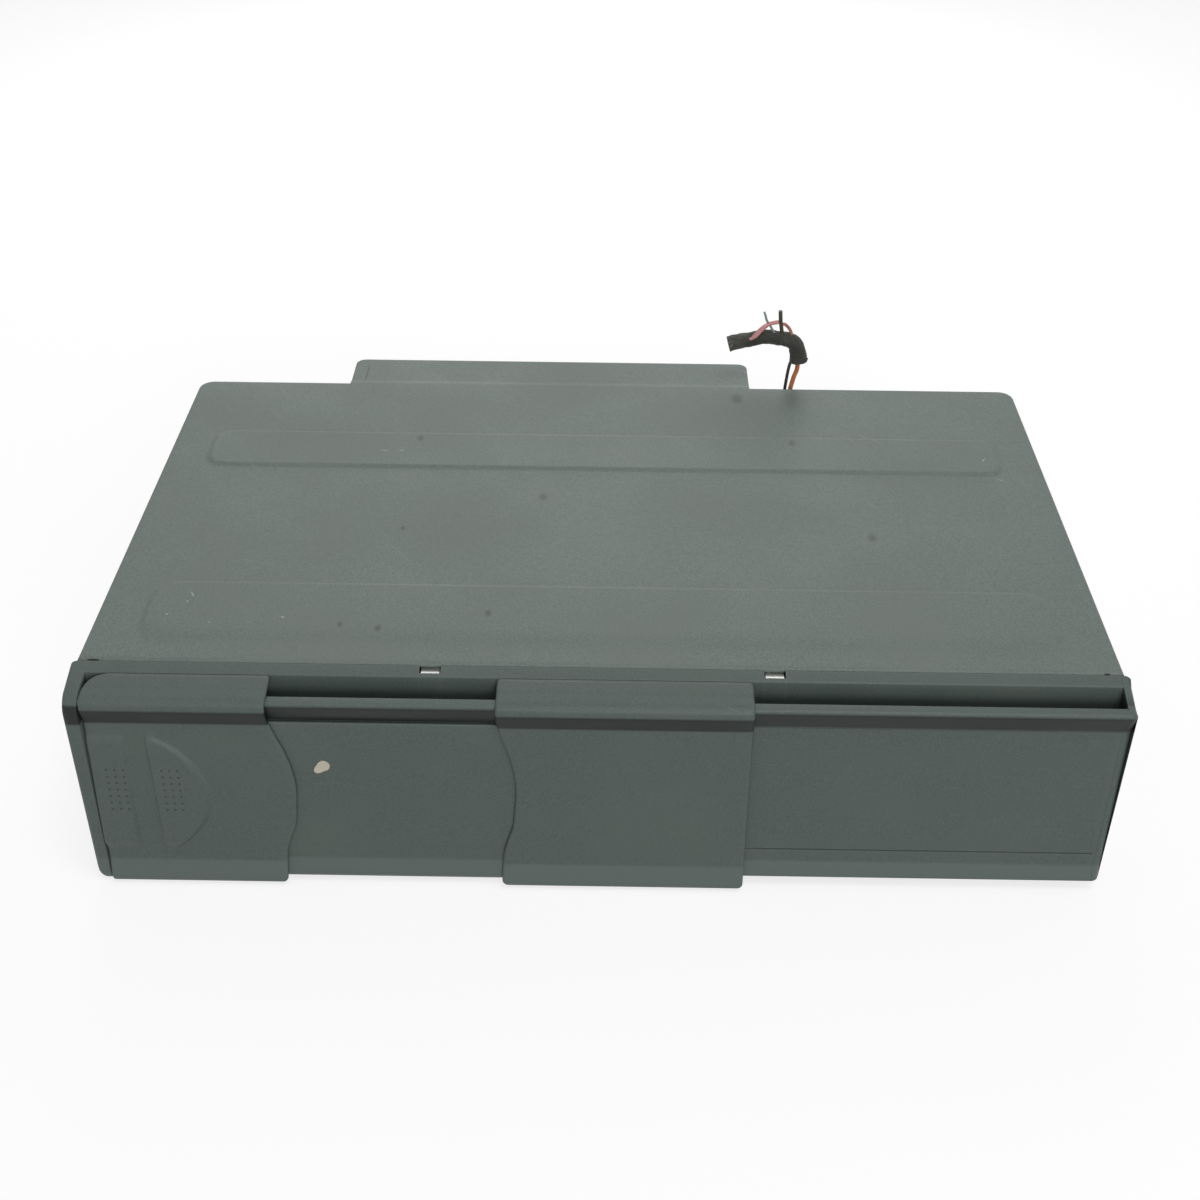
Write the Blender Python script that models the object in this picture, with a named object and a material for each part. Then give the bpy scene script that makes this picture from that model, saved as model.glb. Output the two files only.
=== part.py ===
"""Car CD changer: a flat steel case with a moulded front, two telescoping sliding doors,
a six-disc magazine and a playing deck that rides up and down beside it. Metres, +Z up,
front towards -Y, right-hand side at +X. The origin is the centre of the footprint, on the
surface that the case stands on."""

import math

import bmesh
import bpy
from mathutils import Matrix, Vector

MM = 0.001

# General fits
GAP = 0.3 * MM
RUN = 0.15 * MM
OVERRUN = 1.0 * MM
SINK = 0.2 * MM
TWO_PI = 2 * math.pi

# Case
COVER_WIDTH = 255.0 * MM
COVER_DEPTH = 145.0 * MM
CASE_HEIGHT = 60.3 * MM
SHEET = 0.8 * MM
FLOOR_WALL = 1.0 * MM
SKIRT_DEPTH = 20.0 * MM
REAR_LIP_DEPTH = 8.0 * MM
TONGUE_DEPTH = 17.0 * MM
TONGUE_LEFT = 47.0 * MM
TONGUE_WIDTH = 125.5 * MM
TONGUE_CORNER = 3.0 * MM
TONGUE_STEP = 0.5 * MM
COVER_CORNER = 3.5 * MM
EMBOSS_RISE = 0.6 * MM
EMBOSS_MARGIN = 12.0 * MM
EMBOSS_CORNER = 5.0 * MM
FRONT_EMBOSS_START = 10.0 * MM
FRONT_EMBOSS_DEPTH = 25.0 * MM
REAR_EMBOSS_START = 93.7 * MM
REAR_EMBOSS_DEPTH = 19.3 * MM
HOUSING_HEIGHT = 42.0 * MM
HOUSING_WALL = 1.0 * MM
BOSS_RADIUS = 2.5 * MM

# Front profile, as distances out from the cover's front edge and down from its top
BAND_SLOPE_SHARE = 0.132
SEAM_OUT = 4.1 * MM
WEB_WALL = 1.5 * MM
CHANNEL_DROP = 8.0 * MM
CHANNEL_FLOOR = 1.6 * MM
RAIL_BACK_OUT = 9.7 * MM
RAIL_TOP_DROP = 2.6 * MM
RAIL_NOSE_OUT = 12.1 * MM
RAIL_NOSE_RADIUS = 0.6 * MM
RAIL_CHAMFER = 0.5 * MM
COVE_OUT = 10.6 * MM
COVE_DROP = 4.3 * MM
FACE_TOP_OUT = 10.3 * MM
FACE_TOP_DROP = 6.8 * MM
FACE_LOW_OUT = 11.8 * MM
FACE_LOW_DROP = 49.5 * MM
FLARE_OUT = 12.2 * MM
FLARE_DROP = 56.0 * MM
PANEL_DROP = 57.7 * MM
PANEL_WALL = 1.5 * MM
HEM = 0.8 * MM
SILL_WALL = 1.5 * MM
LIP_BACK_OUT = 9.0 * MM
GROOVE_WIDTH = 0.5 * MM
GROOVE_DEPTH = 0.35 * MM
UPPER_GROOVE_DROP = 10.1 * MM
LOWER_GROOVE_DROP = 48.2 * MM
GROOVE_START = 18.0 * MM
GROOVE_END_ROOM = 3.0 * MM

# Sliding doors
PLATE_WALL = 1.0 * MM
PAD_WALL = 1.5 * MM
LIP_WALL = 0.8 * MM
PAD_NOSE_RADIUS = 1.7 * MM
PAD_COVE_RISE = 0.6 * MM
HOOK_WALL = 1.4 * MM
HOOK_DROP = 6.0 * MM
TOP_ROOM = 0.35 * MM
STRIP_WIDTH = 3.7 * MM
CAP_WIDTH = 2.4 * MM
PAD_CORNER = 5.0 * MM
OUTER_PAD_WIDTH = 45.6 * MM
PLATE_SHOWN = 53.8 * MM
CENTRE_PAD_WIDTH = 61.2 * MM
PLATE_UNDERLAP = 6.0 * MM
WAVE_DEPTH = 3.6 * MM
WAVE_TOP_DROP = 3.3 * MM
WAVE_HEIGHT = 42.0 * MM
WAVE_SKEW_SHARE = 1.15
PAD_FOOT_CORNER = 2.5 * MM
GRIP_TOP_DROP = 12.6 * MM
GRIP_LOW_DROP = 46.5 * MM
GRIP_TOP_RISE = 0.15 * MM
GRIP_LOW_RISE = 0.5 * MM
GRIP_ROOT = 0.6 * MM
GRIP_CORNER = 2.0 * MM
LEFT_GRIP_MARGIN = 0.4 * MM
LEFT_GRIP_WIDTH = 8.2 * MM
RIGHT_GRIP_START = 13.6 * MM
RIGHT_GRIP_WIDTH = 14.2 * MM
GRIP_SKEW = 1.35
GRIP_FULLNESS = 0.8

# Door opening and the clips of the top band
OPENING_WIDTH = 138.5 * MM
OPENING_TOP_DROP = 9.8 * MM
OPENING_HEIGHT = 36.4 * MM
OPENING_SIDE = 5.0 * MM
CLIP_WIDTH = 5.2 * MM
CLIP_WINDOW_DEPTH = 2.9 * MM
CLIP_THICKNESS = 0.8 * MM
CLIP_LENGTH = 8.0 * MM
CLIP_DROP = 1.1 * MM
CLIP_PLACES = {"left": -41.2 * MM, "right": 42.5 * MM}

# Magazine
DISC_COUNT = 6
DISC_DIAMETER = 120.0 * MM
DISC_HOLE = 15.0 * MM
DISC_THICKNESS = 1.2 * MM
TRAY_PITCH = 4.6 * MM
TRAY_THICKNESS = 2.0 * MM
TRAY_FLOOR = 0.5 * MM
TRAY_RIM = 2.0 * MM
TRAY_LEDGE = 9.0 * MM
TRAY_SLOT_WIDTH = 34.0 * MM
DISC_ROOM = 0.4 * MM
MAGAZINE_WALL = 1.3 * MM
RIB_DEPTH = 1.8 * MM
MAGAZINE_BOTTOM = 20.0 * MM
MAGAZINE_FRONT_ROOM = 4.0 * MM
MAGAZINE_SIDE_ROOM = 3.9 * MM
MAGAZINE_GRIP_DEPTH = 0.6 * MM
MAGAZINE_GRIP_WIDTH = 60.0 * MM
MAGAZINE_GRIP_HEIGHT = 12.0 * MM
GUIDE_WALL = 0.8 * MM
GUIDE_RISE = 5.0 * MM
EJECT_TRAVEL = 11.5 * MM
CATCH_NOTCH_WIDTH = 3.2 * MM
CATCH_NOTCH_START = 31.4 * MM
CATCH_NOTCH_LENGTH = 17.4 * MM

# Mechanism frame and its suspension
FRAME_FLOOR_BOTTOM = 8.0 * MM
FRAME_SIDE_ROOM = 2.4 * MM
FRAME_FRONT_ROOM = 2.0 * MM
FRAME_REAR_ROOM = 4.6 * MM
FRAME_WALL_HEIGHT = 36.0 * MM
DAMPER_RADIUS = 6.0 * MM
DAMPER_WAIST = 4.2 * MM
DAMPER_COLLAR = 1.8 * MM
DAMPER_INSET = 11.0 * MM
SPRING_RADIUS = 3.2 * MM
SPRING_WIRE = 0.9 * MM
SPRING_TURNS = 3
SPRING_SETBACK = 15.0 * MM

# Circuit board
BOARD_BOTTOM = 3.0 * MM
BOARD_THICKNESS = 1.6 * MM
BOARD_WIDTH = 122.0 * MM
BOARD_DEPTH = 106.0 * MM
BOARD_SIDE = 22.0 * MM
BOARD_FRONT = 12.0 * MM
CHIP_SIZE = 14.0 * MM
CHIP_HEIGHT = 1.8 * MM
CAN_RADIUS = 2.5 * MM
CAN_HEIGHT = 2.8 * MM

# Lift drive
LIFT_TRAVEL = 25.5 * MM
PIN_RADIUS = 1.2 * MM
PIN_HEIGHT = 13.2 * MM
FIRST_PIN_X = 45.0 * MM
PIN_SPACING = 47.0 * MM
SLIDER_WALL = 1.0 * MM
SLIDER_LEFT = 15.0 * MM
SLIDER_WEB = 14.0 * MM
SLIDER_MARGIN = 3.2 * MM
SLIDER_EDGE = 4.6 * MM
GEAR_MODULE = 0.6 * MM
ROOT_SHARE = 1.25
TIP_SHARE = 0.8
THREAD_SHARE = 0.9
GEAR_ROOT_SHARE = 0.31
GEAR_TIP_SHARE = 0.11
RACK_ROOT_SHARE = 0.29
RACK_TIP_SHARE = 0.13
LIFT_TEETH = 24
LIFT_GEAR_X = 66.0 * MM
RACK_SETBACK = 20.0 * MM
RACK_BODY = 3.25 * MM
RACK_LENGTH = 43.0 * MM
GEAR_THICKNESS = 1.6 * MM
GEAR_BORE = 1.5 * MM
WORM_RADIUS = 1.9 * MM
WORM_LENGTH = 9.0 * MM
WORM_SHAFT = 0.8 * MM
WORM_AXIS_RISE = 1.1 * MM
LIFT_MOTOR_RADIUS = 4.4 * MM
LIFT_MOTOR_ROOM = 1.9 * MM
LIFT_MOTOR_LENGTH = 17.0 * MM

# Playing deck
SPINDLE_X = 64.0 * MM
DECK_BOTTOM = 11.5 * MM
DECK_WALL = 1.0 * MM
DECK_LEFT = 22.0 * MM
DECK_RIGHT = 118.0 * MM
DECK_FLANGE_HEIGHT = 4.0 * MM
SPINDLE_MOTOR_RADIUS = 11.0 * MM
SPINDLE_MOTOR_HEIGHT = 5.1 * MM
TURNTABLE_RADIUS = 13.5 * MM
TURNTABLE_TOP = 19.9 * MM
TURNTABLE_THICKNESS = 1.4 * MM
CONE_RADIUS = 7.3 * MM
CONE_TIP_RADIUS = 5.6 * MM
CONE_HEIGHT = 1.5 * MM
SHAFT_RADIUS = 1.0 * MM
SHAFT_LENGTH = 3.5 * MM

# Clamp
CLAMP_PLANE = 25.9 * MM
CLAMP_WALL = 1.0 * MM
CLAMP_WIDTH = 24.0 * MM
CLAMP_REACH = 11.0 * MM
CLAMP_SETBACK = 65.0 * MM
CLAMP_PIN_HEIGHT = 15.2 * MM
CLAMP_PIN_RADIUS = 1.0 * MM
CLAMP_EAR = 2.0 * MM
CLAMPER_RADIUS = 12.0 * MM
CLAMPER_DROP = 1.9 * MM
CLAMPER_THICKNESS = 1.4 * MM
CLAMPER_NECK = 4.0 * MM
CLAMPER_FLANGE = 6.0 * MM
CLAMPER_RISE = 1.4 * MM
CLAMPER_CAP = 0.8 * MM

# Pickup sled
SLED_START = 24.0 * MM
SLED_TRAVEL = 34.0 * MM
SLED_LENGTH = 16.5 * MM
LENS_SETBACK = 12.5 * MM
SLED_BOTTOM = 13.0 * MM
SLED_HEIGHT = 4.6 * MM
LENS_RADIUS = 2.6 * MM
LENS_RISE = 1.0 * MM
ROD_RADIUS = 1.2 * MM
ROD_OFFSET = 16.0 * MM
SCREW_OFFSET = 16.0 * MM
SLED_AXIS_HEIGHT = 15.1 * MM
SCREW_RADIUS = 1.0 * MM
SCREW_THREAD = 0.45 * MM
SCREW_PITCH = 3.0 * MM
POST_WALL = 1.0 * MM
POST_DEPTH = 1.5 * MM
POST_HEIGHT = 4.6 * MM
SMALL_MODULE = 0.45 * MM
SCREW_TEETH = 16
PINION_TEETH = 9
SMALL_GEAR_THICKNESS = 1.6 * MM
SLED_MOTOR_RADIUS = 3.0 * MM
SLED_MOTOR_LENGTH = 16.0 * MM
SLED_MOTOR_AXIS = 13.2 * MM

# Eject button, latch and eject lever
BUTTON_WIDTH = 6.0 * MM
BUTTON_X = 11.5 * MM
BUTTON_FRONT_OUT = 6.5 * MM
BUTTON_THICKNESS = 4.0 * MM
BUTTON_BOTTOM = 17.0 * MM
BUTTON_HEIGHT = 18.0 * MM
BUTTON_ROD_LENGTH = 16.5 * MM
BUTTON_ROD_HEIGHT = 4.0 * MM
BUTTON_ROD_WIDTH = 4.0 * MM
LATCH_PIVOT_X = 18.5 * MM
LATCH_PIVOT_SETBACK = 17.5 * MM
LATCH_BAR = 2.4 * MM
LATCH_THICKNESS = 0.9 * MM
LATCH_PIN = 1.2 * MM
LATCH_LIFT = 0.1 * MM
CATCH_SETBACK = 40.0 * MM
CATCH_REACH = 2.0 * MM
EJECT_PIVOT_X = -100.0 * MM
EJECT_PIVOT_SETBACK = 118.0 * MM
EJECT_ARM = 40.0 * MM
EJECT_BAR = 5.0 * MM
EJECT_THICKNESS = 1.2 * MM
EJECT_HEIGHT = 11.5 * MM
EJECT_FINGER = 2.0 * MM
EJECT_FINGER_RISE = 12.0 * MM
EJECT_PIN = 1.8 * MM

# Angle dials, screws and mounting bosses
DIAL_RADIUS = 9.0 * MM
DIAL_THICKNESS = 2.2 * MM
DIAL_SETBACK = 40.0 * MM
DIAL_HEIGHT = 27.0 * MM
DIAL_SLOT = 1.6 * MM
DIAL_PROUD = 0.5 * MM
SCREW_HEAD_RADIUS = 2.8 * MM
SCREW_HEAD_HEIGHT = 1.5 * MM
SCREW_SHANK = 1.4 * MM
SCREW_LENGTH = 4.0 * MM
SIDE_SCREW_SETBACK = 72.0 * MM
REAR_SCREW_INSET = 20.0 * MM
SIDE_SCREW_DROP = 10.0 * MM
REAR_SCREW_DROP = 4.5 * MM

# Rear socket and harness
SOCKET_X = 58.0 * MM
SOCKET_WIDTH = 18.0 * MM
SOCKET_BOTTOM = 22.0 * MM
SOCKET_HEIGHT = 12.0 * MM
SOCKET_OUT = 3.0 * MM
SOCKET_WALL = 1.2 * MM
PLUG_LENGTH = 6.0 * MM
WIRE_RADIUS = 0.8 * MM
BUNDLE_RADIUS = 2.4 * MM
HARNESS_SETBACK = 5.0 * MM
BUNDLE_ROUTE = (
    (60.3 * MM, 7.5 * MM),
    (60.2 * MM, 9.4 * MM),
    (59.5 * MM, 11.5 * MM),
    (57.9 * MM, 13.5 * MM),
    (55.6 * MM, 14.9 * MM),
    (52.8 * MM, 15.6 * MM),
    (49.6 * MM, 15.6 * MM),
    (46.2 * MM, 15.1 * MM),
    (42.4 * MM, 14.2 * MM),
    (38.2 * MM, 13.0 * MM),
)
ORANGE_ROUTE = (
    (58.2 * MM, -26.9 * MM),
    (58.3 * MM, -22.0 * MM),
    (58.1 * MM, -13.0 * MM),
    (58.2 * MM, -5.0 * MM),
    (59.2 * MM, 1.0 * MM),
    (60.2 * MM, 5.0 * MM),
    (60.4 * MM, 7.1 * MM),
)

# Counts of faces round the turned shapes
DISC_SIDES = 40
ROUND_SIDES = 20
SMALL_SIDES = 12
THREAD_SIDES = 10
SCREW_SIDES = 6
ARC_STEPS = 4

# Places worked out from the sizes above
WALL_FACE = COVER_WIDTH / 2 - SHEET - GAP
INNER_HALF = WALL_FACE - FLOOR_WALL
PLATE_STEP = PLATE_WALL + GAP
PAD_STEP = PLATE_STEP + PAD_WALL + GAP
FRONT_REACH = FLARE_OUT + PAD_STEP
CREASE_Y = FRONT_REACH - (FRONT_REACH + COVER_DEPTH + TONGUE_DEPTH) / 2
CASE_REAR = CREASE_Y + COVER_DEPTH - SHEET - GAP
REAR_INSIDE = CASE_REAR - FLOOR_WALL
COVER_LEFT = -COVER_WIDTH / 2
COVER_RIGHT = COVER_WIDTH / 2
TONGUE_START = COVER_LEFT + TONGUE_LEFT
TONGUE_END = TONGUE_START + TONGUE_WIDTH
OUTER_PAD_LEFT = COVER_LEFT + STRIP_WIDTH + GAP
OUTER_PAD_RIGHT = OUTER_PAD_LEFT + OUTER_PAD_WIDTH
CENTRE_PAD_LEFT = OUTER_PAD_RIGHT + PLATE_SHOWN
CENTRE_PAD_RIGHT = CENTRE_PAD_LEFT + CENTRE_PAD_WIDTH
OPENING_LEFT = COVER_LEFT + OPENING_SIDE
OPENING_RIGHT = OPENING_LEFT + OPENING_WIDTH
FRAME_FLOOR_TOP = FRAME_FLOOR_BOTTOM + DECK_WALL
FRAME_HALF = INNER_HALF - FRAME_SIDE_ROOM
FRAME_FRONT = CREASE_Y + FRAME_FRONT_ROOM
FRAME_REAR = REAR_INSIDE - FRAME_REAR_ROOM
MAGAZINE_HEIGHT = 2 * MAGAZINE_WALL + DISC_COUNT * TRAY_PITCH
TRAY_WIDTH = DISC_DIAMETER + 2 * DISC_ROOM + 2 * TRAY_RIM
MAGAZINE_DEPTH = TRAY_WIDTH + 2 * GAP + 2 * MAGAZINE_WALL
MAGAZINE_LEFT = -INNER_HALF + MAGAZINE_SIDE_ROOM
MAGAZINE_RIGHT = MAGAZINE_LEFT + MAGAZINE_WALL + GAP + TRAY_WIDTH + GAP
MAGAZINE_FRONT = CREASE_Y + MAGAZINE_FRONT_ROOM
MAGAZINE_REAR = MAGAZINE_FRONT + MAGAZINE_DEPTH
DISC_Y = (MAGAZINE_FRONT + MAGAZINE_REAR) / 2
TRAY_LEFT = MAGAZINE_LEFT + MAGAZINE_WALL + GAP
DISC_X = TRAY_LEFT + TRAY_WIDTH / 2
DECK_TOP = DECK_BOTTOM + DECK_WALL
SLIDER_FRONT = FRAME_FRONT + SLIDER_WALL + GAP
SLIDER_REAR = FRAME_REAR - SLIDER_WALL - GAP
DECK_FRONT = SLIDER_FRONT + SLIDER_WALL + GAP
DECK_REAR = SLIDER_REAR - SLIDER_WALL - GAP
PIN_PLACES = (FIRST_PIN_X, FIRST_PIN_X + PIN_SPACING)
SLIDER_RIGHT = PIN_PLACES[-1] + SLIDER_EDGE
LIFT_PITCH_RADIUS = LIFT_TEETH * GEAR_MODULE / 2
RACK_PITCH_Y = CREASE_Y + RACK_SETBACK + RACK_BODY + ROOT_SHARE * GEAR_MODULE
LIFT_GEAR_Y = RACK_PITCH_Y + LIFT_PITCH_RADIUS
WORM_X = LIFT_GEAR_X + LIFT_PITCH_RADIUS + WORM_RADIUS
WORM_Z = FRAME_FLOOR_TOP + WORM_AXIS_RISE
LIFT_MOTOR_Y = LIFT_GEAR_Y + WORM_LENGTH / 2 + LIFT_MOTOR_ROOM
CLAMP_PIN_Y = DISC_Y + CLAMP_SETBACK
SCREW_X = SPINDLE_X + SCREW_OFFSET
GEAR_DISTANCE = SMALL_MODULE * (SCREW_TEETH + PINION_TEETH) / 2
GEAR_FALL = SLED_AXIS_HEIGHT - SLED_MOTOR_AXIS
PINION_X = SCREW_X + math.sqrt(GEAR_DISTANCE**2 - GEAR_FALL**2)
SLED_FRONT = DISC_Y + SLED_START - LENS_SETBACK
SCREW_FRONT = SLED_FRONT - GAP - POST_DEPTH
SCREW_END = SLED_FRONT + SLED_LENGTH + SLED_TRAVEL + GAP
SMALL_GEAR_Y = SCREW_FRONT - GAP - SMALL_GEAR_THICKNESS
BUTTON_ROD_END = CREASE_Y - BUTTON_FRONT_OUT + BUTTON_THICKNESS + BUTTON_ROD_LENGTH
LATCH_PIVOT = (LATCH_PIVOT_X, CREASE_Y + LATCH_PIVOT_SETBACK)
EJECT_PIVOT = (EJECT_PIVOT_X, CREASE_Y + EJECT_PIVOT_SETBACK)


def paint(name, colour, roughness, metallic=0.0):
    """A plain material with the colour, roughness and metallic value of the real finish."""
    material = bpy.data.materials.new(name)
    material.use_nodes = True
    shader = material.node_tree.nodes["Principled BSDF"]
    shader.inputs["Base Color"].default_value = (*colour, 1.0)
    shader.inputs["Roughness"].default_value = roughness
    shader.inputs["Metallic"].default_value = metallic
    return material


def clear_scene():
    for found in list(bpy.data.objects):
        bpy.data.objects.remove(found)


def solid(name, points, faces, material):
    """One mesh object from points and faces, with its faces turned outwards."""
    mesh = bpy.data.meshes.new(name)
    mesh.from_pydata(points, [], faces)
    work = bmesh.new()
    work.from_mesh(mesh)
    bmesh.ops.recalc_face_normals(work, faces=work.faces)
    work.to_mesh(mesh)
    work.free()
    made = bpy.data.objects.new(name, mesh)
    made.data.materials.append(material)
    bpy.context.collection.objects.link(made)
    return made


def place_point(axis, height, first, second):
    """A point at the given height along an axis, with the other two coordinates in X, Y, Z order."""
    if axis == "X":
        return (height, first, second)
    if axis == "Y":
        return (first, height, second)
    return (first, second, height)


def prism(name, outline, axis, low, high, material):
    """A closed outline extruded along an axis from low to high."""
    count = len(outline)
    points = [place_point(axis, low, *point) for point in outline]
    points += [place_point(axis, high, *point) for point in outline]
    faces = [list(range(count)), list(range(count, 2 * count))]
    for index in range(count):
        following = (index + 1) % count
        faces.append([index, following, count + following, count + index])
    return solid(name, points, faces, material)


def box(name, low, high, material):
    outline = ((low[0], low[1]), (high[0], low[1]), (high[0], high[1]), (low[0], high[1]))
    return prism(name, outline, "Z", low[2], high[2], material)


def arc(centre, radius, start, end, steps=ARC_STEPS):
    """Points along a circular arc, with angles in degrees."""
    points = []
    for index in range(steps + 1):
        angle = math.radians(start + (end - start) * index / steps)
        points.append((centre[0] + radius * math.cos(angle), centre[1] + radius * math.sin(angle)))
    return points


def circle(centre, radius, sides):
    return arc(centre, radius, 0, 360, sides)[:-1]


def rounded(low, high, radius, steps=ARC_STEPS):
    """A rectangle with four round corners."""
    points = arc((high[0] - radius, low[1] + radius), radius, -90, 0, steps)
    points += arc((high[0] - radius, high[1] - radius), radius, 0, 90, steps)
    points += arc((low[0] + radius, high[1] - radius), radius, 90, 180, steps)
    points += arc((low[0] + radius, low[1] + radius), radius, 180, 270, steps)
    return points


def rod(name, centre, radius, axis, low, high, material, sides=SMALL_SIDES):
    made = prism(name, circle(centre, radius, sides), axis, low, high, material)
    smooth(made)
    return made


def turned(name, profile, centre, axis, material, sides=ROUND_SIDES):
    """A profile of (radius, height) pairs turned round an axis. A radius of zero closes it on the axis."""
    points = []
    rings = []
    for radius, height in profile:
        if radius == 0:
            rings.append([len(points)])
            points.append(place_point(axis, height, *centre))
            continue
        ring = circle(centre, radius, sides)
        rings.append(list(range(len(points), len(points) + sides)))
        points += [place_point(axis, height, *point) for point in ring]
    closed = profile[0][0] != 0
    pairs = list(zip(rings, rings[1:]))
    if closed:
        pairs.append((rings[-1], rings[0]))
    faces = []
    for first, second in pairs:
        for index in range(sides):
            following = (index + 1) % sides
            corners = [first[index % len(first)], first[following % len(first)]]
            corners += [second[following % len(second)], second[index % len(second)]]
            faces.append(list(dict.fromkeys(corners)))
    made = solid(name, points, faces, material)
    smooth(made)
    return made


def smooth(made):
    made.data.shade_smooth()
    made.data.set_sharp_from_angle(angle=math.radians(35))


def combine(body, others, operation):
    """Adds one Boolean for each other solid, which stays behind as a hidden helper."""
    for other in others:
        modifier = body.modifiers.new(other.name, "BOOLEAN")
        modifier.operation = operation
        modifier.solver = "EXACT"
        modifier.object = other
        other.hide_render = True
        other.display_type = "WIRE"
    return body


def cut(body, *cutters):
    return combine(body, cutters, "DIFFERENCE")


def fuse(body, *others):
    return combine(body, others, "UNION")


def keep(body, *others):
    return combine(body, others, "INTERSECT")


def pivot(made, point):
    """Puts the object's origin on its joint's axis, with its shape where it was."""
    made.data.transform(Matrix.Translation(-Vector(point)))
    made.location = point
    return made


def front(out, drop):
    """The (y, z) place of a point from its distance out from the crease and down from the top."""
    return (CREASE_Y - out, CASE_HEIGHT - drop)


def band_drop(out):
    return out * BAND_SLOPE_SHARE


def face_line(step):
    """The front face's line from top to bottom, moved outwards by a step."""
    return [
        (FACE_TOP_OUT + step, FACE_TOP_DROP),
        (FACE_LOW_OUT + step, FACE_LOW_DROP),
        (FLARE_OUT + step, FLARE_DROP),
    ]


def bezel_section():
    """The bezel's cut: band, web, channel floor, rail with its nose, panel and bottom flange."""
    nose = (RAIL_NOSE_OUT - RAIL_NOSE_RADIUS, RAIL_TOP_DROP + RAIL_NOSE_RADIUS)
    points = [(GAP, band_drop(GAP)), (SEAM_OUT, band_drop(SEAM_OUT))]
    points.append((SEAM_OUT, CHANNEL_DROP))
    points.append((RAIL_BACK_OUT, CHANNEL_DROP))
    points.append((RAIL_BACK_OUT, RAIL_TOP_DROP + RAIL_CHAMFER))
    points.append((RAIL_BACK_OUT + RAIL_CHAMFER, RAIL_TOP_DROP))
    points += arc(nose, RAIL_NOSE_RADIUS, -90, 60)
    points.append((COVE_OUT, COVE_DROP))
    points += face_line(0)
    points.append((FLARE_OUT, PANEL_DROP - HEM))
    points.append((FLARE_OUT - HEM, PANEL_DROP))
    points.append((GAP, PANEL_DROP))
    points.append((GAP, PANEL_DROP - SILL_WALL))
    points.append((FACE_TOP_OUT - PANEL_WALL, PANEL_DROP - SILL_WALL))
    points.append((FACE_TOP_OUT - PANEL_WALL, CHANNEL_DROP + CHANNEL_FLOOR))
    points.append((SEAM_OUT - WEB_WALL, CHANNEL_DROP + CHANNEL_FLOOR))
    points.append((SEAM_OUT - WEB_WALL, band_drop(SEAM_OUT) + WEB_WALL))
    points.append((GAP, band_drop(GAP) + WEB_WALL))
    return [front(*point) for point in points]


def pad_nose():
    """The centre of a pad's nose, in the same terms as the section."""
    out = RAIL_NOSE_OUT + GAP + PAD_WALL - PAD_NOSE_RADIUS
    return (out, band_drop(out) + PAD_NOSE_RADIUS)


def pad_face(top_out):
    """The outer line of a pad, from its nose down to its bottom hem."""
    nose = pad_nose()
    points = [(top_out, band_drop(top_out))]
    points += arc(nose, PAD_NOSE_RADIUS, -90, 40)
    points.append((FACE_TOP_OUT + PAD_STEP - PAD_COVE_RISE, FACE_TOP_DROP - PAD_COVE_RISE))
    points += face_line(PAD_STEP)
    low = PANEL_DROP + 2 * (GAP + LIP_WALL)
    points.append((FLARE_OUT + PAD_STEP, low - HEM))
    points.append((FLARE_OUT + PAD_STEP - HEM, low))
    return points


def pad_section():
    """A pad's cut: flange, nose, face and bottom lip, and the clear space over the rail inside."""
    low = PANEL_DROP + 2 * (GAP + LIP_WALL)
    inner = PLATE_STEP + GAP
    hook_front = RAIL_BACK_OUT - GAP
    points = pad_face(SEAM_OUT + GAP)
    points.append((LIP_BACK_OUT, low))
    points.append((LIP_BACK_OUT, low - LIP_WALL))
    points.append((FLARE_OUT + inner - HEM, low - LIP_WALL))
    points.append((FLARE_OUT + inner, low - LIP_WALL - HEM))
    points += reversed(face_line(inner))
    points.append((RAIL_NOSE_OUT + GAP, COVE_DROP))
    points.append((RAIL_NOSE_OUT + GAP, RAIL_TOP_DROP + RAIL_NOSE_RADIUS))
    points.append((RAIL_NOSE_OUT - RAIL_NOSE_RADIUS, RAIL_TOP_DROP - TOP_ROOM))
    points.append((hook_front, RAIL_TOP_DROP - TOP_ROOM))
    points.append((hook_front, HOOK_DROP))
    points.append((hook_front - HOOK_WALL, HOOK_DROP))
    points.append((hook_front - HOOK_WALL, RAIL_TOP_DROP - TOP_ROOM))
    points.append((SEAM_OUT + GAP, RAIL_TOP_DROP - TOP_ROOM))
    return [front(*point) for point in points]


def plate_section():
    """The recessed plate's cut: face, bottom hem and lip."""
    low = PANEL_DROP + GAP + LIP_WALL
    top = COVE_DROP + RUN
    points = [(COVE_OUT + PLATE_STEP, top)]
    points += face_line(PLATE_STEP)
    points.append((FLARE_OUT + PLATE_STEP, low - HEM))
    points.append((FLARE_OUT + PLATE_STEP - HEM, low))
    points.append((LIP_BACK_OUT, low))
    points.append((LIP_BACK_OUT, low - LIP_WALL))
    points.append((FLARE_OUT + GAP - HEM, low - LIP_WALL))
    points.append((FLARE_OUT + GAP, low - LIP_WALL - HEM))
    points += reversed(face_line(GAP))
    points.append((COVE_OUT + GAP, top))
    return [front(*point) for point in points]


def wave(base):
    """The doors' curved upright edge, from top to bottom, as (x, z)."""
    points = []
    steps = 12
    for index in range(steps + 1):
        share = index / steps
        swing = 0.5 - 0.5 * math.cos(TWO_PI * share**WAVE_SKEW_SHARE)
        points.append((base + WAVE_DEPTH * swing, CASE_HEIGHT - WAVE_TOP_DROP - WAVE_HEIGHT * share))
    return points


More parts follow.
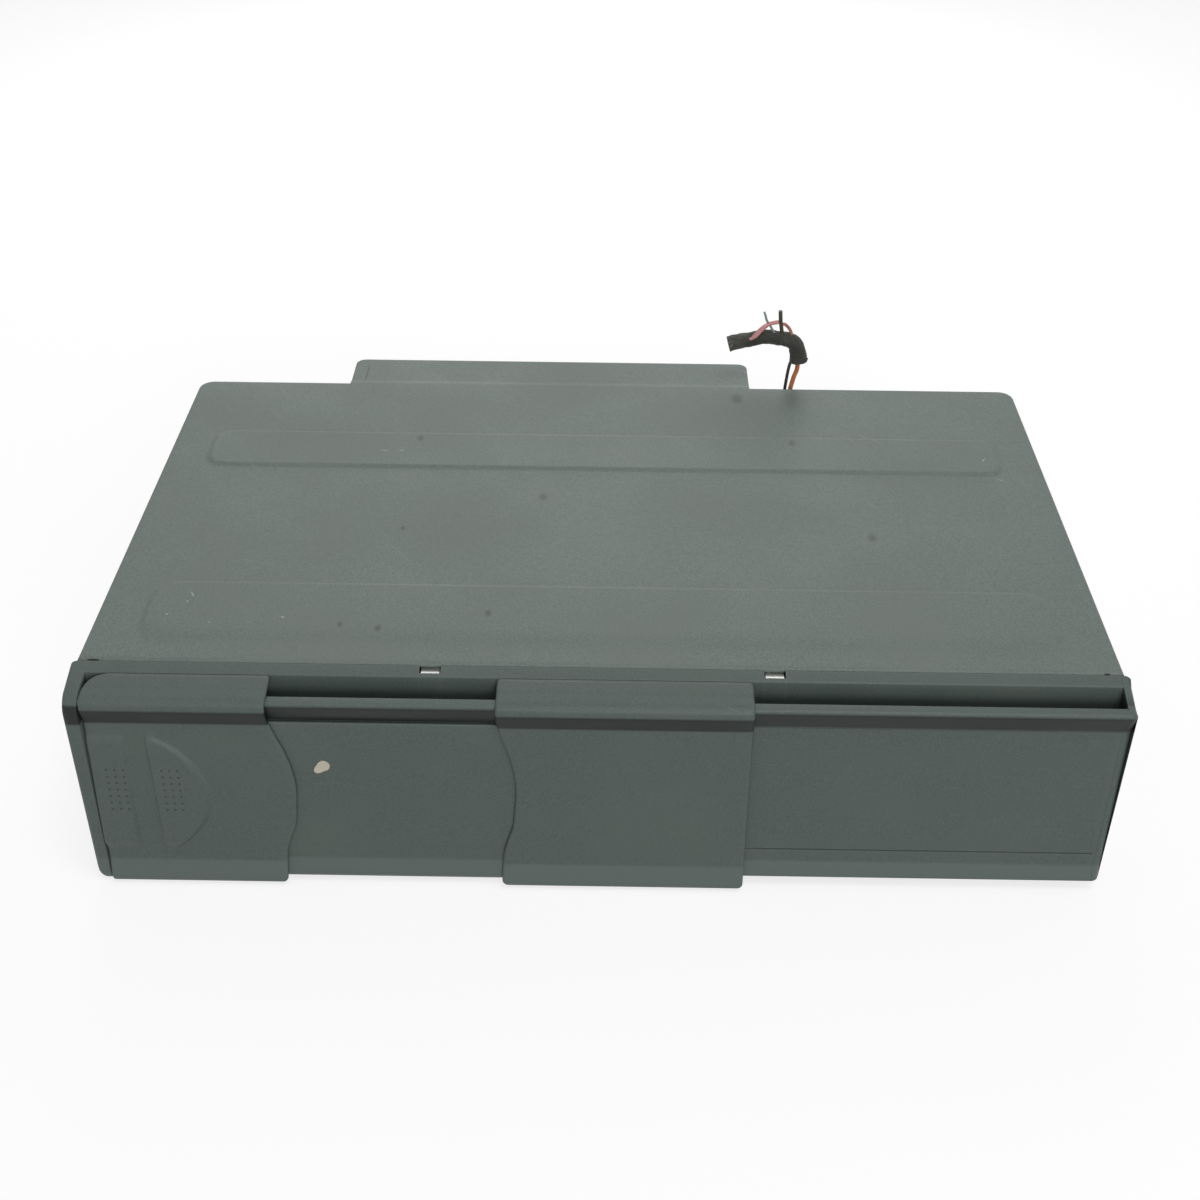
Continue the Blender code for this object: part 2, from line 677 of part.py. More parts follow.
def outer_front(left, right):
    """The outer pad seen from the front: straight left side, curved right side with a round foot."""
    foot = PAD_FOOT_CORNER
    low = CASE_HEIGHT - PANEL_DROP - 2 * (GAP + LIP_WALL)
    points = [(left, CASE_HEIGHT + OVERRUN), (right, CASE_HEIGHT + OVERRUN)]
    points += wave(right)
    points += arc((right - foot, low + foot), foot, 0, -90)
    points.append((left, low))
    return points


def centre_front(left, right):
    """The centre pad seen from the front: curved left side, straight right side, both with round feet."""
    foot = PAD_FOOT_CORNER
    low = CASE_HEIGHT - PANEL_DROP - 2 * (GAP + LIP_WALL)
    points = [(right, CASE_HEIGHT + OVERRUN), (left, CASE_HEIGHT + OVERRUN)]
    points += wave(left)
    points += arc((left + foot, low + foot), foot, 180, 270)
    points += arc((right - foot, low + foot), foot, -90, 0)
    return points


def face_y(drop, step):
    """The front face's y at a height given as a drop, between its upper and lower points."""
    share = (drop - FACE_TOP_DROP) / (FACE_LOW_DROP - FACE_TOP_DROP)
    return CREASE_Y - FACE_TOP_OUT - step - share * (FACE_LOW_OUT - FACE_TOP_OUT)


def finger_grip(name, outline, material):
    """A raised grip inside an outline of (x, drop), low at its top and highest at its foot."""
    count = len(outline)
    reach = GRIP_LOW_DROP - GRIP_TOP_DROP
    points = [(x, face_y(drop, PAD_STEP) + GRIP_ROOT, CASE_HEIGHT - drop) for x, drop in outline]
    for x, drop in outline:
        share = (drop - GRIP_TOP_DROP) / reach
        rise = GRIP_TOP_RISE + (GRIP_LOW_RISE - GRIP_TOP_RISE) * share
        points.append((x, face_y(drop, PAD_STEP) - rise, CASE_HEIGHT - drop))
    faces = [list(range(count)), list(range(count, 2 * count))]
    for index in range(count):
        following = (index + 1) % count
        faces.append([index, following, count + following, count + index])
    return solid(name, points, faces, material)


def make_bottom_case(steel):
    """Steel tray: floor, side walls and rear wall, board posts, dial holes and the socket's hole."""
    low = (-WALL_FACE, CREASE_Y, 0)
    high = (WALL_FACE, CASE_REAR, CASE_HEIGHT - SHEET - GAP)
    case = box("bottom_case", low, high, steel)
    room = box(
        "case_room",
        (-INNER_HALF, CREASE_Y - OVERRUN, FLOOR_WALL),
        (INNER_HALF, REAR_INSIDE, CASE_HEIGHT),
        steel,
    )
    cut(case, room)
    for side in (-1, 1):
        spread = sorted((side * (INNER_HALF - OVERRUN), side * (WALL_FACE + OVERRUN)))
        centre = (CREASE_Y + DIAL_SETBACK, DIAL_HEIGHT)
        cut(case, rod("dial_hole", centre, DIAL_RADIUS + GAP, "X", *spread, steel, ROUND_SIDES))
        centre = (CREASE_Y + SIDE_SCREW_SETBACK, CASE_HEIGHT - SIDE_SCREW_DROP)
        cut(case, rod("side_screw_hole", centre, SCREW_SHANK + RUN, "X", *spread, steel))
        centre = (side * (COVER_RIGHT - REAR_SCREW_INSET), CASE_HEIGHT - REAR_SCREW_DROP)
        spread = (REAR_INSIDE - OVERRUN, CASE_REAR + OVERRUN)
        cut(case, rod("rear_screw_hole", centre, SCREW_SHANK + RUN, "Y", *spread, steel))
    socket_hole = box(
        "socket_hole",
        (SOCKET_X - SOCKET_WIDTH / 2, REAR_INSIDE - OVERRUN, SOCKET_BOTTOM),
        (SOCKET_X + SOCKET_WIDTH / 2, CASE_REAR + OVERRUN, SOCKET_BOTTOM + SOCKET_HEIGHT),
        steel,
    )
    cut(case, socket_hole)
    left = -INNER_HALF + BOARD_SIDE
    for x in (left + BOSS_RADIUS, left + BOARD_WIDTH - BOSS_RADIUS):
        for y in (BOARD_FRONT + BOSS_RADIUS, BOARD_FRONT + BOARD_DEPTH - BOSS_RADIUS):
            spread = (FLOOR_WALL - SINK, BOARD_BOTTOM - GAP)
            fuse(case, rod("board_post", (x, CREASE_Y + y), BOSS_RADIUS, "Z", *spread, steel))
    return case


def make_top_cover(painted):
    """Painted steel lid: top sheet with two raised panels, side skirts, rear lip and the tongue."""
    top = CASE_HEIGHT
    rear = CREASE_Y + COVER_DEPTH
    outline = [(COVER_LEFT, CREASE_Y), (COVER_RIGHT, CREASE_Y)]
    outline += arc((COVER_RIGHT - COVER_CORNER, rear - COVER_CORNER), COVER_CORNER, 0, 90)
    outline += arc((COVER_LEFT + COVER_CORNER, rear - COVER_CORNER), COVER_CORNER, 90, 180)
    cover = prism("top_cover", outline, "Z", top - SKIRT_DEPTH, top, painted)
    room = box(
        "cover_room",
        (COVER_LEFT + SHEET, CREASE_Y - OVERRUN, top - SKIRT_DEPTH - OVERRUN),
        (COVER_RIGHT - SHEET, rear - SHEET, top - SHEET),
        painted,
    )
    lip_relief = box(
        "lip_relief",
        (COVER_LEFT + SHEET, rear - SHEET - OVERRUN, top - SKIRT_DEPTH - OVERRUN),
        (COVER_RIGHT - SHEET, rear + OVERRUN, top - REAR_LIP_DEPTH),
        painted,
    )
    tongue_relief = box(
        "tongue_relief",
        (TONGUE_START - GAP, rear - SHEET - OVERRUN, top - SKIRT_DEPTH),
        (TONGUE_END + GAP, rear + OVERRUN, top - SHEET - TONGUE_STEP),
        painted,
    )
    cut(cover, room, lip_relief, tongue_relief)
    corner = TONGUE_CORNER
    outline = [(TONGUE_START, rear - OVERRUN), (TONGUE_END, rear - OVERRUN)]
    outline += arc((TONGUE_END - corner, rear + TONGUE_DEPTH - corner), corner, 0, 90)
    outline += arc((TONGUE_START + corner, rear + TONGUE_DEPTH - corner), corner, 90, 180)
    tongue = prism("tongue", outline, "Z", top - TONGUE_STEP - SHEET, top - TONGUE_STEP, painted)
    fuse(cover, tongue)
    for start, depth in ((FRONT_EMBOSS_START, FRONT_EMBOSS_DEPTH), (REAR_EMBOSS_START, REAR_EMBOSS_DEPTH)):
        low = (COVER_LEFT + EMBOSS_MARGIN, CREASE_Y + start)
        high = (COVER_RIGHT - EMBOSS_MARGIN, CREASE_Y + start + depth)
        outline = rounded(low, high, EMBOSS_CORNER)
        fuse(cover, prism("raised_panel", outline, "Z", top - SINK, top + EMBOSS_RISE, painted))
    for side in (-1, 1):
        spread = sorted((side * (INNER_HALF - OVERRUN), side * (COVER_RIGHT + OVERRUN)))
        centre = (CREASE_Y + SIDE_SCREW_SETBACK, top - SIDE_SCREW_DROP)
        cut(cover, rod("side_clearance", centre, SCREW_SHANK + RUN, "X", *spread, painted))
        centre = (side * (COVER_RIGHT - REAR_SCREW_INSET), top - REAR_SCREW_DROP)
        spread = (rear - OVERRUN - SHEET, rear + OVERRUN)
        cut(cover, rod("rear_clearance", centre, SCREW_SHANK + RUN, "Y", *spread, painted))
    return cover


def make_bezel(plastic):
    """Moulded front: top band, rail, fixed panel and sill, open on the left, with a strip at each end."""
    bezel = prism("front_bezel", bezel_section(), "X", COVER_LEFT + SINK, COVER_RIGHT - SINK, plastic)
    mouth = box(
        "mouth",
        (OPENING_LEFT, CREASE_Y - FRONT_REACH, CASE_HEIGHT - OPENING_TOP_DROP - OPENING_HEIGHT),
        (OPENING_RIGHT, CREASE_Y - SEAM_OUT, CASE_HEIGHT - OPENING_TOP_DROP),
        plastic,
    )
    cut(bezel, mouth)
    strip_line = pad_face(GAP)
    strip_line.append((GAP, strip_line[-1][1]))
    strip_outline = [front(*point) for point in strip_line]
    strip = prism("left_strip", strip_outline, "X", COVER_LEFT, COVER_LEFT + STRIP_WIDTH, plastic)
    cap_line = [(GAP, band_drop(GAP)), (RAIL_NOSE_OUT - RAIL_NOSE_RADIUS, band_drop(RAIL_NOSE_OUT))]
    cap_line += arc(
        (RAIL_NOSE_OUT - RAIL_NOSE_RADIUS, RAIL_TOP_DROP + RAIL_NOSE_RADIUS), RAIL_NOSE_RADIUS, -45, 60
    )
    cap_line.append((COVE_OUT, COVE_DROP))
    cap_line += face_line(0)
    cap_line.append((FLARE_OUT, PANEL_DROP - HEM))
    cap_line.append((FLARE_OUT - HEM, PANEL_DROP))
    cap_line.append((GAP, PANEL_DROP))
    cap_outline = [front(*point) for point in cap_line]
    cap = prism("right_cap", cap_outline, "X", COVER_RIGHT - CAP_WIDTH, COVER_RIGHT, plastic)
    centre = (OUTER_PAD_LEFT + PAD_CORNER, CREASE_Y - SEAM_OUT - GAP - PAD_CORNER)
    corner = [(COVER_LEFT + STRIP_WIDTH - SINK, CREASE_Y - SEAM_OUT + SINK)]
    corner.append((COVER_LEFT + STRIP_WIDTH - SINK, centre[1]))
    corner += arc(centre, PAD_CORNER + GAP, 180, 90)
    corner.append((centre[0], CREASE_Y - SEAM_OUT + SINK))
    spread = (CASE_HEIGHT - CHANNEL_DROP - SINK, CASE_HEIGHT - band_drop(SEAM_OUT + PAD_CORNER))
    filler = prism("corner_filler", corner, "Z", *spread, plastic)
    fuse(bezel, strip, cap, filler)
    for place in CLIP_PLACES.values():
        window = box(
            "clip_window",
            (place - CLIP_WIDTH / 2, CREASE_Y - CLIP_WINDOW_DEPTH, CASE_HEIGHT - RAIL_TOP_DROP),
            (place + CLIP_WIDTH / 2, CREASE_Y, CASE_HEIGHT + OVERRUN),
            plastic,
        )
        cut(bezel, window)
    for drop in (UPPER_GROOVE_DROP, LOWER_GROOVE_DROP):
        y = face_y(drop, 0)
        low = (OPENING_RIGHT + GROOVE_START, y - OVERRUN, CASE_HEIGHT - drop - GROOVE_WIDTH / 2)
        high = (COVER_RIGHT - GROOVE_END_ROOM, y + GROOVE_DEPTH, CASE_HEIGHT - drop + GROOVE_WIDTH / 2)
        cut(bezel, box("panel_groove", low, high, plastic))
    return bezel


def make_inner_door(plastic):
    """Inner door: thin recessed plate and the thicker centre pad that hooks over the rail."""
    plate_left = OUTER_PAD_RIGHT - PLATE_UNDERLAP
    door = prism("inner_door", plate_section(), "X", plate_left, CENTRE_PAD_RIGHT - SINK, plastic)
    pad = prism("centre_pad", pad_section(), "X", CENTRE_PAD_LEFT - OVERRUN, CENTRE_PAD_RIGHT, plastic)
    shape = prism(
        "centre_shape",
        centre_front(CENTRE_PAD_LEFT, CENTRE_PAD_RIGHT),
        "Y",
        CREASE_Y - FRONT_REACH - OVERRUN,
        CREASE_Y,
        plastic,
    )
    keep(pad, shape)
    web_line = face_line(GAP + PLATE_WALL / 2) + list(reversed(face_line(PLATE_STEP + GAP + PAD_WALL / 2)))
    web = prism(
        "pad_backing",
        [front(*point) for point in web_line],
        "X",
        CENTRE_PAD_LEFT + WAVE_DEPTH + PLATE_WALL,
        CENTRE_PAD_RIGHT - PLATE_WALL,
        plastic,
    )
    fuse(door, pad, web)
    return door


def make_outer_door(plastic):
    """Outer door: pad hooked over the rail, with a round upper left corner and two raised finger grips."""
    right = OUTER_PAD_RIGHT + WAVE_DEPTH + OVERRUN
    door = prism("outer_door", pad_section(), "X", OUTER_PAD_LEFT, right, plastic)
    shape = prism(
        "outer_shape",
        outer_front(OUTER_PAD_LEFT - OVERRUN, OUTER_PAD_RIGHT),
        "Y",
        CREASE_Y - FRONT_REACH - OVERRUN,
        CREASE_Y,
        plastic,
    )
    keep(door, shape)
    centre = (OUTER_PAD_LEFT + PAD_CORNER, CREASE_Y - SEAM_OUT - GAP - PAD_CORNER)
    corner = [(OUTER_PAD_LEFT - OVERRUN, CREASE_Y), (OUTER_PAD_LEFT - OVERRUN, centre[1])]
    corner += arc(centre, PAD_CORNER, 180, 90)
    corner.append((centre[0], CREASE_Y))
    cutter = prism("corner_round", corner, "Z", CASE_HEIGHT - CHANNEL_DROP - OVERRUN, CASE_HEIGHT, plastic)
    low = (OUTER_PAD_LEFT + LEFT_GRIP_MARGIN, GRIP_TOP_DROP)
    high = (OUTER_PAD_LEFT + LEFT_GRIP_WIDTH, GRIP_LOW_DROP)
    left_grip = finger_grip("left_grip", rounded(low, high, GRIP_CORNER), plastic)
    x = OUTER_PAD_LEFT + RIGHT_GRIP_START
    reach = GRIP_LOW_DROP - GRIP_TOP_DROP
    bow = []
    steps = 10
    for index in range(steps + 1):
        share = index / steps
        bulge = math.sin(math.pi * share**GRIP_SKEW) ** GRIP_FULLNESS
        bow.append((x + RIGHT_GRIP_WIDTH * bulge, GRIP_TOP_DROP + reach * share))
    bow[0] = (x + GRIP_CORNER / 2, GRIP_TOP_DROP)
    bow[-1] = (x + GRIP_CORNER, GRIP_LOW_DROP)
    outline = [(x, GRIP_LOW_DROP - GRIP_CORNER), (x, GRIP_TOP_DROP + GRIP_CORNER)] + bow
    right_grip = finger_grip("right_grip", outline, plastic)
    cut(door, cutter)
    fuse(door, left_grip, right_grip)
    return door


def make_clip(side, place, zinc):
    """Zinc-plated spring clip under the cover, whose end shows through a window of the band."""
    y = CREASE_Y - CLIP_WINDOW_DEPTH + GAP
    top = CASE_HEIGHT - CLIP_DROP
    width = CLIP_WIDTH / 2 - GAP
    low = (place - width, y, top - CLIP_THICKNESS)
    high = (place + width, y + CLIP_LENGTH, top)
    return box("bezel_clip_" + side, low, high, zinc)


def make_rear_housing(painted):
    """Folded steel box under the tongue, open towards the case."""
    front_y = CREASE_Y + COVER_DEPTH + GAP
    rear_y = CREASE_Y + COVER_DEPTH + TONGUE_DEPTH - GAP
    top = CASE_HEIGHT - TONGUE_STEP - SHEET - GAP
    low = (TONGUE_START + GAP, front_y, top - HOUSING_HEIGHT)
    high = (TONGUE_END - GAP, rear_y, top)
    corner = TONGUE_CORNER
    outline = [(low[0], low[1]), (high[0], low[1])]
    outline += arc((high[0] - corner, high[1] - corner), corner, 0, 90)
    outline += arc((low[0] + corner, high[1] - corner), corner, 90, 180)
    housing = prism("rear_housing", outline, "Z", low[2], high[2], painted)
    wall = HOUSING_WALL
    room_low = (low[0] + wall, low[1] - OVERRUN, low[2] + wall)
    room_high = (high[0] - wall, high[1] - wall, high[2] - wall)
    cut(housing, box("housing_room", room_low, room_high, painted))
    return housing


def make_board(green):
    """Circuit board on the case's standoffs, with its chips and capacitors."""
    left = -INNER_HALF + BOARD_SIDE
    near = CREASE_Y + BOARD_FRONT
    top = BOARD_BOTTOM + BOARD_THICKNESS
    board = box(
        "main_board", (left, near, BOARD_BOTTOM), (left + BOARD_WIDTH, near + BOARD_DEPTH, top), green
    )
    for across_share, along_share in ((0.2, 0.25), (0.55, 0.3), (0.35, 0.7), (0.75, 0.65)):
        x = left + across_share * BOARD_WIDTH
        y = near + along_share * BOARD_DEPTH
        chip = box("chip", (x, y, top - SINK), (x + CHIP_SIZE, y + CHIP_SIZE, top + CHIP_HEIGHT), green)
        fuse(board, chip)
    for across_share, along_share in ((0.12, 0.6), (0.9, 0.2)):
        centre = (left + across_share * BOARD_WIDTH, near + along_share * BOARD_DEPTH)
        fuse(board, rod("capacitor", centre, CAN_RADIUS, "Z", top - SINK, top + CAN_HEIGHT, green))
    return board


def make_frame(steel):
    """Mechanism frame: floor, a wall at the front and the rear of the deck, and the pivots on it."""
    left = SLIDER_LEFT - SLIDER_EDGE - GAP
    frame = box(
        "mech_frame",
        (-FRAME_HALF, FRAME_FRONT, FRAME_FLOOR_BOTTOM),
        (FRAME_HALF, FRAME_REAR, FRAME_FLOOR_TOP),
        steel,
    )
    for low_y, high_y in ((FRAME_FRONT, FRAME_FRONT + SLIDER_WALL), (FRAME_REAR - SLIDER_WALL, FRAME_REAR)):
        low = (left, low_y, FRAME_FLOOR_BOTTOM)
        high = (FRAME_HALF, high_y, FRAME_FLOOR_BOTTOM + FRAME_WALL_HEIGHT)
        fuse(frame, box("deck_wall", low, high, steel))
    for x in PIN_PLACES:
        radius = PIN_RADIUS + RUN
        low = (x - radius, PIN_HEIGHT - radius - RUN)
        high = (x + radius, PIN_HEIGHT + LIFT_TRAVEL + radius + RUN)
        outline = rounded(low, high, radius, ARC_STEPS)
        for wall in (FRAME_FRONT, FRAME_REAR - SLIDER_WALL):
            spread = (wall - OVERRUN / 2, wall + SLIDER_WALL + OVERRUN / 2)
            cut(frame, prism("upright_slot", outline, "Y", *spread, steel))
    half = LIFT_MOTOR_RADIUS + GAP
    low = (WORM_X - half, LIFT_GEAR_Y - WORM_LENGTH / 2 - GAP, FRAME_FLOOR_BOTTOM - OVERRUN)
    high = (WORM_X + half, LIFT_MOTOR_Y + LIFT_MOTOR_LENGTH + GAP, FRAME_FLOOR_TOP + OVERRUN)
    rod_half = BUTTON_ROD_WIDTH / 2 + GAP
    hole_low = (BUTTON_X - rod_half, FRAME_FRONT - OVERRUN, BUTTON_BOTTOM - GAP)
    hole_top = BUTTON_BOTTOM + BUTTON_ROD_HEIGHT + GAP
    hole_high = (BUTTON_X + rod_half, FRAME_FRONT + SLIDER_WALL + OVERRUN, hole_top)
    cut(frame, box("motor_hole", low, high, steel), box("button_hole", hole_low, hole_high, steel))
    base = FRAME_FLOOR_TOP - SINK
    spread = (base, WORM_Z + GEAR_THICKNESS / 2)
    gear_post = rod("gear_post", (LIFT_GEAR_X, LIFT_GEAR_Y), GEAR_BORE - RUN, "Z", *spread, steel)
    latch_top = MAGAZINE_BOTTOM + LATCH_LIFT
    latch_profile = ((0, base), (LATCH_BAR, base), (LATCH_BAR, latch_top - GAP))
    latch_profile += ((LATCH_PIN, latch_top - GAP),)
    latch_profile += ((LATCH_PIN, latch_top + LATCH_THICKNESS), (0, latch_top + LATCH_THICKNESS))
    latch_post = turned("latch_post", latch_profile, LATCH_PIVOT, "Z", steel, SMALL_SIDES)
    eject_profile = ((0, base), (EJECT_BAR / 2, base), (EJECT_BAR / 2, EJECT_HEIGHT - GAP))
    eject_profile += ((EJECT_PIN, EJECT_HEIGHT - GAP), (EJECT_PIN, EJECT_HEIGHT + EJECT_THICKNESS + GAP))
    eject_profile += ((0, EJECT_HEIGHT + EJECT_THICKNESS + GAP),)
    eject_post = turned("eject_post", eject_profile, EJECT_PIVOT, "Z", steel, SMALL_SIDES)
    fuse(frame, gear_post, latch_post, eject_post)
    return frame


def damper_places():
    across = FRAME_HALF - DAMPER_INSET
    near = FRAME_FRONT + DAMPER_INSET
    far = FRAME_REAR - DAMPER_INSET
    return {
        "front_left": (-across, near),
        "front_right": (across, near),
        "rear_left": (-across, far),
        "rear_right": (across, far),
    }


def make_damper(name, centre, rubber):
    """Rubber damper with a waist, between the case floor and the frame."""
    low = FLOOR_WALL + GAP
    high = FRAME_FLOOR_BOTTOM - GAP
    profile = ((0, low), (DAMPER_RADIUS, low), (DAMPER_RADIUS, low + DAMPER_COLLAR))
    profile += ((DAMPER_WAIST, (low + high) / 2), (DAMPER_RADIUS, high - DAMPER_COLLAR))
    profile += ((DAMPER_RADIUS, high), (0, high))
    return turned("damper_" + name, profile, centre, "Z", rubber, SMALL_SIDES)


def make_spring(name, centre, wire_steel):
    """Suspension spring: one unbroken round wire wound up from the case floor to the frame."""
    low = FLOOR_WALL + GAP + SPRING_WIRE / 2
    high = FRAME_FLOOR_BOTTOM - GAP - SPRING_WIRE / 2
    per_turn = 8
    count = SPRING_TURNS * per_turn
    route = []
    for index in range(count + 1):
        angle = TWO_PI * index / per_turn
        x = centre[0] + SPRING_RADIUS * math.cos(angle)
        y = centre[1] + SPRING_RADIUS * math.sin(angle)
        route.append((x, y, low + (high - low) * index / count))
    gaps = []
    for start in range(len(route) - per_turn):
        for end in range(start + per_turn // 2 + 1, len(route)):
            gaps.append(math.dist(route[start], route[end]) - SPRING_WIRE)
    print("least gap between a spring's turns, mm:", round(min(gaps) / MM, 3))
    return tube("suspension_spring_" + name, route, SPRING_WIRE / 2, 1, wire_steel)


def tube(name, route, radius, resolution, material):
    """A round wire along the points of a route, with closed ends."""
    curve = bpy.data.curves.new(name, "CURVE")
    curve.dimensions = "3D"
    curve.bevel_depth = radius
    curve.bevel_resolution = resolution
    curve.use_fill_caps = True
    spline = curve.splines.new("POLY")
    spline.points.add(len(route) - 1)
    for point, place in zip(spline.points, route):
        point.co = (*place, 1.0)
    curve.materials.append(material)
    made = bpy.data.objects.new(name, curve)
    bpy.context.collection.objects.link(made)
    return made


def make_magazine(plastic):
    """Magazine shell, open on the right, with ribs at the front and rear that carry the trays."""
    low = (MAGAZINE_LEFT, MAGAZINE_FRONT, MAGAZINE_BOTTOM)
    high = (MAGAZINE_RIGHT, MAGAZINE_REAR, MAGAZINE_BOTTOM + MAGAZINE_HEIGHT)
    shell = box("magazine", low, high, plastic)
    near = low[1] + MAGAZINE_WALL
    far = high[1] - MAGAZINE_WALL
    base = MAGAZINE_BOTTOM + MAGAZINE_WALL
    groove = TRAY_THICKNESS + 2 * GAP
    up = []
    for index in range(DISC_COUNT):
        bottom = base + index * TRAY_PITCH
        up += [(near, bottom), (near, bottom + groove)]
        if index < DISC_COUNT - 1:
            up += [(near + RIB_DEPTH, bottom + groove), (near + RIB_DEPTH, bottom + TRAY_PITCH)]
    down = [(near + far - y, z) for y, z in reversed(up)]
    comb = prism("magazine_room", up + down, "X", low[0] + MAGAZINE_WALL, high[0] + OVERRUN, plastic)
    notch_start = low[1] + CATCH_NOTCH_START
    notch_low = (high[0] - CATCH_NOTCH_WIDTH, notch_start, low[2] - OVERRUN)
    notch_top = low[2] + MAGAZINE_WALL + OVERRUN / 2
    notch_high = (high[0] + OVERRUN, notch_start + CATCH_NOTCH_LENGTH, notch_top)
    notch = box("catch_notch", notch_low, notch_high, plastic)
    middle = (low[0] + high[0]) / 2
    grip_low = (middle - MAGAZINE_GRIP_WIDTH / 2, (low[2] + high[2]) / 2 - MAGAZINE_GRIP_HEIGHT / 2)
    grip_high = (middle + MAGAZINE_GRIP_WIDTH / 2, (low[2] + high[2]) / 2 + MAGAZINE_GRIP_HEIGHT / 2)
    grip = prism(
        "magazine_grip",
        rounded(grip_low, grip_high, GRIP_CORNER),
        "Y",
        low[1] - OVERRUN,
        low[1] + MAGAZINE_GRIP_DEPTH,
        plastic,
    )
    cut(shell, comb, notch, grip)
    return shell


def make_tray(index, plastic):
    """Disc tray: thin plate with a round recess, a wide round window and a slot for the spindle."""
    bottom = MAGAZINE_BOTTOM + MAGAZINE_WALL + GAP + index * TRAY_PITCH
    half = TRAY_WIDTH / 2
    low = (DISC_X - half, DISC_Y - half, bottom)
    high = (DISC_X + half, DISC_Y + half, bottom + TRAY_THICKNESS)
    name = "disc_tray_" + str(index + 1)
    tray = box(name, low, high, plastic)
    centre = (DISC_X, DISC_Y)
    seat = DISC_DIAMETER / 2 + DISC_ROOM
    spread = (bottom + TRAY_FLOOR, high[2] + OVERRUN)
    pocket = rod("tray_pocket", centre, seat, "Z", *spread, plastic, DISC_SIDES)
    spread = (low[2] - OVERRUN, high[2])
    window = rod("tray_window", centre, seat - TRAY_LEDGE, "Z", *spread, plastic, ROUND_SIDES)
    slot = box(
        "tray_slot",
        (DISC_X, DISC_Y - TRAY_SLOT_WIDTH / 2, low[2] - OVERRUN),
        (high[0] + OVERRUN, DISC_Y + TRAY_SLOT_WIDTH / 2, high[2] + OVERRUN),
        plastic,
    )
    cut(tray, pocket, window, slot)
    return tray


def make_disc(index, silver):
    """Disc in its tray, with its centre hole."""
    bottom = MAGAZINE_BOTTOM + MAGAZINE_WALL + GAP + index * TRAY_PITCH + TRAY_FLOOR + GAP
    top = bottom + DISC_THICKNESS
    inner = DISC_HOLE / 2
    outer = DISC_DIAMETER / 2
    profile = ((inner, bottom), (outer, bottom), (outer, top), (inner, top))
    return turned("disc_" + str(index + 1), profile, (DISC_X, DISC_Y), "Z", silver, DISC_SIDES)


def make_guide(steel):
    """Folded guide under the magazine: a shelf on two legs, whose left leg rises beside the magazine."""
    left = MAGAZINE_LEFT - GAP
    right = MAGAZINE_RIGHT + GAP + GUIDE_WALL
    shelf_top = MAGAZINE_BOTTOM - GAP
    shelf_low = shelf_top - GUIDE_WALL
    foot = FRAME_FLOOR_TOP + GAP
    outline = (
        (left - GUIDE_WALL, foot),
        (left, foot),
        (left, shelf_low),
        (right - GUIDE_WALL, shelf_low),
        (right - GUIDE_WALL, foot),
        (right, foot),
        (right, shelf_top),
        (left, shelf_top),
        (left, shelf_top + GUIDE_RISE),
        (left - GUIDE_WALL, shelf_top + GUIDE_RISE),
    )
    guide = prism("magazine_guide", outline, "Y", MAGAZINE_FRONT, MAGAZINE_REAR - OVERRUN, steel)
    swing = EJECT_FINGER + GUIDE_WALL
    finger_x = EJECT_PIVOT[0] + EJECT_ARM
    low = (finger_x - swing, MAGAZINE_REAR - EJECT_TRAVEL - swing, shelf_low - OVERRUN)
    high = (finger_x + 2 * swing, MAGAZINE_REAR, shelf_top + OVERRUN)
    return cut(guide, box("finger_slot", low, high, steel))


def make_slider(steel):
    """Lift slider: two upright cam walls with sloping slots, the web between them and the rack."""
    base = FRAME_FLOOR_TOP + GAP
    top = PIN_HEIGHT + LIFT_TRAVEL + SLIDER_MARGIN
    slider = box(
        "lift_slider",
        (SLIDER_LEFT, SLIDER_FRONT, base),
        (SLIDER_LEFT + SLIDER_WEB, SLIDER_REAR, base + SLIDER_WALL),
        steel,
    )
    for wall in (SLIDER_FRONT, SLIDER_REAR - SLIDER_WALL):
        high = (SLIDER_RIGHT, wall + SLIDER_WALL, top)
        fuse(slider, box("cam_wall", (SLIDER_LEFT, wall, base), high, steel))
    radius = PIN_RADIUS + RUN
    for x in PIN_PLACES:
        low_arc = arc((x, PIN_HEIGHT), radius, -135, 45)
        high_arc = arc((x - LIFT_TRAVEL, PIN_HEIGHT + LIFT_TRAVEL), radius, 45, 225)
        for wall in (SLIDER_FRONT, SLIDER_REAR - SLIDER_WALL):
            spread = (wall - OVERRUN / 8, wall + SLIDER_WALL + OVERRUN / 8)
            cut(slider, prism("cam_slot", low_arc + high_arc, "Y", *spread, steel))
    room = LATCH_BAR + GAP
    low = (SLIDER_LEFT - OVERRUN, LATCH_PIVOT[1] - room, base - OVERRUN)
    high = (LATCH_PIVOT[0] + room, LATCH_PIVOT[1] + room, base + SLIDER_WALL + OVERRUN)
    cut(slider, box("post_notch", low, high, steel))
    rack_front = CREASE_Y + RACK_SETBACK
    start = SLIDER_LEFT + SLIDER_WEB - SINK
    end = start + RACK_LENGTH
    pitch = math.pi * GEAR_MODULE
    root = rack_front + RACK_BODY
    tip = RACK_PITCH_Y + TIP_SHARE * GEAR_MODULE
    outline = [(start, rack_front), (end, rack_front), (end, root)]
    count = int((end - LIFT_GEAR_X) / pitch - 0.5) + int((LIFT_GEAR_X - start) / pitch - 0.5)
    first = int((end - LIFT_GEAR_X) / pitch - 0.5)
    for index in range(count + 1):
        x = LIFT_GEAR_X + (first - index) * pitch
        outline += [(x + RACK_ROOT_SHARE * pitch, root), (x + RACK_TIP_SHARE * pitch, tip)]
        outline += [(x - RACK_TIP_SHARE * pitch, tip), (x - RACK_ROOT_SHARE * pitch, root)]
    outline.append((start, root))
    fuse(slider, prism("rack", outline, "Z", base, base + SLIDER_WALL, steel))
    return slider


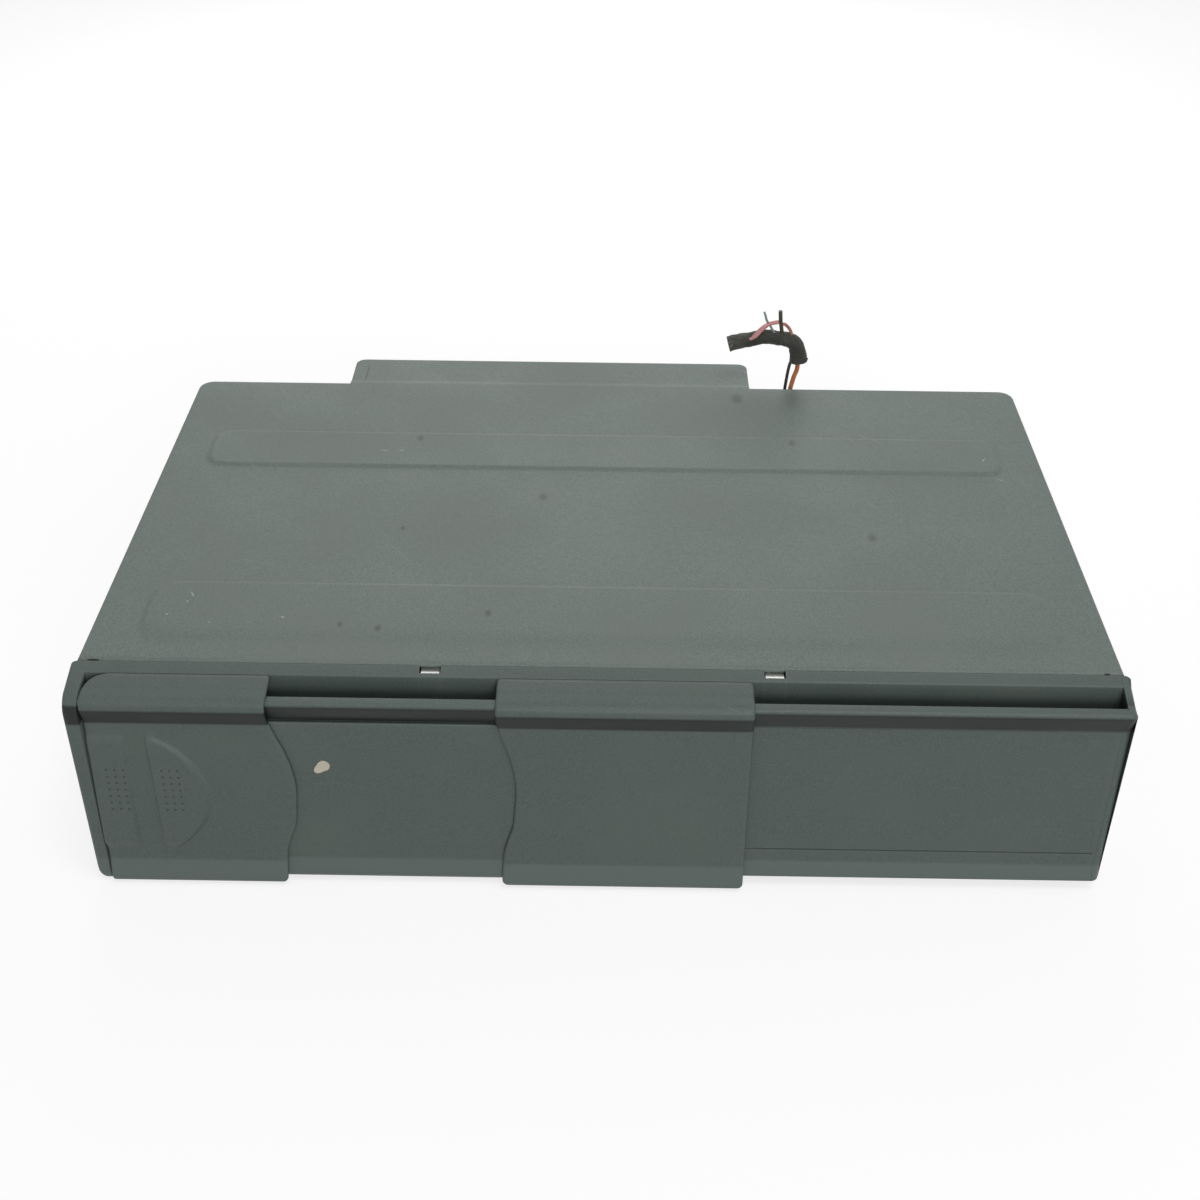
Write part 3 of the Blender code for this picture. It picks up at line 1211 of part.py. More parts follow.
def gear_outline(centre, module, teeth, turn):
    """A spur gear's outline with slim straight-sided teeth. A space faces the angle of turn."""
    points = []
    root = module * teeth / 2 - ROOT_SHARE * module
    tip = module * teeth / 2 + TIP_SHARE * module
    corners = ((root, -GEAR_ROOT_SHARE), (tip, -GEAR_TIP_SHARE))
    corners += ((tip, GEAR_TIP_SHARE), (root, GEAR_ROOT_SHARE))
    for index in range(teeth):
        middle = turn + TWO_PI * (index + 0.5) / teeth
        step = TWO_PI / teeth
        for radius, share in corners:
            angle = middle + share * step
            points.append((centre[0] + radius * math.cos(angle), centre[1] + radius * math.sin(angle)))
    return points


def make_lift_gear(white):
    """Nylon gear that drives the rack and is driven by the worm."""
    centre = (LIFT_GEAR_X, LIFT_GEAR_Y)
    low = WORM_Z - GEAR_THICKNESS / 2
    high = WORM_Z + GEAR_THICKNESS / 2
    outline = gear_outline(centre, GEAR_MODULE, LIFT_TEETH, -math.pi / 2)
    gear = prism("lift_gear", outline, "Z", low, high, white)
    cut(gear, rod("gear_bore", centre, GEAR_BORE, "Z", low - OVERRUN, high + OVERRUN, white))
    return pivot(gear, (*centre, 0))


def thread(name, centre, radius, rise, pitch, turns, start, material, sides=THREAD_SIDES):
    """A right-handed threaded rod along Y. Its ridge passes -X at the middle of its length."""
    rings_per_turn = 8
    count = rings_per_turn * turns
    length = pitch * turns
    middle = start + length / 2
    points = []
    faces = []
    for ring in range(count + 1):
        y = start + length * ring / count
        for side in range(sides):
            angle = TWO_PI * side / sides
            phase = angle - math.pi + TWO_PI * (y - middle) / pitch
            swell = max(0.0, math.cos(phase)) ** 2
            here = radius + rise * swell
            points.append((centre[0] + here * math.cos(angle), y, centre[1] + here * math.sin(angle)))
    for ring in range(count):
        for side in range(sides):
            following = (side + 1) % sides
            first = ring * sides
            second = first + sides
            faces.append([first + side, first + following, second + following, second + side])
    faces.append(list(range(sides)))
    faces.append(list(range(count * sides, (count + 1) * sides)))
    made = solid(name, points, faces, material)
    smooth(made)
    return made


def make_lift_worm(brass):
    """Worm on the lift motor's shaft, in mesh with the lift gear."""
    pitch = math.pi * GEAR_MODULE
    turns = int(WORM_LENGTH / pitch)
    start = LIFT_GEAR_Y - pitch * turns / 2
    core = WORM_RADIUS - GEAR_MODULE
    rise = THREAD_SHARE * GEAR_MODULE
    worm = thread("lift_worm", (WORM_X, WORM_Z), core, rise, pitch, turns, start, brass)
    end = LIFT_MOTOR_Y + SHAFT_LENGTH / 2
    shaft = rod("worm_shaft", (WORM_X, WORM_Z), WORM_SHAFT, "Y", start + OVERRUN, end, brass)
    fuse(worm, shaft)
    return pivot(worm, (WORM_X, LIFT_GEAR_Y, WORM_Z))


def make_lift_motor(steel):
    """Small motor set in the frame's floor, with the bore for the worm's shaft."""
    near = LIFT_MOTOR_Y
    centre = (WORM_X, WORM_Z)
    spread = (near, near + LIFT_MOTOR_LENGTH)
    motor = rod("lift_motor", centre, LIFT_MOTOR_RADIUS, "Y", *spread, steel, ROUND_SIDES)
    cut(motor, rod("motor_bore", centre, WORM_SHAFT + RUN, "Y", near - OVERRUN, near + SHAFT_LENGTH, steel))
    return motor


def make_deck(steel):
    """Deck plate with its flanges, lift pins, posts for rod and screw, and ears for the clamp's pin."""
    deck = box("deck_plate", (DECK_LEFT, DECK_FRONT, DECK_BOTTOM), (DECK_RIGHT, DECK_REAR, DECK_TOP), steel)
    for x in PIN_PLACES:
        for near, far in ((DECK_FRONT, DECK_FRONT + DECK_WALL), (DECK_REAR - DECK_WALL, DECK_REAR)):
            low = (x - SLIDER_EDGE, near, DECK_TOP - SINK)
            high = (x + SLIDER_EDGE, far, DECK_TOP + DECK_FLANGE_HEIGHT)
            fuse(deck, box("deck_flange", low, high, steel))
    spreads = ((FRAME_FRONT + GAP, DECK_FRONT + SINK), (DECK_REAR - SINK, FRAME_REAR - GAP))
    for x in PIN_PLACES:
        for near, far in spreads:
            fuse(deck, rod("lift_pin", (x, PIN_HEIGHT), PIN_RADIUS, "Y", near, far, steel))
    half = LIFT_MOTOR_RADIUS + OVERRUN
    motor_low = (WORM_X - half, LIFT_GEAR_Y - WORM_LENGTH / 2 - OVERRUN, DECK_BOTTOM - OVERRUN)
    motor_high = (WORM_X + half, LIFT_MOTOR_Y + LIFT_MOTOR_LENGTH + OVERRUN, DECK_TOP + OVERRUN)
    sled_low = (SPINDLE_X - ROD_OFFSET, SLED_FRONT + OVERRUN, DECK_BOTTOM - OVERRUN)
    sled_high = (SCREW_X - OVERRUN, SCREW_END - OVERRUN, DECK_TOP + OVERRUN)
    reach = SLED_MOTOR_RADIUS + GAP
    drive_low = (SCREW_X - SMALL_MODULE * (SCREW_TEETH / 2 + 2), SMALL_GEAR_Y - GAP, DECK_BOTTOM - OVERRUN)
    drive_high = (PINION_X + reach, SCREW_FRONT - GAP, DECK_TOP + OVERRUN)
    well_low = (PINION_X - reach, SCREW_FRONT - OVERRUN, DECK_BOTTOM - OVERRUN)
    well_high = (PINION_X + reach, SCREW_FRONT + SLED_MOTOR_LENGTH + GAP, DECK_TOP + OVERRUN)
    cut(
        deck,
        box("lift_motor_window", motor_low, motor_high, steel),
        box("sled_window", sled_low, sled_high, steel),
        box("gear_window", drive_low, drive_high, steel),
        box("sled_motor_window", well_low, well_high, steel),
    )
    for x, radius in ((SPINDLE_X - ROD_OFFSET, ROD_RADIUS), (SCREW_X, SCREW_RADIUS)):
        for y in (SCREW_FRONT, SCREW_END):
            low = (x - radius - POST_WALL, y, DECK_BOTTOM)
            high = (x + radius + POST_WALL, y + POST_DEPTH, DECK_TOP + POST_HEIGHT)
            fuse(deck, box("rod_post", low, high, steel))
            spread = (y - GAP, y + POST_DEPTH + GAP)
            cut(deck, rod("post_bore", (x, SLED_AXIS_HEIGHT), radius + RUN, "Y", *spread, steel))
    for side in (-1, 1):
        x = SPINDLE_X + side * (CLAMP_WIDTH / 2 + GAP + CLAMP_EAR / 2)
        low = (x - CLAMP_EAR / 2, CLAMP_PIN_Y - CLAMP_EAR, DECK_TOP - SINK)
        high = (x + CLAMP_EAR / 2, DECK_REAR, CLAMP_PIN_HEIGHT + CLAMP_EAR)
        ear = box("clamp_ear", low, high, steel)
        fuse(deck, ear)
        centre = (CLAMP_PIN_Y, CLAMP_PIN_HEIGHT)
        spread = (x - CLAMP_EAR / 2 - OVERRUN / 4, x + CLAMP_EAR / 2 + OVERRUN / 4)
        cut(deck, rod("ear_bore", centre, CLAMP_PIN_RADIUS + RUN, "X", *spread, steel))
    return deck


def make_spindle_motor(steel):
    """Flat spindle motor on the deck plate, with a bore for the turntable's shaft."""
    low = DECK_TOP + GAP
    high = low + SPINDLE_MOTOR_HEIGHT
    bore = SHAFT_RADIUS + RUN
    profile = ((0, low), (SPINDLE_MOTOR_RADIUS, low), (SPINDLE_MOTOR_RADIUS, high), (bore, high))
    profile += ((bore, high - SHAFT_LENGTH), (0, high - SHAFT_LENGTH))
    return turned("spindle_motor", profile, (SPINDLE_X, DISC_Y), "Z", steel, ROUND_SIDES)


def make_turntable(black):
    """Turntable with its centring cone and its shaft in the motor."""
    top = TURNTABLE_TOP
    under = top - TURNTABLE_THICKNESS
    tip = DECK_TOP + GAP + SPINDLE_MOTOR_HEIGHT - SHAFT_LENGTH + GAP
    profile = ((0, tip), (SHAFT_RADIUS, tip), (SHAFT_RADIUS, under), (TURNTABLE_RADIUS, under))
    profile += ((TURNTABLE_RADIUS, top), (CONE_RADIUS, top))
    profile += ((CONE_TIP_RADIUS, top + CONE_HEIGHT), (0, top + CONE_HEIGHT))
    table = turned("turntable", profile, (SPINDLE_X, DISC_Y), "Z", black, ROUND_SIDES)
    return pivot(table, (SPINDLE_X, DISC_Y, 0))


def make_clamp_arm(steel):
    """Stamped arm over the disc, hinged at the rear of the deck, with the clamper's hole at its end."""
    half = CLAMP_WIDTH / 2
    low = (SPINDLE_X - half, DISC_Y - CLAMP_REACH, CLAMP_PLANE)
    rear = CLAMP_PIN_Y + CLAMP_PIN_RADIUS + CLAMP_WALL
    high = (SPINDLE_X + half, rear, CLAMP_PLANE + CLAMP_WALL)
    arm = box("clamp_arm", low, high, steel)
    knuckle = CLAMP_PIN_RADIUS + CLAMP_WALL
    leg_low = (low[0], CLAMP_PIN_Y - CLAMP_WALL / 2, CLAMP_PIN_HEIGHT)
    leg_high = (high[0], CLAMP_PIN_Y + CLAMP_WALL / 2, CLAMP_PLANE + SINK)
    leg = box("clamp_leg", leg_low, leg_high, steel)
    barrel = rod("clamp_barrel", (CLAMP_PIN_Y, CLAMP_PIN_HEIGHT), knuckle, "X", low[0], high[0], steel)
    fuse(arm, leg, barrel)
    spread = (low[0] - OVERRUN, high[0] + OVERRUN)
    bore = rod("barrel_bore", (CLAMP_PIN_Y, CLAMP_PIN_HEIGHT), CLAMP_PIN_RADIUS + RUN, "X", *spread, steel)
    centre = (SPINDLE_X, DISC_Y)
    spread = (CLAMP_PLANE - OVERRUN, high[2] + OVERRUN)
    hole = rod("neck_hole", centre, CLAMPER_NECK + GAP, "Z", *spread, steel, ROUND_SIDES)
    cut(arm, bore, hole)
    return pivot(arm, (SPINDLE_X, CLAMP_PIN_Y, CLAMP_PIN_HEIGHT))


def make_clamp_pin(steel):
    half = CLAMP_WIDTH / 2 + GAP + CLAMP_EAR
    centre = (CLAMP_PIN_Y, CLAMP_PIN_HEIGHT)
    return rod("clamp_pin", centre, CLAMP_PIN_RADIUS, "X", SPINDLE_X - half, SPINDLE_X + half, steel)


def make_clamper(white):
    """Clamper puck that hangs loose in the arm by its upper flange."""
    low = CLAMP_PLANE - CLAMPER_DROP
    step = low + CLAMPER_THICKNESS
    cap = CLAMP_PLANE + CLAMP_WALL + CLAMPER_RISE - CLAMPER_CAP
    profile = ((0, low), (CLAMPER_RADIUS, low), (CLAMPER_RADIUS, step), (CLAMPER_NECK, step))
    profile += ((CLAMPER_NECK, cap), (CLAMPER_FLANGE, cap))
    profile += ((CLAMPER_FLANGE, cap + CLAMPER_CAP), (0, cap + CLAMPER_CAP))
    made = turned("clamper", profile, (SPINDLE_X, DISC_Y), "Z", white, ROUND_SIDES)
    return pivot(made, (SPINDLE_X, DISC_Y, 0))


def make_sled(black):
    """Pickup sled on the rod and the lead screw, with its round lens holder."""
    near = SLED_FRONT
    left = SPINDLE_X - ROD_OFFSET - ROD_RADIUS - POST_WALL
    right = SCREW_X + SCREW_RADIUS + SCREW_THREAD + RUN
    top = SLED_BOTTOM + SLED_HEIGHT
    sled = box("pickup_sled", (left, near, SLED_BOTTOM), (right, near + SLED_LENGTH, top), black)
    spread = (near - OVERRUN, near + SLED_LENGTH + OVERRUN)
    rod_centre = (SPINDLE_X - ROD_OFFSET, SLED_AXIS_HEIGHT)
    rod_hole = rod("rod_hole", rod_centre, ROD_RADIUS + RUN, "Y", *spread, black)
    bore = SCREW_RADIUS + SCREW_THREAD + RUN
    nut_hole = rod("nut_hole", (SCREW_X, SLED_AXIS_HEIGHT), bore, "Y", *spread, black)
    mouth = box(
        "nut_mouth",
        (SCREW_X, spread[0], SLED_AXIS_HEIGHT - bore),
        (right + OVERRUN, spread[1], SLED_AXIS_HEIGHT + bore),
        black,
    )
    lens_centre = (SPINDLE_X, DISC_Y + SLED_START)
    lens = rod("lens_holder", lens_centre, LENS_RADIUS, "Z", top - SINK, top + LENS_RISE, black)
    cut(sled, rod_hole, nut_hole, mouth)
    fuse(sled, lens)
    return sled


def make_sled_rod(steel):
    centre = (SPINDLE_X - ROD_OFFSET, SLED_AXIS_HEIGHT)
    return rod("sled_rod", centre, ROD_RADIUS, "Y", SCREW_FRONT - GAP, SCREW_END + POST_DEPTH + GAP, steel)


def make_lead_screw(steel):
    """Lead screw with the gear moulded on its front end."""
    start = SLED_FRONT
    turns = int((SCREW_END - start - GAP) / SCREW_PITCH)
    centre = (SCREW_X, SLED_AXIS_HEIGHT)
    screw = thread(
        "lead_screw", centre, SCREW_RADIUS, SCREW_THREAD, SCREW_PITCH, turns, start, steel, SCREW_SIDES
    )
    shaft = rod(
        "screw_shaft",
        centre,
        SCREW_RADIUS - RUN / 2,
        "Y",
        SMALL_GEAR_Y + SINK,
        SCREW_END + POST_DEPTH,
        steel,
    )
    angle = math.atan2(-GEAR_FALL, PINION_X - SCREW_X)
    outline = gear_outline(centre, SMALL_MODULE, SCREW_TEETH, angle)
    gear = prism("screw_gear", outline, "Y", SMALL_GEAR_Y, SMALL_GEAR_Y + SMALL_GEAR_THICKNESS, steel)
    fuse(screw, shaft, gear)
    return pivot(screw, (SCREW_X, SCREW_FRONT, SLED_AXIS_HEIGHT))


def make_sled_pinion(white):
    """Pinion on the sled motor's shaft, in mesh with the lead screw's gear."""
    centre = (PINION_X, SLED_MOTOR_AXIS)
    toward = math.atan2(GEAR_FALL, SCREW_X - PINION_X)
    turn = toward + math.pi / PINION_TEETH
    outline = gear_outline(centre, SMALL_MODULE, PINION_TEETH, turn)
    pinion = prism("sled_pinion", outline, "Y", SMALL_GEAR_Y, SMALL_GEAR_Y + SMALL_GEAR_THICKNESS, white)
    end = SCREW_FRONT + SHAFT_LENGTH
    fuse(pinion, rod("pinion_shaft", centre, WORM_SHAFT, "Y", SMALL_GEAR_Y + SINK, end, white))
    return pivot(pinion, (PINION_X, SMALL_GEAR_Y, SLED_MOTOR_AXIS))


def make_sled_motor(steel):
    """Sled motor set in the deck plate, with the bore for the pinion's shaft."""
    near = SCREW_FRONT
    centre = (PINION_X, SLED_MOTOR_AXIS)
    spread = (near, near + SLED_MOTOR_LENGTH)
    motor = rod("sled_motor", centre, SLED_MOTOR_RADIUS, "Y", *spread, steel, ROUND_SIDES)
    spread = (near - OVERRUN, near + SHAFT_LENGTH + GAP)
    bore = rod("sled_motor_bore", centre, WORM_SHAFT + RUN, "Y", *spread, steel)
    return cut(motor, bore)


def make_button(plastic):
    """Eject button beside the magazine, with the rod that reaches the latch lever."""
    near = CREASE_Y - BUTTON_FRONT_OUT
    half = BUTTON_WIDTH / 2
    low = (BUTTON_X - half, near, BUTTON_BOTTOM)
    high = (BUTTON_X + half, near + BUTTON_THICKNESS, BUTTON_BOTTOM + BUTTON_HEIGHT)
    button = box("eject_button", low, high, plastic)
    half = BUTTON_ROD_WIDTH / 2
    rod_low = (BUTTON_X - half, high[1] - SINK, BUTTON_BOTTOM)
    rod_high = (BUTTON_X + half, BUTTON_ROD_END, BUTTON_BOTTOM + BUTTON_ROD_HEIGHT)
    return fuse(button, box("button_rod", rod_low, rod_high, plastic))


def bar(name, start, end, width, low, high, material):
    """A flat bar between two points in plan, with round ends."""
    direction = math.degrees(math.atan2(end[1] - start[1], end[0] - start[0]))
    outline = arc(end, width / 2, direction - 90, direction + 90)
    outline += arc(start, width / 2, direction + 90, direction + 270)
    return prism(name, outline, "Z", low, high, material)


def make_latch(steel):
    """Latch lever: a front arm behind the button's rod and a long arm in the magazine's notch."""
    low = MAGAZINE_BOTTOM + LATCH_LIFT
    high = low + LATCH_THICKNESS
    contact_y = BUTTON_ROD_END + GAP + LATCH_BAR / 2
    front_tip = (BUTTON_X, contact_y)
    catch_tip = (MAGAZINE_RIGHT - CATCH_REACH + LATCH_BAR / 2, CREASE_Y + CATCH_SETBACK)
    latch = rod("latch_lever", LATCH_PIVOT, LATCH_BAR + RUN, "Z", low, high, steel)
    front_arm = bar("latch_front_arm", LATCH_PIVOT, front_tip, LATCH_BAR, low, high, steel)
    catch_arm = bar("latch_catch_arm", LATCH_PIVOT, catch_tip, LATCH_BAR, low, high, steel)
    fuse(latch, front_arm, catch_arm)
    cut(latch, rod("latch_bore", LATCH_PIVOT, LATCH_PIN + RUN, "Z", low - OVERRUN, high + OVERRUN, steel))
    return pivot(latch, (*LATCH_PIVOT, 0))


def make_eject_lever(steel):
    """Eject lever under the guide, with an upright finger behind the magazine."""
    low = EJECT_HEIGHT
    high = low + EJECT_THICKNESS
    finger_y = MAGAZINE_REAR + GAP + EJECT_FINGER / 2
    tip = (EJECT_PIVOT[0] + EJECT_ARM, finger_y)
    lever = bar("eject_lever", EJECT_PIVOT, tip, EJECT_BAR, low, high, steel)
    finger = rod("eject_finger", tip, EJECT_FINGER / 2, "Z", high - SINK, high + EJECT_FINGER_RISE, steel)
    fuse(lever, finger)
    cut(lever, rod("eject_bore", EJECT_PIVOT, EJECT_PIN + RUN, "Z", low - OVERRUN, high + OVERRUN, steel))
    return pivot(lever, (*EJECT_PIVOT, 0))


def make_dial(side, plastic):
    """Angle dial in the side wall, with its screwdriver slot."""
    sign = -1 if side == "left" else 1
    outer = sign * (WALL_FACE + DIAL_PROUD)
    inner = sign * (WALL_FACE + DIAL_PROUD - DIAL_THICKNESS)
    centre = (CREASE_Y + DIAL_SETBACK, DIAL_HEIGHT)
    spread = sorted((outer, inner))
    dial = rod("angle_dial_" + side, centre, DIAL_RADIUS, "X", *spread, plastic, ROUND_SIDES)
    reach = DIAL_RADIUS - DIAL_SLOT
    spread = sorted((outer + sign * OVERRUN, outer - sign * DIAL_THICKNESS / 2))
    low = (spread[0], centre[0] - reach, centre[1] - DIAL_SLOT / 2)
    high = (spread[1], centre[0] + reach, centre[1] + DIAL_SLOT / 2)
    cut(dial, box("dial_slot", low, high, plastic))
    return pivot(dial, (outer, *centre))


def make_screw(name, axis, centre, face, direction, zinc):
    """Cross-head screw: low round head outside the sheet, plain shank through it."""
    tip = face - direction * SCREW_LENGTH
    seat = face + direction * RUN
    head = face + direction * SCREW_HEAD_HEIGHT
    edge = SCREW_HEAD_RADIUS * math.cos(math.radians(45))
    profile = ((0, tip), (SCREW_SHANK, tip), (SCREW_SHANK, seat), (SCREW_HEAD_RADIUS, seat))
    profile += ((SCREW_HEAD_RADIUS, (seat + head) / 2), (edge, head), (0, head))
    return turned(name, profile, centre, axis, zinc, SMALL_SIDES)


def make_socket(black):
    """Harness socket set in the rear wall, with a shroud that stands out of it."""
    half = SOCKET_WIDTH / 2 - GAP
    low = (SOCKET_X - half, REAR_INSIDE - SOCKET_OUT, SOCKET_BOTTOM + GAP)
    high = (SOCKET_X + half, CASE_REAR + SOCKET_OUT, SOCKET_BOTTOM + SOCKET_HEIGHT - GAP)
    socket = box("rear_socket", low, high, black)
    wall = SOCKET_WALL
    hollow_low = (low[0] + wall, CASE_REAR - OVERRUN, low[2] + wall)
    hollow_high = (high[0] - wall, high[1] + OVERRUN, high[2] - wall)
    return cut(socket, box("socket_hollow", hollow_low, hollow_high, black))


def make_plug(black):
    """Harness plug in the socket, with a wider body outside it."""
    inset = GAP + SOCKET_WALL + GAP
    half = SOCKET_WIDTH / 2
    low = (SOCKET_X - half + inset, CASE_REAR - OVERRUN + GAP, SOCKET_BOTTOM + inset)
    top = SOCKET_BOTTOM + SOCKET_HEIGHT - inset
    high = (SOCKET_X + half - inset, CASE_REAR + SOCKET_OUT + OVERRUN, top)
    plug = box("harness_plug", low, high, black)
    near = CASE_REAR + SOCKET_OUT + GAP
    body_low = (SOCKET_X - half, near, SOCKET_BOTTOM)
    body_high = (SOCKET_X + half, near + PLUG_LENGTH, SOCKET_BOTTOM + SOCKET_HEIGHT - OVERRUN)
    return fuse(plug, box("plug_body", body_low, body_high, black))


def harness_route(points):
    """A smooth curve through the route's own points, in the upright plane behind the cover."""
    y = CREASE_Y + COVER_DEPTH + HARNESS_SETBACK
    places = [Vector((x, y, CASE_HEIGHT + z)) for x, z in points]
    ends = [2 * places[0] - places[1]] + places + [2 * places[-1] - places[-2]]
    route = []
    steps = 3
    for index in range(len(places) - 1):
        before, start, end, after = ends[index : index + 4]
        for step in range(steps):
            t = step / steps
            point = 2 * start + (end - before) * t
            point += (2 * before - 5 * start + 4 * end - after) * t**2
            point += (3 * start - before - 3 * end + after) * t**3
            route.append(point / 2)
    route.append(places[-1])
    return route


def build():
    clear_scene()
    top_paint = paint("grey_green_paint", (0.150, 0.182, 0.165), 0.55, 0.1)
    front_plastic = paint("dark_grey_plastic", (0.072, 0.088, 0.080), 0.5)
    steel = paint("zinc_steel", (0.55, 0.56, 0.55), 0.35, 0.9)
    rod_steel = paint("bright_steel", (0.62, 0.62, 0.62), 0.2, 1.0)
    black = paint("black_plastic", (0.02, 0.02, 0.022), 0.5)
    white = paint("nylon", (0.75, 0.74, 0.68), 0.45)
    green = paint("board_green", (0.03, 0.16, 0.07), 0.4)
    rubber = paint("rubber", (0.03, 0.03, 0.03), 0.8)
    silver = paint("disc_silver", (0.75, 0.76, 0.78), 0.1, 1.0)
    brass = paint("brass", (0.70, 0.52, 0.22), 0.3, 1.0)
    tape = paint("cloth_tape", (0.025, 0.027, 0.022), 0.85)
    orange = paint("orange_wire", (0.70, 0.18, 0.06), 0.5)

    make_bottom_case(steel)
    make_top_cover(top_paint)
    make_bezel(front_plastic)
    make_inner_door(front_plastic)
    make_outer_door(front_plastic)
    for side, place in CLIP_PLACES.items():
        make_clip(side, place, steel)
    make_rear_housing(top_paint)
    make_board(green)
    make_frame(steel)
    for name, centre in damper_places().items():
        make_damper(name, centre, rubber)
        toward = 1 if name.startswith("front") else -1
        make_spring(name, (centre[0], centre[1] + toward * SPRING_SETBACK), rod_steel)
    make_magazine(black)
    for index in range(DISC_COUNT):
        make_tray(index, black)
        make_disc(index, silver)
    make_guide(steel)
    make_slider(steel)
    make_lift_gear(white)
    make_lift_worm(brass)
    make_lift_motor(steel)
    make_deck(steel)
    make_spindle_motor(steel)
    make_turntable(black)
    make_clamp_arm(steel)
    make_clamp_pin(rod_steel)
    make_clamper(white)
    make_sled(black)
    make_sled_rod(rod_steel)
    make_lead_screw(rod_steel)
    make_sled_pinion(white)
    make_sled_motor(steel)
    make_button(black)
    make_latch(steel)
    make_eject_lever(steel)
    for side in ("left", "right"):
        make_dial(side, black)
    y = CREASE_Y + COVER_DEPTH
    for side, sign in (("left", -1), ("right", 1)):
        centre = (CREASE_Y + SIDE_SCREW_SETBACK, CASE_HEIGHT - SIDE_SCREW_DROP)
        make_screw("side_screw_" + side, "X", centre, sign * COVER_RIGHT, sign, steel)
        centre = (sign * (COVER_RIGHT - REAR_SCREW_INSET), CASE_HEIGHT - REAR_SCREW_DROP)
        make_screw("rear_screw_" + side, "Y", centre, y, 1, steel)
    make_socket(black)
    make_plug(black)
    tube("harness_bundle", harness_route(BUNDLE_ROUTE), BUNDLE_RADIUS, 2, tape)
    tube("harness_wires", harness_route(ORANGE_ROUTE), WIRE_RADIUS, 2, orange)


build()
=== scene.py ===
import math

import bmesh
import bpy
from mathutils import Matrix, Vector


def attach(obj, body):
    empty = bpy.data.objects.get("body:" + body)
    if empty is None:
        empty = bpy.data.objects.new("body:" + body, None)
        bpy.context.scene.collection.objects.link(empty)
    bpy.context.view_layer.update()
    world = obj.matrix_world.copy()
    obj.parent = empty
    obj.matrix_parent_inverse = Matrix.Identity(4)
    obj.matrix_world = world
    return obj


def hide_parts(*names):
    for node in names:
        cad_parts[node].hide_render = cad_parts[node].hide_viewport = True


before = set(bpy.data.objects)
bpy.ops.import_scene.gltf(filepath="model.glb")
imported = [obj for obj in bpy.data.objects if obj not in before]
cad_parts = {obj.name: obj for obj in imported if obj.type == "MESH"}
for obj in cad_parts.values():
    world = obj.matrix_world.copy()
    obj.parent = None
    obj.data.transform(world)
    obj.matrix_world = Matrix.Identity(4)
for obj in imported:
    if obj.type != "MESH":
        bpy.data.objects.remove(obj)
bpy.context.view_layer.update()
MM = 0.001


def add_object(name, data):
    """A new object in the scene's collection."""
    made = bpy.data.objects.new(name, data)
    bpy.context.collection.objects.link(made)
    return made


def plain_mesh(name, mesh):
    """Turns a bmesh into plain mesh data."""
    data = bpy.data.meshes.new(name)
    mesh.to_mesh(data)
    mesh.free()
    return data


# The view: a little to the right of the middle, looking down on the front and the top from about
# three boxes away, with a normal lens on a full-frame sensor.
camera_data = bpy.data.cameras.new("camera")
camera_data.lens = 49.426
camera_data.sensor_width = 36.0
camera_data.clip_start = 0.01
camera = add_object("camera", camera_data)
camera.matrix_world = Matrix((
    (0.99988, -0.01430, 0.00556, 0.00203),
    (0.01278, 0.57611, -0.81727, -0.39128),
    (0.00849, 0.81725, 0.57623, 0.30444),
    (0.0, 0.0, 0.0, 1.0),
))
bpy.context.scene.camera = camera
bpy.context.scene.view_settings.view_transform = "Standard"

# The harness stub: thin insulated wires that leave the plug at the rear, dive into a short sleeve of
# woven cloth tape and end where the loom was cut. Stray ends stick out of the sleeve where it bends.
CREASE_Y = -73.35 * MM
HARNESS_Y = CREASE_Y + 150.0 * MM
TOP_Z = 60.3 * MM
SLEEVE_ROUTE = (
    (60.3, 7.2), (60.2, 9.8), (59.5, 12.4), (57.3, 14.4), (53.6, 15.3),
    (49.6, 15.5), (46.2, 15.0), (42.4, 14.1), (38.2, 12.9),
)


def harness_point(x, z, out=0.0):
    """A point of the harness from its place in millimetres across and above the cover's top."""
    return Vector((x * MM, HARNESS_Y + out * MM, TOP_Z + z * MM))


def smooth_path(places, steps):
    """Points on one smooth curve through the given places."""
    ends = [2 * places[0] - places[1]] + list(places) + [2 * places[-1] - places[-2]]
    path = []
    for index in range(len(places) - 1):
        before, start, end, after = ends[index:index + 4]
        for step in range(steps):
            t = step / steps
            point = 2 * start + (end - before) * t
            point += (2 * before - 5 * start + 4 * end - after) * t**2
            point += (3 * start - before - 3 * end + after) * t**3
            path.append(point / 2)
    path.append(places[-1])
    return path


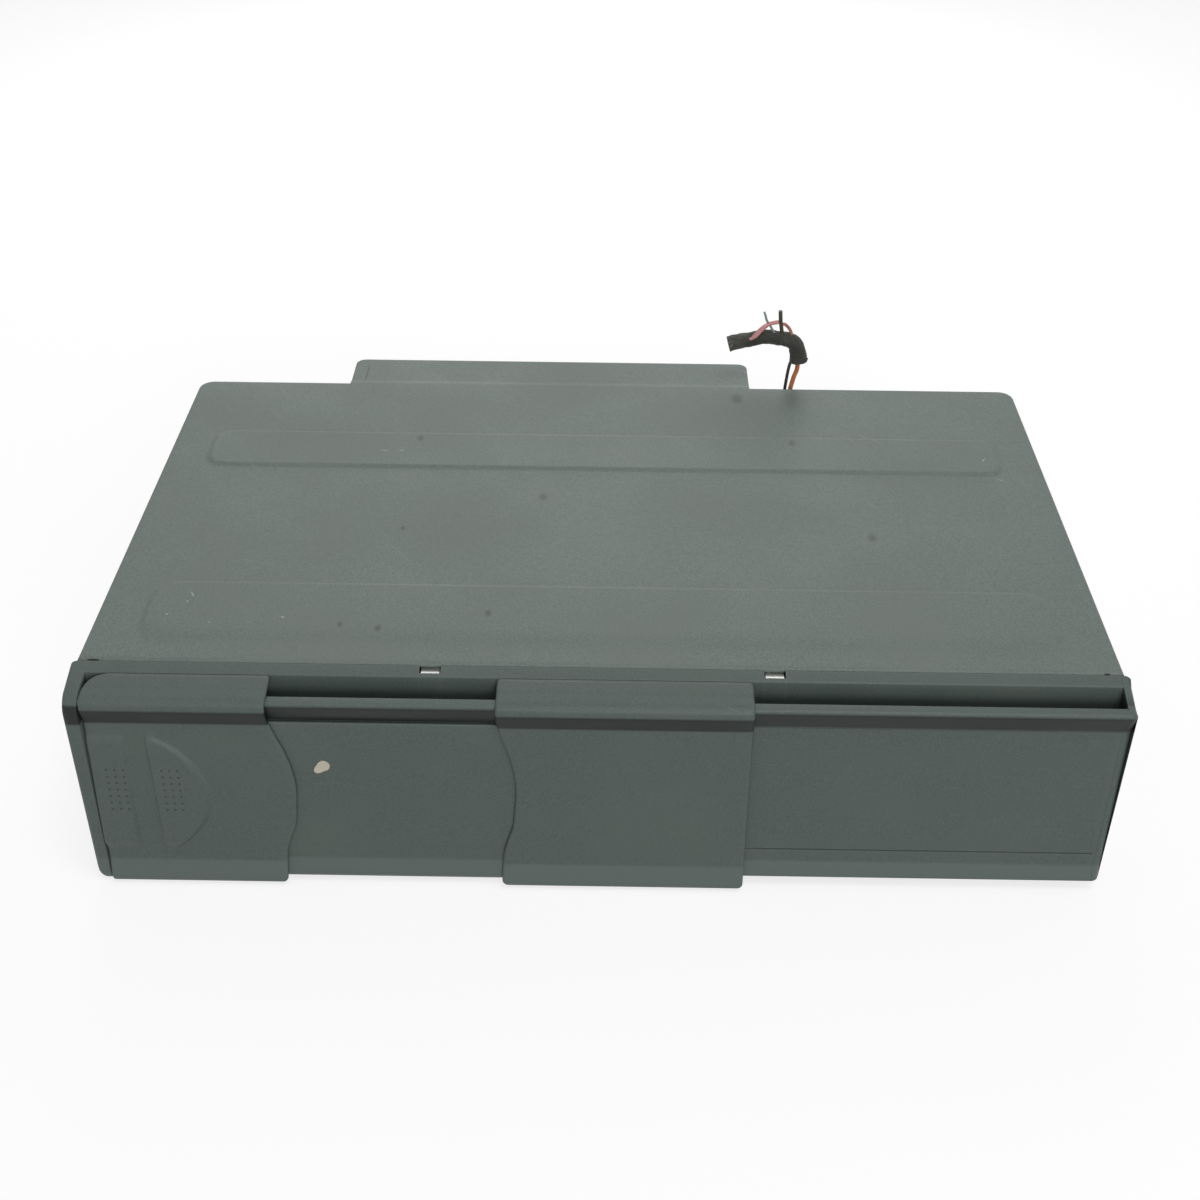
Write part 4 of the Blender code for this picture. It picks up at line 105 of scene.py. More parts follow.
def sweep(name, path, radii, sides, squash=1.0, twist=0.0, ripple=None):
    """A closed tube along a path, with its own UV map: U round it in turns, V along it in metres."""
    mesh = bmesh.new()
    uv_layer = mesh.loops.layers.uv.new("along")
    tangents = []
    for index in range(len(path)):
        tangents.append((path[min(index + 1, len(path) - 1)] - path[max(index - 1, 0)]).normalized())
    side = Vector((0.0, 1.0, 0.0))
    rings = []
    along = [0.0]
    for index, point in enumerate(path):
        tangent = tangents[index]
        side = (side - side.dot(tangent) * tangent).normalized()
        up = tangent.cross(side)
        if index:
            along.append(along[-1] + (point - path[index - 1]).length)
        ring = []
        for step in range(sides):
            angle = math.tau * step / sides + twist * along[-1]
            radius = radii[index]
            if ripple:
                radius *= ripple(step / sides, along[-1])
            across = side * math.cos(angle) * radius * squash
            ring.append(mesh.verts.new(point + across + up * math.sin(angle) * radius))
        rings.append(ring)
    for index in range(len(path) - 1):
        for step in range(sides):
            following = (step + 1) % sides
            near, far = rings[index], rings[index + 1]
            face = mesh.faces.new((near[step], near[following], far[following], far[step]))
            face.smooth = True
            spots = ((step, index), (step + 1, index), (step + 1, index + 1), (step, index + 1))
            for loop, (turn, row) in zip(face.loops, spots):
                loop[uv_layer].uv = (turn / sides, along[row])
    mesh.faces.new(rings[0])
    mesh.faces.new(rings[-1])
    bmesh.ops.recalc_face_normals(mesh, faces=mesh.faces)
    return add_object(name, plain_mesh(name, mesh))


def new_material(name, colour, roughness, metallic=0.0):
    """A material whose Principled shader carries the finish's plain values, with its tree and shader."""
    material = bpy.data.materials.new(name)
    material.use_nodes = True
    tree = material.node_tree
    shader = tree.nodes["Principled BSDF"]
    shader.inputs["Base Color"].default_value = (*colour, 1.0)
    shader.inputs["Roughness"].default_value = roughness
    shader.inputs["Metallic"].default_value = metallic
    return material, tree, shader


def add_node(tree, kind, settings=None, **links):
    """A node with its settings, and links or values for its inputs by name."""
    node = tree.nodes.new(kind)
    for key, value in (settings or {}).items():
        setattr(node, key, value)
    for key, value in links.items():
        numbered = key[0] == "i" and key[1:].isdigit()
        socket = node.inputs[int(key[1:]) if numbered else key.replace("_", " ")]
        if hasattr(value, "is_linked"):
            tree.links.new(value, socket)
        else:
            socket.default_value = value
    return node


def calculate(tree, operation, *values):
    """A math node's result."""
    node = tree.nodes.new("ShaderNodeMath")
    node.operation = operation
    for value, socket in zip(values, node.inputs):
        if hasattr(value, "is_linked"):
            tree.links.new(value, socket)
        else:
            socket.default_value = value
    return node.outputs[0]


def group_tree(name, inputs, outputs):
    """An empty shader node group with named inputs and outputs."""
    tree = bpy.data.node_groups.new(name, "ShaderNodeTree")
    for label, kind, value in inputs:
        socket = tree.interface.new_socket(label, in_out="INPUT", socket_type=kind)
        if value is not None:
            socket.default_value = value
    for label, kind in outputs:
        tree.interface.new_socket(label, in_out="OUTPUT", socket_type=kind)
    return tree, tree.nodes.new("NodeGroupInput"), tree.nodes.new("NodeGroupOutput")


def build_grain_group():
    """Fine sandy grain: a height for bump, a light and dark mottling, and a slow patchiness."""
    tree, inside, outside = group_tree(
        "sandy_grain",
        [("Grain Size", "NodeSocketFloat", 0.0004), ("Patch Size", "NodeSocketFloat", 0.03)],
        [("Height", "NodeSocketFloat"), ("Mottle", "NodeSocketFloat"), ("Patches", "NodeSocketFloat")],
    )
    place = add_node(tree, "ShaderNodeTexCoord")
    fine = calculate(tree, "DIVIDE", 1.0, inside.outputs["Grain Size"])
    slow = calculate(tree, "DIVIDE", 1.0, inside.outputs["Patch Size"])
    grain = add_node(
        tree, "ShaderNodeTexNoise", None, Vector=place.outputs["Object"], Scale=fine, Detail=2.0,
        Roughness=0.6,
    )
    patches = add_node(
        tree, "ShaderNodeTexNoise", None, Vector=place.outputs["Object"], Scale=slow, Detail=4.0,
        Roughness=0.55,
    )
    tree.links.new(grain.outputs["Fac"], outside.inputs["Height"])
    tree.links.new(grain.outputs["Fac"], outside.inputs["Mottle"])
    tree.links.new(patches.outputs["Fac"], outside.inputs["Patches"])
    return tree


sandy_grain = build_grain_group()


def build_weave_group():
    """Plain cloth weave from a UV map: height of the threads and a mask of the ones on top."""
    tree, inside, outside = group_tree(
        "cloth_weave",
        [("Threads Round", "NodeSocketFloat", 24.0), ("Threads Along", "NodeSocketFloat", 1800.0)],
        [("Height", "NodeSocketFloat"), ("Thread", "NodeSocketFloat")],
    )
    place = add_node(tree, "ShaderNodeUVMap", {"uv_map": "along"})
    parts = add_node(tree, "ShaderNodeSeparateXYZ", None, Vector=place.outputs["UV"])
    round_it = calculate(tree, "MULTIPLY", parts.outputs["X"], inside.outputs["Threads Round"])
    along_it = calculate(tree, "MULTIPLY", parts.outputs["Y"], inside.outputs["Threads Along"])
    first = calculate(tree, "PINGPONG", round_it, 0.5)
    second = calculate(tree, "PINGPONG", along_it, 0.5)
    checker = add_node(tree, "ShaderNodeCombineXYZ", None, X=round_it, Y=along_it)
    check = add_node(
        tree, "ShaderNodeTexChecker", None, Vector=checker.outputs[0], Scale=1.0, Color1=(1, 1, 1, 1),
        Color2=(0, 0, 0, 1),
    )
    height = add_node(
        tree, "ShaderNodeMix", {"data_type": "FLOAT"}, i0=check.outputs["Fac"], i2=first, i3=second,
    )
    tree.links.new(height.outputs[0], outside.inputs["Height"])
    tree.links.new(check.outputs["Fac"], outside.inputs["Thread"])
    return tree


cloth_weave = build_weave_group()


def place_group(tree, group, **values):
    node = tree.nodes.new("ShaderNodeGroup")
    node.node_tree = group
    for key, value in values.items():
        node.inputs[key.replace("_", " ")].default_value = value
    return node


def set_bump(material, height, strength, distance, normal=None):
    tree = material.node_tree
    bump = add_node(tree, "ShaderNodeBump", None, Height=height, Strength=strength, Distance=distance)
    if normal is not None:
        tree.links.new(normal, bump.inputs["Normal"])
    tree.links.new(bump.outputs[0], tree.nodes["Principled BSDF"].inputs["Normal"])
    return bump


def mix_colours(tree, factor, first, second):
    """A colour mix whose factor is a socket, between colours or sockets."""
    node = add_node(tree, "ShaderNodeMix", {"data_type": "RGBA"})
    tree.links.new(factor, node.inputs[0])
    for socket, value in ((node.inputs[6], first), (node.inputs[7], second)):
        if hasattr(value, "is_linked"):
            tree.links.new(value, socket)
        else:
            socket.default_value = (*value, 1.0)
    return node.outputs[2]


def remap(tree, value, low, high, to_low=0.0, to_high=1.0):
    node = add_node(
        tree, "ShaderNodeMapRange", {"interpolation_type": "SMOOTHSTEP"}, Value=value, From_Min=low,
        From_Max=high, To_Min=to_low, To_Max=to_high,
    )
    return node.outputs[0]


def cloth_tape_material():
    material, tree, shader = new_material("cloth_tape", (0.040, 0.042, 0.034), 0.8)
    shader.inputs["Sheen Weight"].default_value = 0.3
    weave = place_group(tree, cloth_weave, Threads_Round=26.0, Threads_Along=1900.0)
    grain = place_group(tree, sandy_grain, Grain_Size=0.0006, Patch_Size=0.006)
    wear_and_painted_light = mix_colours(
        tree, remap(tree, grain.outputs["Patches"], 0.45, 0.7), (0.030, 0.032, 0.025),
        (0.062, 0.064, 0.052),
    )
    place = add_node(tree, "ShaderNodeUVMap", {"uv_map": "along"})
    parts = add_node(tree, "ShaderNodeSeparateXYZ", None, Vector=place.outputs["UV"])
    strokes = add_node(tree, "ShaderNodeTexNoise", {"noise_dimensions": "2D"}, Scale=1.0, Detail=3.0)
    stretch = add_node(
        tree, "ShaderNodeMapping", None, Vector=place.outputs["UV"], Scale=(26.0, 420.0, 1.0),
    )
    tree.links.new(stretch.outputs[0], strokes.inputs["Vector"])
    near_cut = remap(tree, parts.outputs["Y"], 0.020, 0.030)
    pale = calculate(tree, "MULTIPLY", near_cut, remap(tree, strokes.outputs["Fac"], 0.56, 0.64))
    tree.links.new(mix_colours(tree, pale, wear_and_painted_light, (0.16, 0.15, 0.13)), shader.inputs["Base Color"])
    set_bump(material, weave.outputs["Height"], 0.5, 0.0002)
    return material


def wire_material(name, colour, old_colour):
    """Soft wire insulation, a little faded and soiled along its length."""
    material, tree, shader = new_material(name, colour, 0.45)
    grain = place_group(tree, sandy_grain, Grain_Size=0.0005, Patch_Size=0.004)
    faded = mix_colours(tree, remap(tree, grain.outputs["Patches"], 0.4, 0.65), colour, old_colour)
    tree.links.new(faded, shader.inputs["Base Color"])
    set_bump(material, grain.outputs["Height"], 0.15, 0.0001)
    return material


tape = cloth_tape_material()
orange_insulation = wire_material("orange_insulation", (0.62, 0.17, 0.06), (0.66, 0.26, 0.12))
black_insulation = wire_material("black_insulation", (0.02, 0.02, 0.022), (0.06, 0.055, 0.05))
pink_insulation = wire_material("pink_insulation", (0.62, 0.24, 0.25), (0.70, 0.36, 0.36))
red_insulation = wire_material("brown_red_insulation", (0.36, 0.10, 0.06), (0.48, 0.20, 0.13))
grey_insulation = wire_material("grey_insulation", (0.20, 0.26, 0.25), (0.34, 0.38, 0.36))
dark_insulation = wire_material("dark_insulation", (0.030, 0.036, 0.024), (0.09, 0.07, 0.04))

# The sleeve is thickest at the plug's side, thins over its first part and flares a little at the cut.
SLEEVE_RADIUS = 2.75
SLEEVE_TAPER = 0.45
TAPER_SHARE = 0.45
SLEEVE_FLARE = 0.2
FLARE_FROM = 0.75
TAPE_TURN = 4.2 * MM
LONG_FOLD = 9.0 * MM
SHORT_FOLD = 3.1 * MM
SLEEVE_SIDES = 40
SLEEVE_SQUASH = 0.85
WIRE_SIDES = 14
sleeve_path = smooth_path([harness_point(*place) for place in SLEEVE_ROUTE], 8)
sleeve_radii = []
for index in range(len(sleeve_path)):
    share = index / (len(sleeve_path) - 1)
    flare = SLEEVE_FLARE * max(0.0, (share - FLARE_FROM) / (1 - FLARE_FROM))
    radius = SLEEVE_RADIUS - SLEEVE_TAPER * min(1.0, share / TAPER_SHARE) + flare
    sleeve_radii.append(radius * MM)


def sleeve_folds(turn, along):
    """The tape's overlapping turns: a low step once every few millimetres, on a slant, and slack folds."""
    step = (along / TAPE_TURN + turn) % 1.0
    folds = 0.05 * math.sin(math.tau * (3 * turn + along / LONG_FOLD))
    folds += 0.025 * math.sin(math.tau * (7 * turn - along / SHORT_FOLD))
    return 0.97 + 0.05 * (1.0 - step) + folds


sleeve = sweep(
    "harness_sleeve", sleeve_path, sleeve_radii, SLEEVE_SIDES, squash=SLEEVE_SQUASH, ripple=sleeve_folds,
)
sleeve.data.materials.append(tape)


def make_wire(name, places, radius, material, steps=6):
    path = smooth_path([harness_point(*place) for place in places], steps)
    wire = sweep(name, path, [radius * MM] * len(path), WIRE_SIDES)
    wire.data.materials.append(material)
    return wire, path


PLUG_TOP = -26.9
inside_sleeve = ((60.0, 9.6, -0.4), (59.2, 12.2, -0.4), (57.1, 14.1, -0.4), (53.4, 15.0, -0.4))
inside_sleeve += ((49.4, 15.2, -0.4), (46.0, 14.7, -0.4), (42.2, 13.8, -0.4), (38.4, 12.8, -0.4))
orange_places = (
    (58.2, PLUG_TOP, 0.4), (58.3, -22.0, 0.4), (58.1, -13.0, 0.3), (58.4, -5.0, 0.2), (59.3, 1.0, 0.0),
    (60.3, 5.0, -0.2),
) + inside_sleeve
ORANGE_RADIUS = 0.72
orange_wire, orange_path = make_wire("orange_wire", orange_places, ORANGE_RADIUS, orange_insulation)
STRAY_WIRES = (
    ("black_wire", black_insulation, 0.5, (
        (55.6, PLUG_TOP, -0.6), (55.8, -22.0, -0.6), (56.2, -13.0, -0.4), (56.7, -5.0, -0.2),
        (57.2, 1.0, 0.0), (57.8, 5.5, 0.4), (58.8, 9.2, 0.9), (57.4, 12.0, 0.9),
    )),
    ("pink_wire", pink_insulation, 0.62, (
        (45.4, 15.6, -1.2), (46.6, 17.4, -1.6), (48.6, 19.6, -1.6),
        (50.4, 20.4, -1.0), (52.0, 20.6, -0.4), (53.3, 20.7, -0.2),
    )),
    ("second_pink_wire", pink_insulation, 0.5, (
        (44.6, 15.4, -1.6), (46.2, 16.6, -2.2), (48.2, 18.8, -2.0), (49.6, 19.8, -1.2), (50.6, 20.5, -0.8),
    )),
    ("brown_red_wire", red_insulation, 0.5, (
        (57.6, 15.6, -0.2), (57.5, 17.2, -0.3), (56.6, 18.9, -0.4), (55.3, 20.1, -0.4), (54.4, 20.0, -0.2),
    )),
    ("grey_wire", grey_insulation, 0.36, (
        (52.4, 16.8, -0.6), (51.0, 19.4, -1.0), (49.6, 21.6, -1.2), (49.0, 23.4, -1.0), (48.6, 24.4, -0.8),
    )),
    ("dark_wire", dark_insulation, 0.62, (
        (55.0, 15.6, 0.0), (54.4, 18.4, -0.6), (53.9, 21.4, -0.8), (53.7, 23.4, -0.8), (53.6, 24.8, -0.8),
    )),
    ("tape_tag", tape, 0.85, ((61.2, 8.6, -0.4), (62.3, 8.2, -0.5), (63.1, 7.9, -0.6))),
)
stray_pieces = [make_wire(name, places, radius, finish)[0] for name, finish, radius, places in STRAY_WIRES]
for piece in [orange_wire, sleeve] + stray_pieces:
    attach(piece, "case")
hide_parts("harness_bundle")
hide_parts("harness_wires")

# The top cover: a lid pressed from thin steel sheet and painted a grey-green satin. Two low panels are
# stamped up in it to stiffen it, its sides and rear fold down, and a tongue runs on over the rear housing.
COVER_HALF = 127.5 * MM
COVER_DEPTH = 145.5 * MM
COVER_SHEET = 0.8 * MM
FOLD_RADIUS = 0.8 * MM
PLAN_CORNER = 3.5 * MM
SIDE_FOLD = 20.0 * MM
REAR_FOLD = 8.0 * MM
TONGUE_START = -80.5 * MM
TONGUE_END = 45.25 * MM
TONGUE_RUN = 17.0 * MM
TONGUE_FALL = 0.5 * MM
TONGUE_CORNER = 3.0 * MM
PANEL_RISE = 0.6 * MM
PANEL_SLOPE = 1.7 * MM
GRID_STEP = 1.7 * MM
FINE_REACH = 1.4 * MM
FINE_STEP = 0.35 * MM
LEAST_GAP = 0.12 * MM
SKIRT_BLEND = 1.2 * MM
PANELS = (
    (-115.3 * MM, 115.3 * MM, CREASE_Y + 10.0 * MM, CREASE_Y + 33.6 * MM, 7.0 * MM, 7.0 * MM),
    (-115.6 * MM, 115.6 * MM, CREASE_Y + 93.7 * MM, CREASE_Y + 113.3 * MM, 5.0 * MM, 1.7 * MM),
)


def panel_height(x, y):
    """How far the stamped panels stand up at a point of the cover."""
    height = 0.0
    for left, right, near, far, corner, soft_front in PANELS:
        middle_x = (left + right) / 2
        middle_y = (near + far) / 2
        across = abs(x - middle_x) - ((right - left) / 2 - corner)
        along = abs(y - middle_y) - ((far - near) / 2 - corner)
        distance = math.hypot(max(across, 0.0), max(along, 0.0)) + min(max(across, along), 0.0) - corner
        width = PANEL_SLOPE
        if y < middle_y and along > across:
            width = soft_front
        t = min(1.0, max(0.0, 0.5 - distance / width))
        height = max(height, PANEL_RISE * t * t * (3 - 2 * t))
    return height


def fine_steps(low, high, step, places, reach, fine):
    """Ordered places from low to high: coarse in general, fine near the given places."""
    found = {round(low, 7), round(high, 7)}
    count = round((high - low) / step)
    for index in range(1, count):
        found.add(round(low + (high - low) * index / count, 7))
    for place in places:
        count = round(2 * reach / fine)
        for index in range(count + 1):
            value = place - reach + fine * index
            if low < value < high:
                found.add(round(value, 7))
    firm = {round(place, 7) for place in list(places) + [low, high] if low <= place <= high}
    ordered = sorted(found | firm)
    kept = []
    for value in ordered:
        near_firm = any(0 < abs(value - place) < LEAST_GAP for place in firm)
        if value in firm or not near_firm and (not kept or value - kept[-1] > LEAST_GAP):
            kept.append(value)
    return kept


def round_corner(u, v):
    """Maps a unit square's outer corner to a round one."""
    return u * math.sqrt(1 - v * v / 2), v * math.sqrt(1 - u * u / 2)


def make_cover():
    """The pressed lid: a fine grid for the top, folds that run down from its edges, and the tongue."""
    left = -COVER_HALF + FOLD_RADIUS
    right = COVER_HALF - FOLD_RADIUS
    near = CREASE_Y
    far = CREASE_Y + COVER_DEPTH - FOLD_RADIUS
    x_places = [value for panel in PANELS for value in panel[:2]]
    y_places = [value for panel in PANELS for value in panel[2:4]]
    x_places += [TONGUE_START, TONGUE_END]
    columns = fine_steps(left, right, GRID_STEP, x_places, FINE_REACH, FINE_STEP)
    rows = fine_steps(near, far, GRID_STEP, y_places, FINE_REACH, FINE_STEP)
    mesh = bmesh.new()
    corner = PLAN_CORNER
    grid = []
    for y in rows:
        line = []
        for x in columns:
            here = [x, y]
            u = max(0.0, (abs(x) - (right - corner)) / corner)
            v = max(0.0, (y - (far - corner)) / corner)
            if u and v:
                u, v = round_corner(min(u, 1.0), min(v, 1.0))
                here = [math.copysign(right - corner + u * corner, x), far - corner + v * corner]
            line.append(mesh.verts.new((here[0], here[1], TOP_Z + panel_height(x, y))))
        grid.append(line)
    for front_line, rear_line in zip(grid, grid[1:]):
        for column in range(len(columns) - 1):
            following = column + 1
            near_pair = (front_line[column], front_line[following])
            mesh.faces.new(near_pair + (rear_line[following], rear_line[column]))
    edge = [grid[row][0] for row in range(len(rows))]
    edge += grid[-1][1:]
    edge += [grid[row][-1] for row in range(len(rows) - 2, -1, -1)]
    places = [vertex.co.copy() for vertex in edge]
    outward = []
    for index, place in enumerate(places):
        before = places[max(index - 1, 0)]
        after = places[min(index + 1, len(places) - 1)]
        along = (after - before).normalized()
        outward.append(Vector((-along.y, along.x, 0.0)))
    drops = []
    for step in range(1, 7):
        angle = math.radians(15 * step)
        drops.append((FOLD_RADIUS * math.sin(angle), FOLD_RADIUS * (1 - math.cos(angle))))

    def edge_index(x):
        """Which point of the rear edge lies at an x."""
        return next(i for i, p in enumerate(places) if abs(p.x - x) < 1e-5 and abs(p.y - far) < 1e-6)

    start_index = edge_index(TONGUE_START)
    end_index = edge_index(TONGUE_END)

    def fold(first, last):
        rings = [edge[first:last + 1]]
        for reach, drop in drops:
            ring = []
            for index in range(first, last + 1):
                point = places[index] + outward[index] * reach
                ring.append(mesh.verts.new((point.x, point.y, TOP_Z - drop)))
            rings.append(ring)
        for share in (0.12, 0.3, 0.55, 1.0):
            ring = []
            for index in range(first, last + 1):
                point = places[index] + outward[index] * FOLD_RADIUS
                side_share = min(1.0, max(0.0, (far - SKIRT_BLEND - places[index].y) / SKIRT_BLEND))
                depth = REAR_FOLD + (SIDE_FOLD - REAR_FOLD) * side_share
                z = TOP_Z - FOLD_RADIUS - (depth - FOLD_RADIUS) * share
                ring.append(mesh.verts.new((point.x, point.y, z)))
            rings.append(ring)
        for upper, lower in zip(rings, rings[1:]):
            for index in range(len(upper) - 1):
                mesh.faces.new((upper[index], upper[index + 1], lower[index + 1], lower[index]))

    fold(0, start_index)
    fold(end_index, len(edge) - 1)
    tongue_rows = [(0.6, 0.0), (1.4, 0.10), (2.2, 0.5), (3.0, 0.90), (3.8, 1.0)]
    tongue_rows += [(3.8 + 1.2 * step, 1.0) for step in range(1, 12)]
    end_y = (TONGUE_RUN + FOLD_RADIUS) / MM
    tongue_rows = [row for row in tongue_rows if row[0] < end_y - 0.2] + [(end_y, 1.0)]
    base = edge[start_index:end_index + 1]
    base_x = [vertex.co.x for vertex in base]
    previous = base
    for out, fall in tongue_rows:
        line = []
        for x in base_x:
            y = far + out * MM
            u_left = max(0.0, (TONGUE_START + TONGUE_CORNER - x) / TONGUE_CORNER)
            u_right = max(0.0, (x - (TONGUE_END - TONGUE_CORNER)) / TONGUE_CORNER)
            u = max(u_left, u_right)
            v = max(0.0, (y - (far + TONGUE_RUN + FOLD_RADIUS - TONGUE_CORNER)) / TONGUE_CORNER)
            if u and v:
                round_u, round_v = round_corner(min(u, 1.0), min(v, 1.0))
                y = far + TONGUE_RUN + FOLD_RADIUS - TONGUE_CORNER + round_v * TONGUE_CORNER
                if u_left:
                    x = TONGUE_START + TONGUE_CORNER - round_u * TONGUE_CORNER
                else:
                    x = TONGUE_END - TONGUE_CORNER + round_u * TONGUE_CORNER
            line.append(mesh.verts.new((x, y, TOP_Z - TONGUE_FALL * fall)))
        for index in range(len(line) - 1):
            mesh.faces.new((previous[index], previous[index + 1], line[index + 1], line[index]))
        previous = line
    bmesh.ops.recalc_face_normals(mesh, faces=mesh.faces)
    top_face = max(mesh.faces, key=lambda face: face.calc_center_median().z)
    if top_face.normal.z < 0:
        bmesh.ops.reverse_faces(mesh, faces=mesh.faces)
    for face in mesh.faces:
        face.smooth = True
    made = add_object("cover_lid", plain_mesh("cover_lid", mesh))
    sheet = made.modifiers.new("sheet", "SOLIDIFY")
    sheet.thickness = COVER_SHEET
    sheet.offset = -1.0
    sheet.use_even_offset = True
    return made


def build_mark_group():
    """A soft oval mark on a flat surface seen from above: one where it lies, zero elsewhere."""
    tree, inside, outside = group_tree(
        "oval_mark",
        [
            ("Centre", "NodeSocketVector", None), ("Turn", "NodeSocketFloat", 0.0),
            ("Length", "NodeSocketFloat", 0.002), ("Width", "NodeSocketFloat", 0.002),
            ("Softness", "NodeSocketFloat", 0.5),
        ],
        [("Mask", "NodeSocketFloat")],
    )
    place = add_node(tree, "ShaderNodeTexCoord")
    offset = add_node(
        tree, "ShaderNodeVectorMath", {"operation": "SUBTRACT"}, i0=place.outputs["Object"],
        i1=inside.outputs["Centre"],
    )
    turned = add_node(
        tree, "ShaderNodeVectorRotate", {"rotation_type": "Z_AXIS"}, Vector=offset.outputs[0],
        Angle=inside.outputs["Turn"],
    )
    half_length = calculate(tree, "MULTIPLY", inside.outputs["Length"], 0.5)
    half_width = calculate(tree, "MULTIPLY", inside.outputs["Width"], 0.5)
    size = add_node(tree, "ShaderNodeCombineXYZ", None, X=half_length, Y=half_width, Z=half_width)
    scaled = add_node(
        tree, "ShaderNodeVectorMath", {"operation": "DIVIDE"}, i0=turned.outputs[0], i1=size.outputs[0],
    )
    far = add_node(tree, "ShaderNodeVectorMath", {"operation": "LENGTH"}, i0=scaled.outputs[0])
    edge = calculate(tree, "SUBTRACT", 1.0, inside.outputs["Softness"])
    mask = add_node(
        tree, "ShaderNodeMapRange", {"interpolation_type": "SMOOTHSTEP"}, Value=far.outputs["Value"],
        From_Min=edge, From_Max=1.0, To_Min=1.0, To_Max=0.0,
    )
    tree.links.new(mask.outputs[0], outside.inputs["Mask"])
    return tree


oval_mark = build_mark_group()


def build_edge_group():
    """Where a surface turns over an edge: one on the edge itself, zero on flat ground."""
    tree, inside, outside = group_tree(
        "edge_rub_and_highlight", [("Reach", "NodeSocketFloat", 0.0006)], [("Mask", "NodeSocketFloat")],
    )
    soft = add_node(tree, "ShaderNodeBevel", {"samples": 6})
    tree.links.new(inside.outputs["Reach"], soft.inputs["Radius"])
    flat = add_node(tree, "ShaderNodeNewGeometry")
    likeness = add_node(
        tree, "ShaderNodeVectorMath", {"operation": "DOT_PRODUCT"}, i0=soft.outputs[0],
        i1=flat.outputs["Normal"],
    )
    mask = add_node(
        tree, "ShaderNodeMapRange", None, Value=likeness.outputs["Value"], From_Min=0.995, From_Max=0.93,
        To_Min=0.0, To_Max=1.0,
    )
    tree.links.new(mask.outputs[0], outside.inputs["Mask"])
    return tree


edge_rub_and_highlight = build_edge_group()


def build_hair_group():
    """Fine hairline scratches from handling: long thin streaks at a slant, few and broken."""
    tree, inside, outside = group_tree(
        "hair_scratches",
        [
            ("Turn", "NodeSocketFloat", 0.6), ("Length", "NodeSocketFloat", 0.03),
            ("Amount", "NodeSocketFloat", 0.7),
        ],
        [("Mask", "NodeSocketFloat")],
    )
    place = add_node(tree, "ShaderNodeTexCoord")
    turned = add_node(
        tree, "ShaderNodeVectorRotate", {"rotation_type": "Z_AXIS"}, Vector=place.outputs["Object"],
        Angle=inside.outputs["Turn"],
    )
    parts = add_node(tree, "ShaderNodeSeparateXYZ", None, Vector=turned.outputs[0])
    along = calculate(tree, "DIVIDE", parts.outputs["X"], inside.outputs["Length"])
    across = calculate(tree, "MULTIPLY", parts.outputs["Y"], 1500.0)
    squeezed = add_node(tree, "ShaderNodeCombineXYZ", None, X=along, Y=across)
    streaks = add_node(tree, "ShaderNodeTexNoise", None, Vector=squeezed.outputs[0], Scale=1.0, Detail=1.0)
    high = calculate(tree, "ADD", inside.outputs["Amount"], 0.06)
    mask = add_node(
        tree, "ShaderNodeMapRange", {"interpolation_type": "SMOOTHSTEP"}, Value=streaks.outputs["Fac"],
        From_Min=inside.outputs["Amount"], From_Max=high,
    )
    facing = add_node(tree, "ShaderNodeNewGeometry")
    lift = add_node(tree, "ShaderNodeSeparateXYZ", None, Vector=facing.outputs["Normal"])
    upward = remap(tree, lift.outputs["Z"], 0.5, 0.9)
    kept = calculate(tree, "MULTIPLY", mask.outputs[0], upward)
    tree.links.new(kept, outside.inputs["Mask"])
    return tree


hair_scratches = build_hair_group()


def add_marks(tree, colour, marks, mark_colour, strength):
    """Lays oval marks over a colour.

    A mark is x, y, length, width, turn, softness and z, in millimetres and degrees.
    """
    for x, y, length, width, turn, softness, z in marks:
        mark = place_group(
            tree, oval_mark, Centre=(x * MM, y * MM, z * MM), Turn=math.radians(turn), Length=length * MM,
            Width=width * MM, Softness=softness,
        )
        faint = calculate(tree, "MULTIPLY", mark.outputs["Mask"], strength)
        colour = mix_colours(tree, faint, colour, mark_colour)
    return colour


SPOTS_AND_FOLD_SHADE = (
    (40.9, 64.7, 5.0, 8.5, 0, 0.8, 60.3),
    (-17.0, 5.0, 3.2, 5.4, 0, 0.7, 60.3),
    (73.4, -13.9, 3.4, 5.8, 0, 0.8, 60.3),
    (-28.6, -52.3, 2.6, 4.4, 0, 0.8, 60.6),
    (-55.7, -59.4, 2.4, 4.1, 0, 0.8, 60.6),
    (55.7, 36.4, 3.4, 5.8, 0, 0.9, 60.9),
    (-54.7, 36.3, 3.0, 5.1, 0, 0.9, 60.9),
    (-54.7, -12.2, 2.0, 3.4, 0, 0.9, 60.3),
    (-65.4, -58.0, 2.2, 3.7, 0, 0.9, 60.6),
    # Painted shade: this long thin dark mark on the tongue, in from its left edge, stands for the shade of a
    # fold line.
    (-76.2, 80.0, 0.7, 15.0, 0, 0.5, 59.8),
)
# Painted shade: two near-black marks at the ends of the crease stand for the shade in small notches at the
# cover's front corners.
CREASE_NOTCH_SHADES = ((-123.4, -73.3, 3.6, 0.9, 0, 0.3, 60.3), (123.2, -73.3, 1.8, 0.9, 0, 0.3, 60.3))
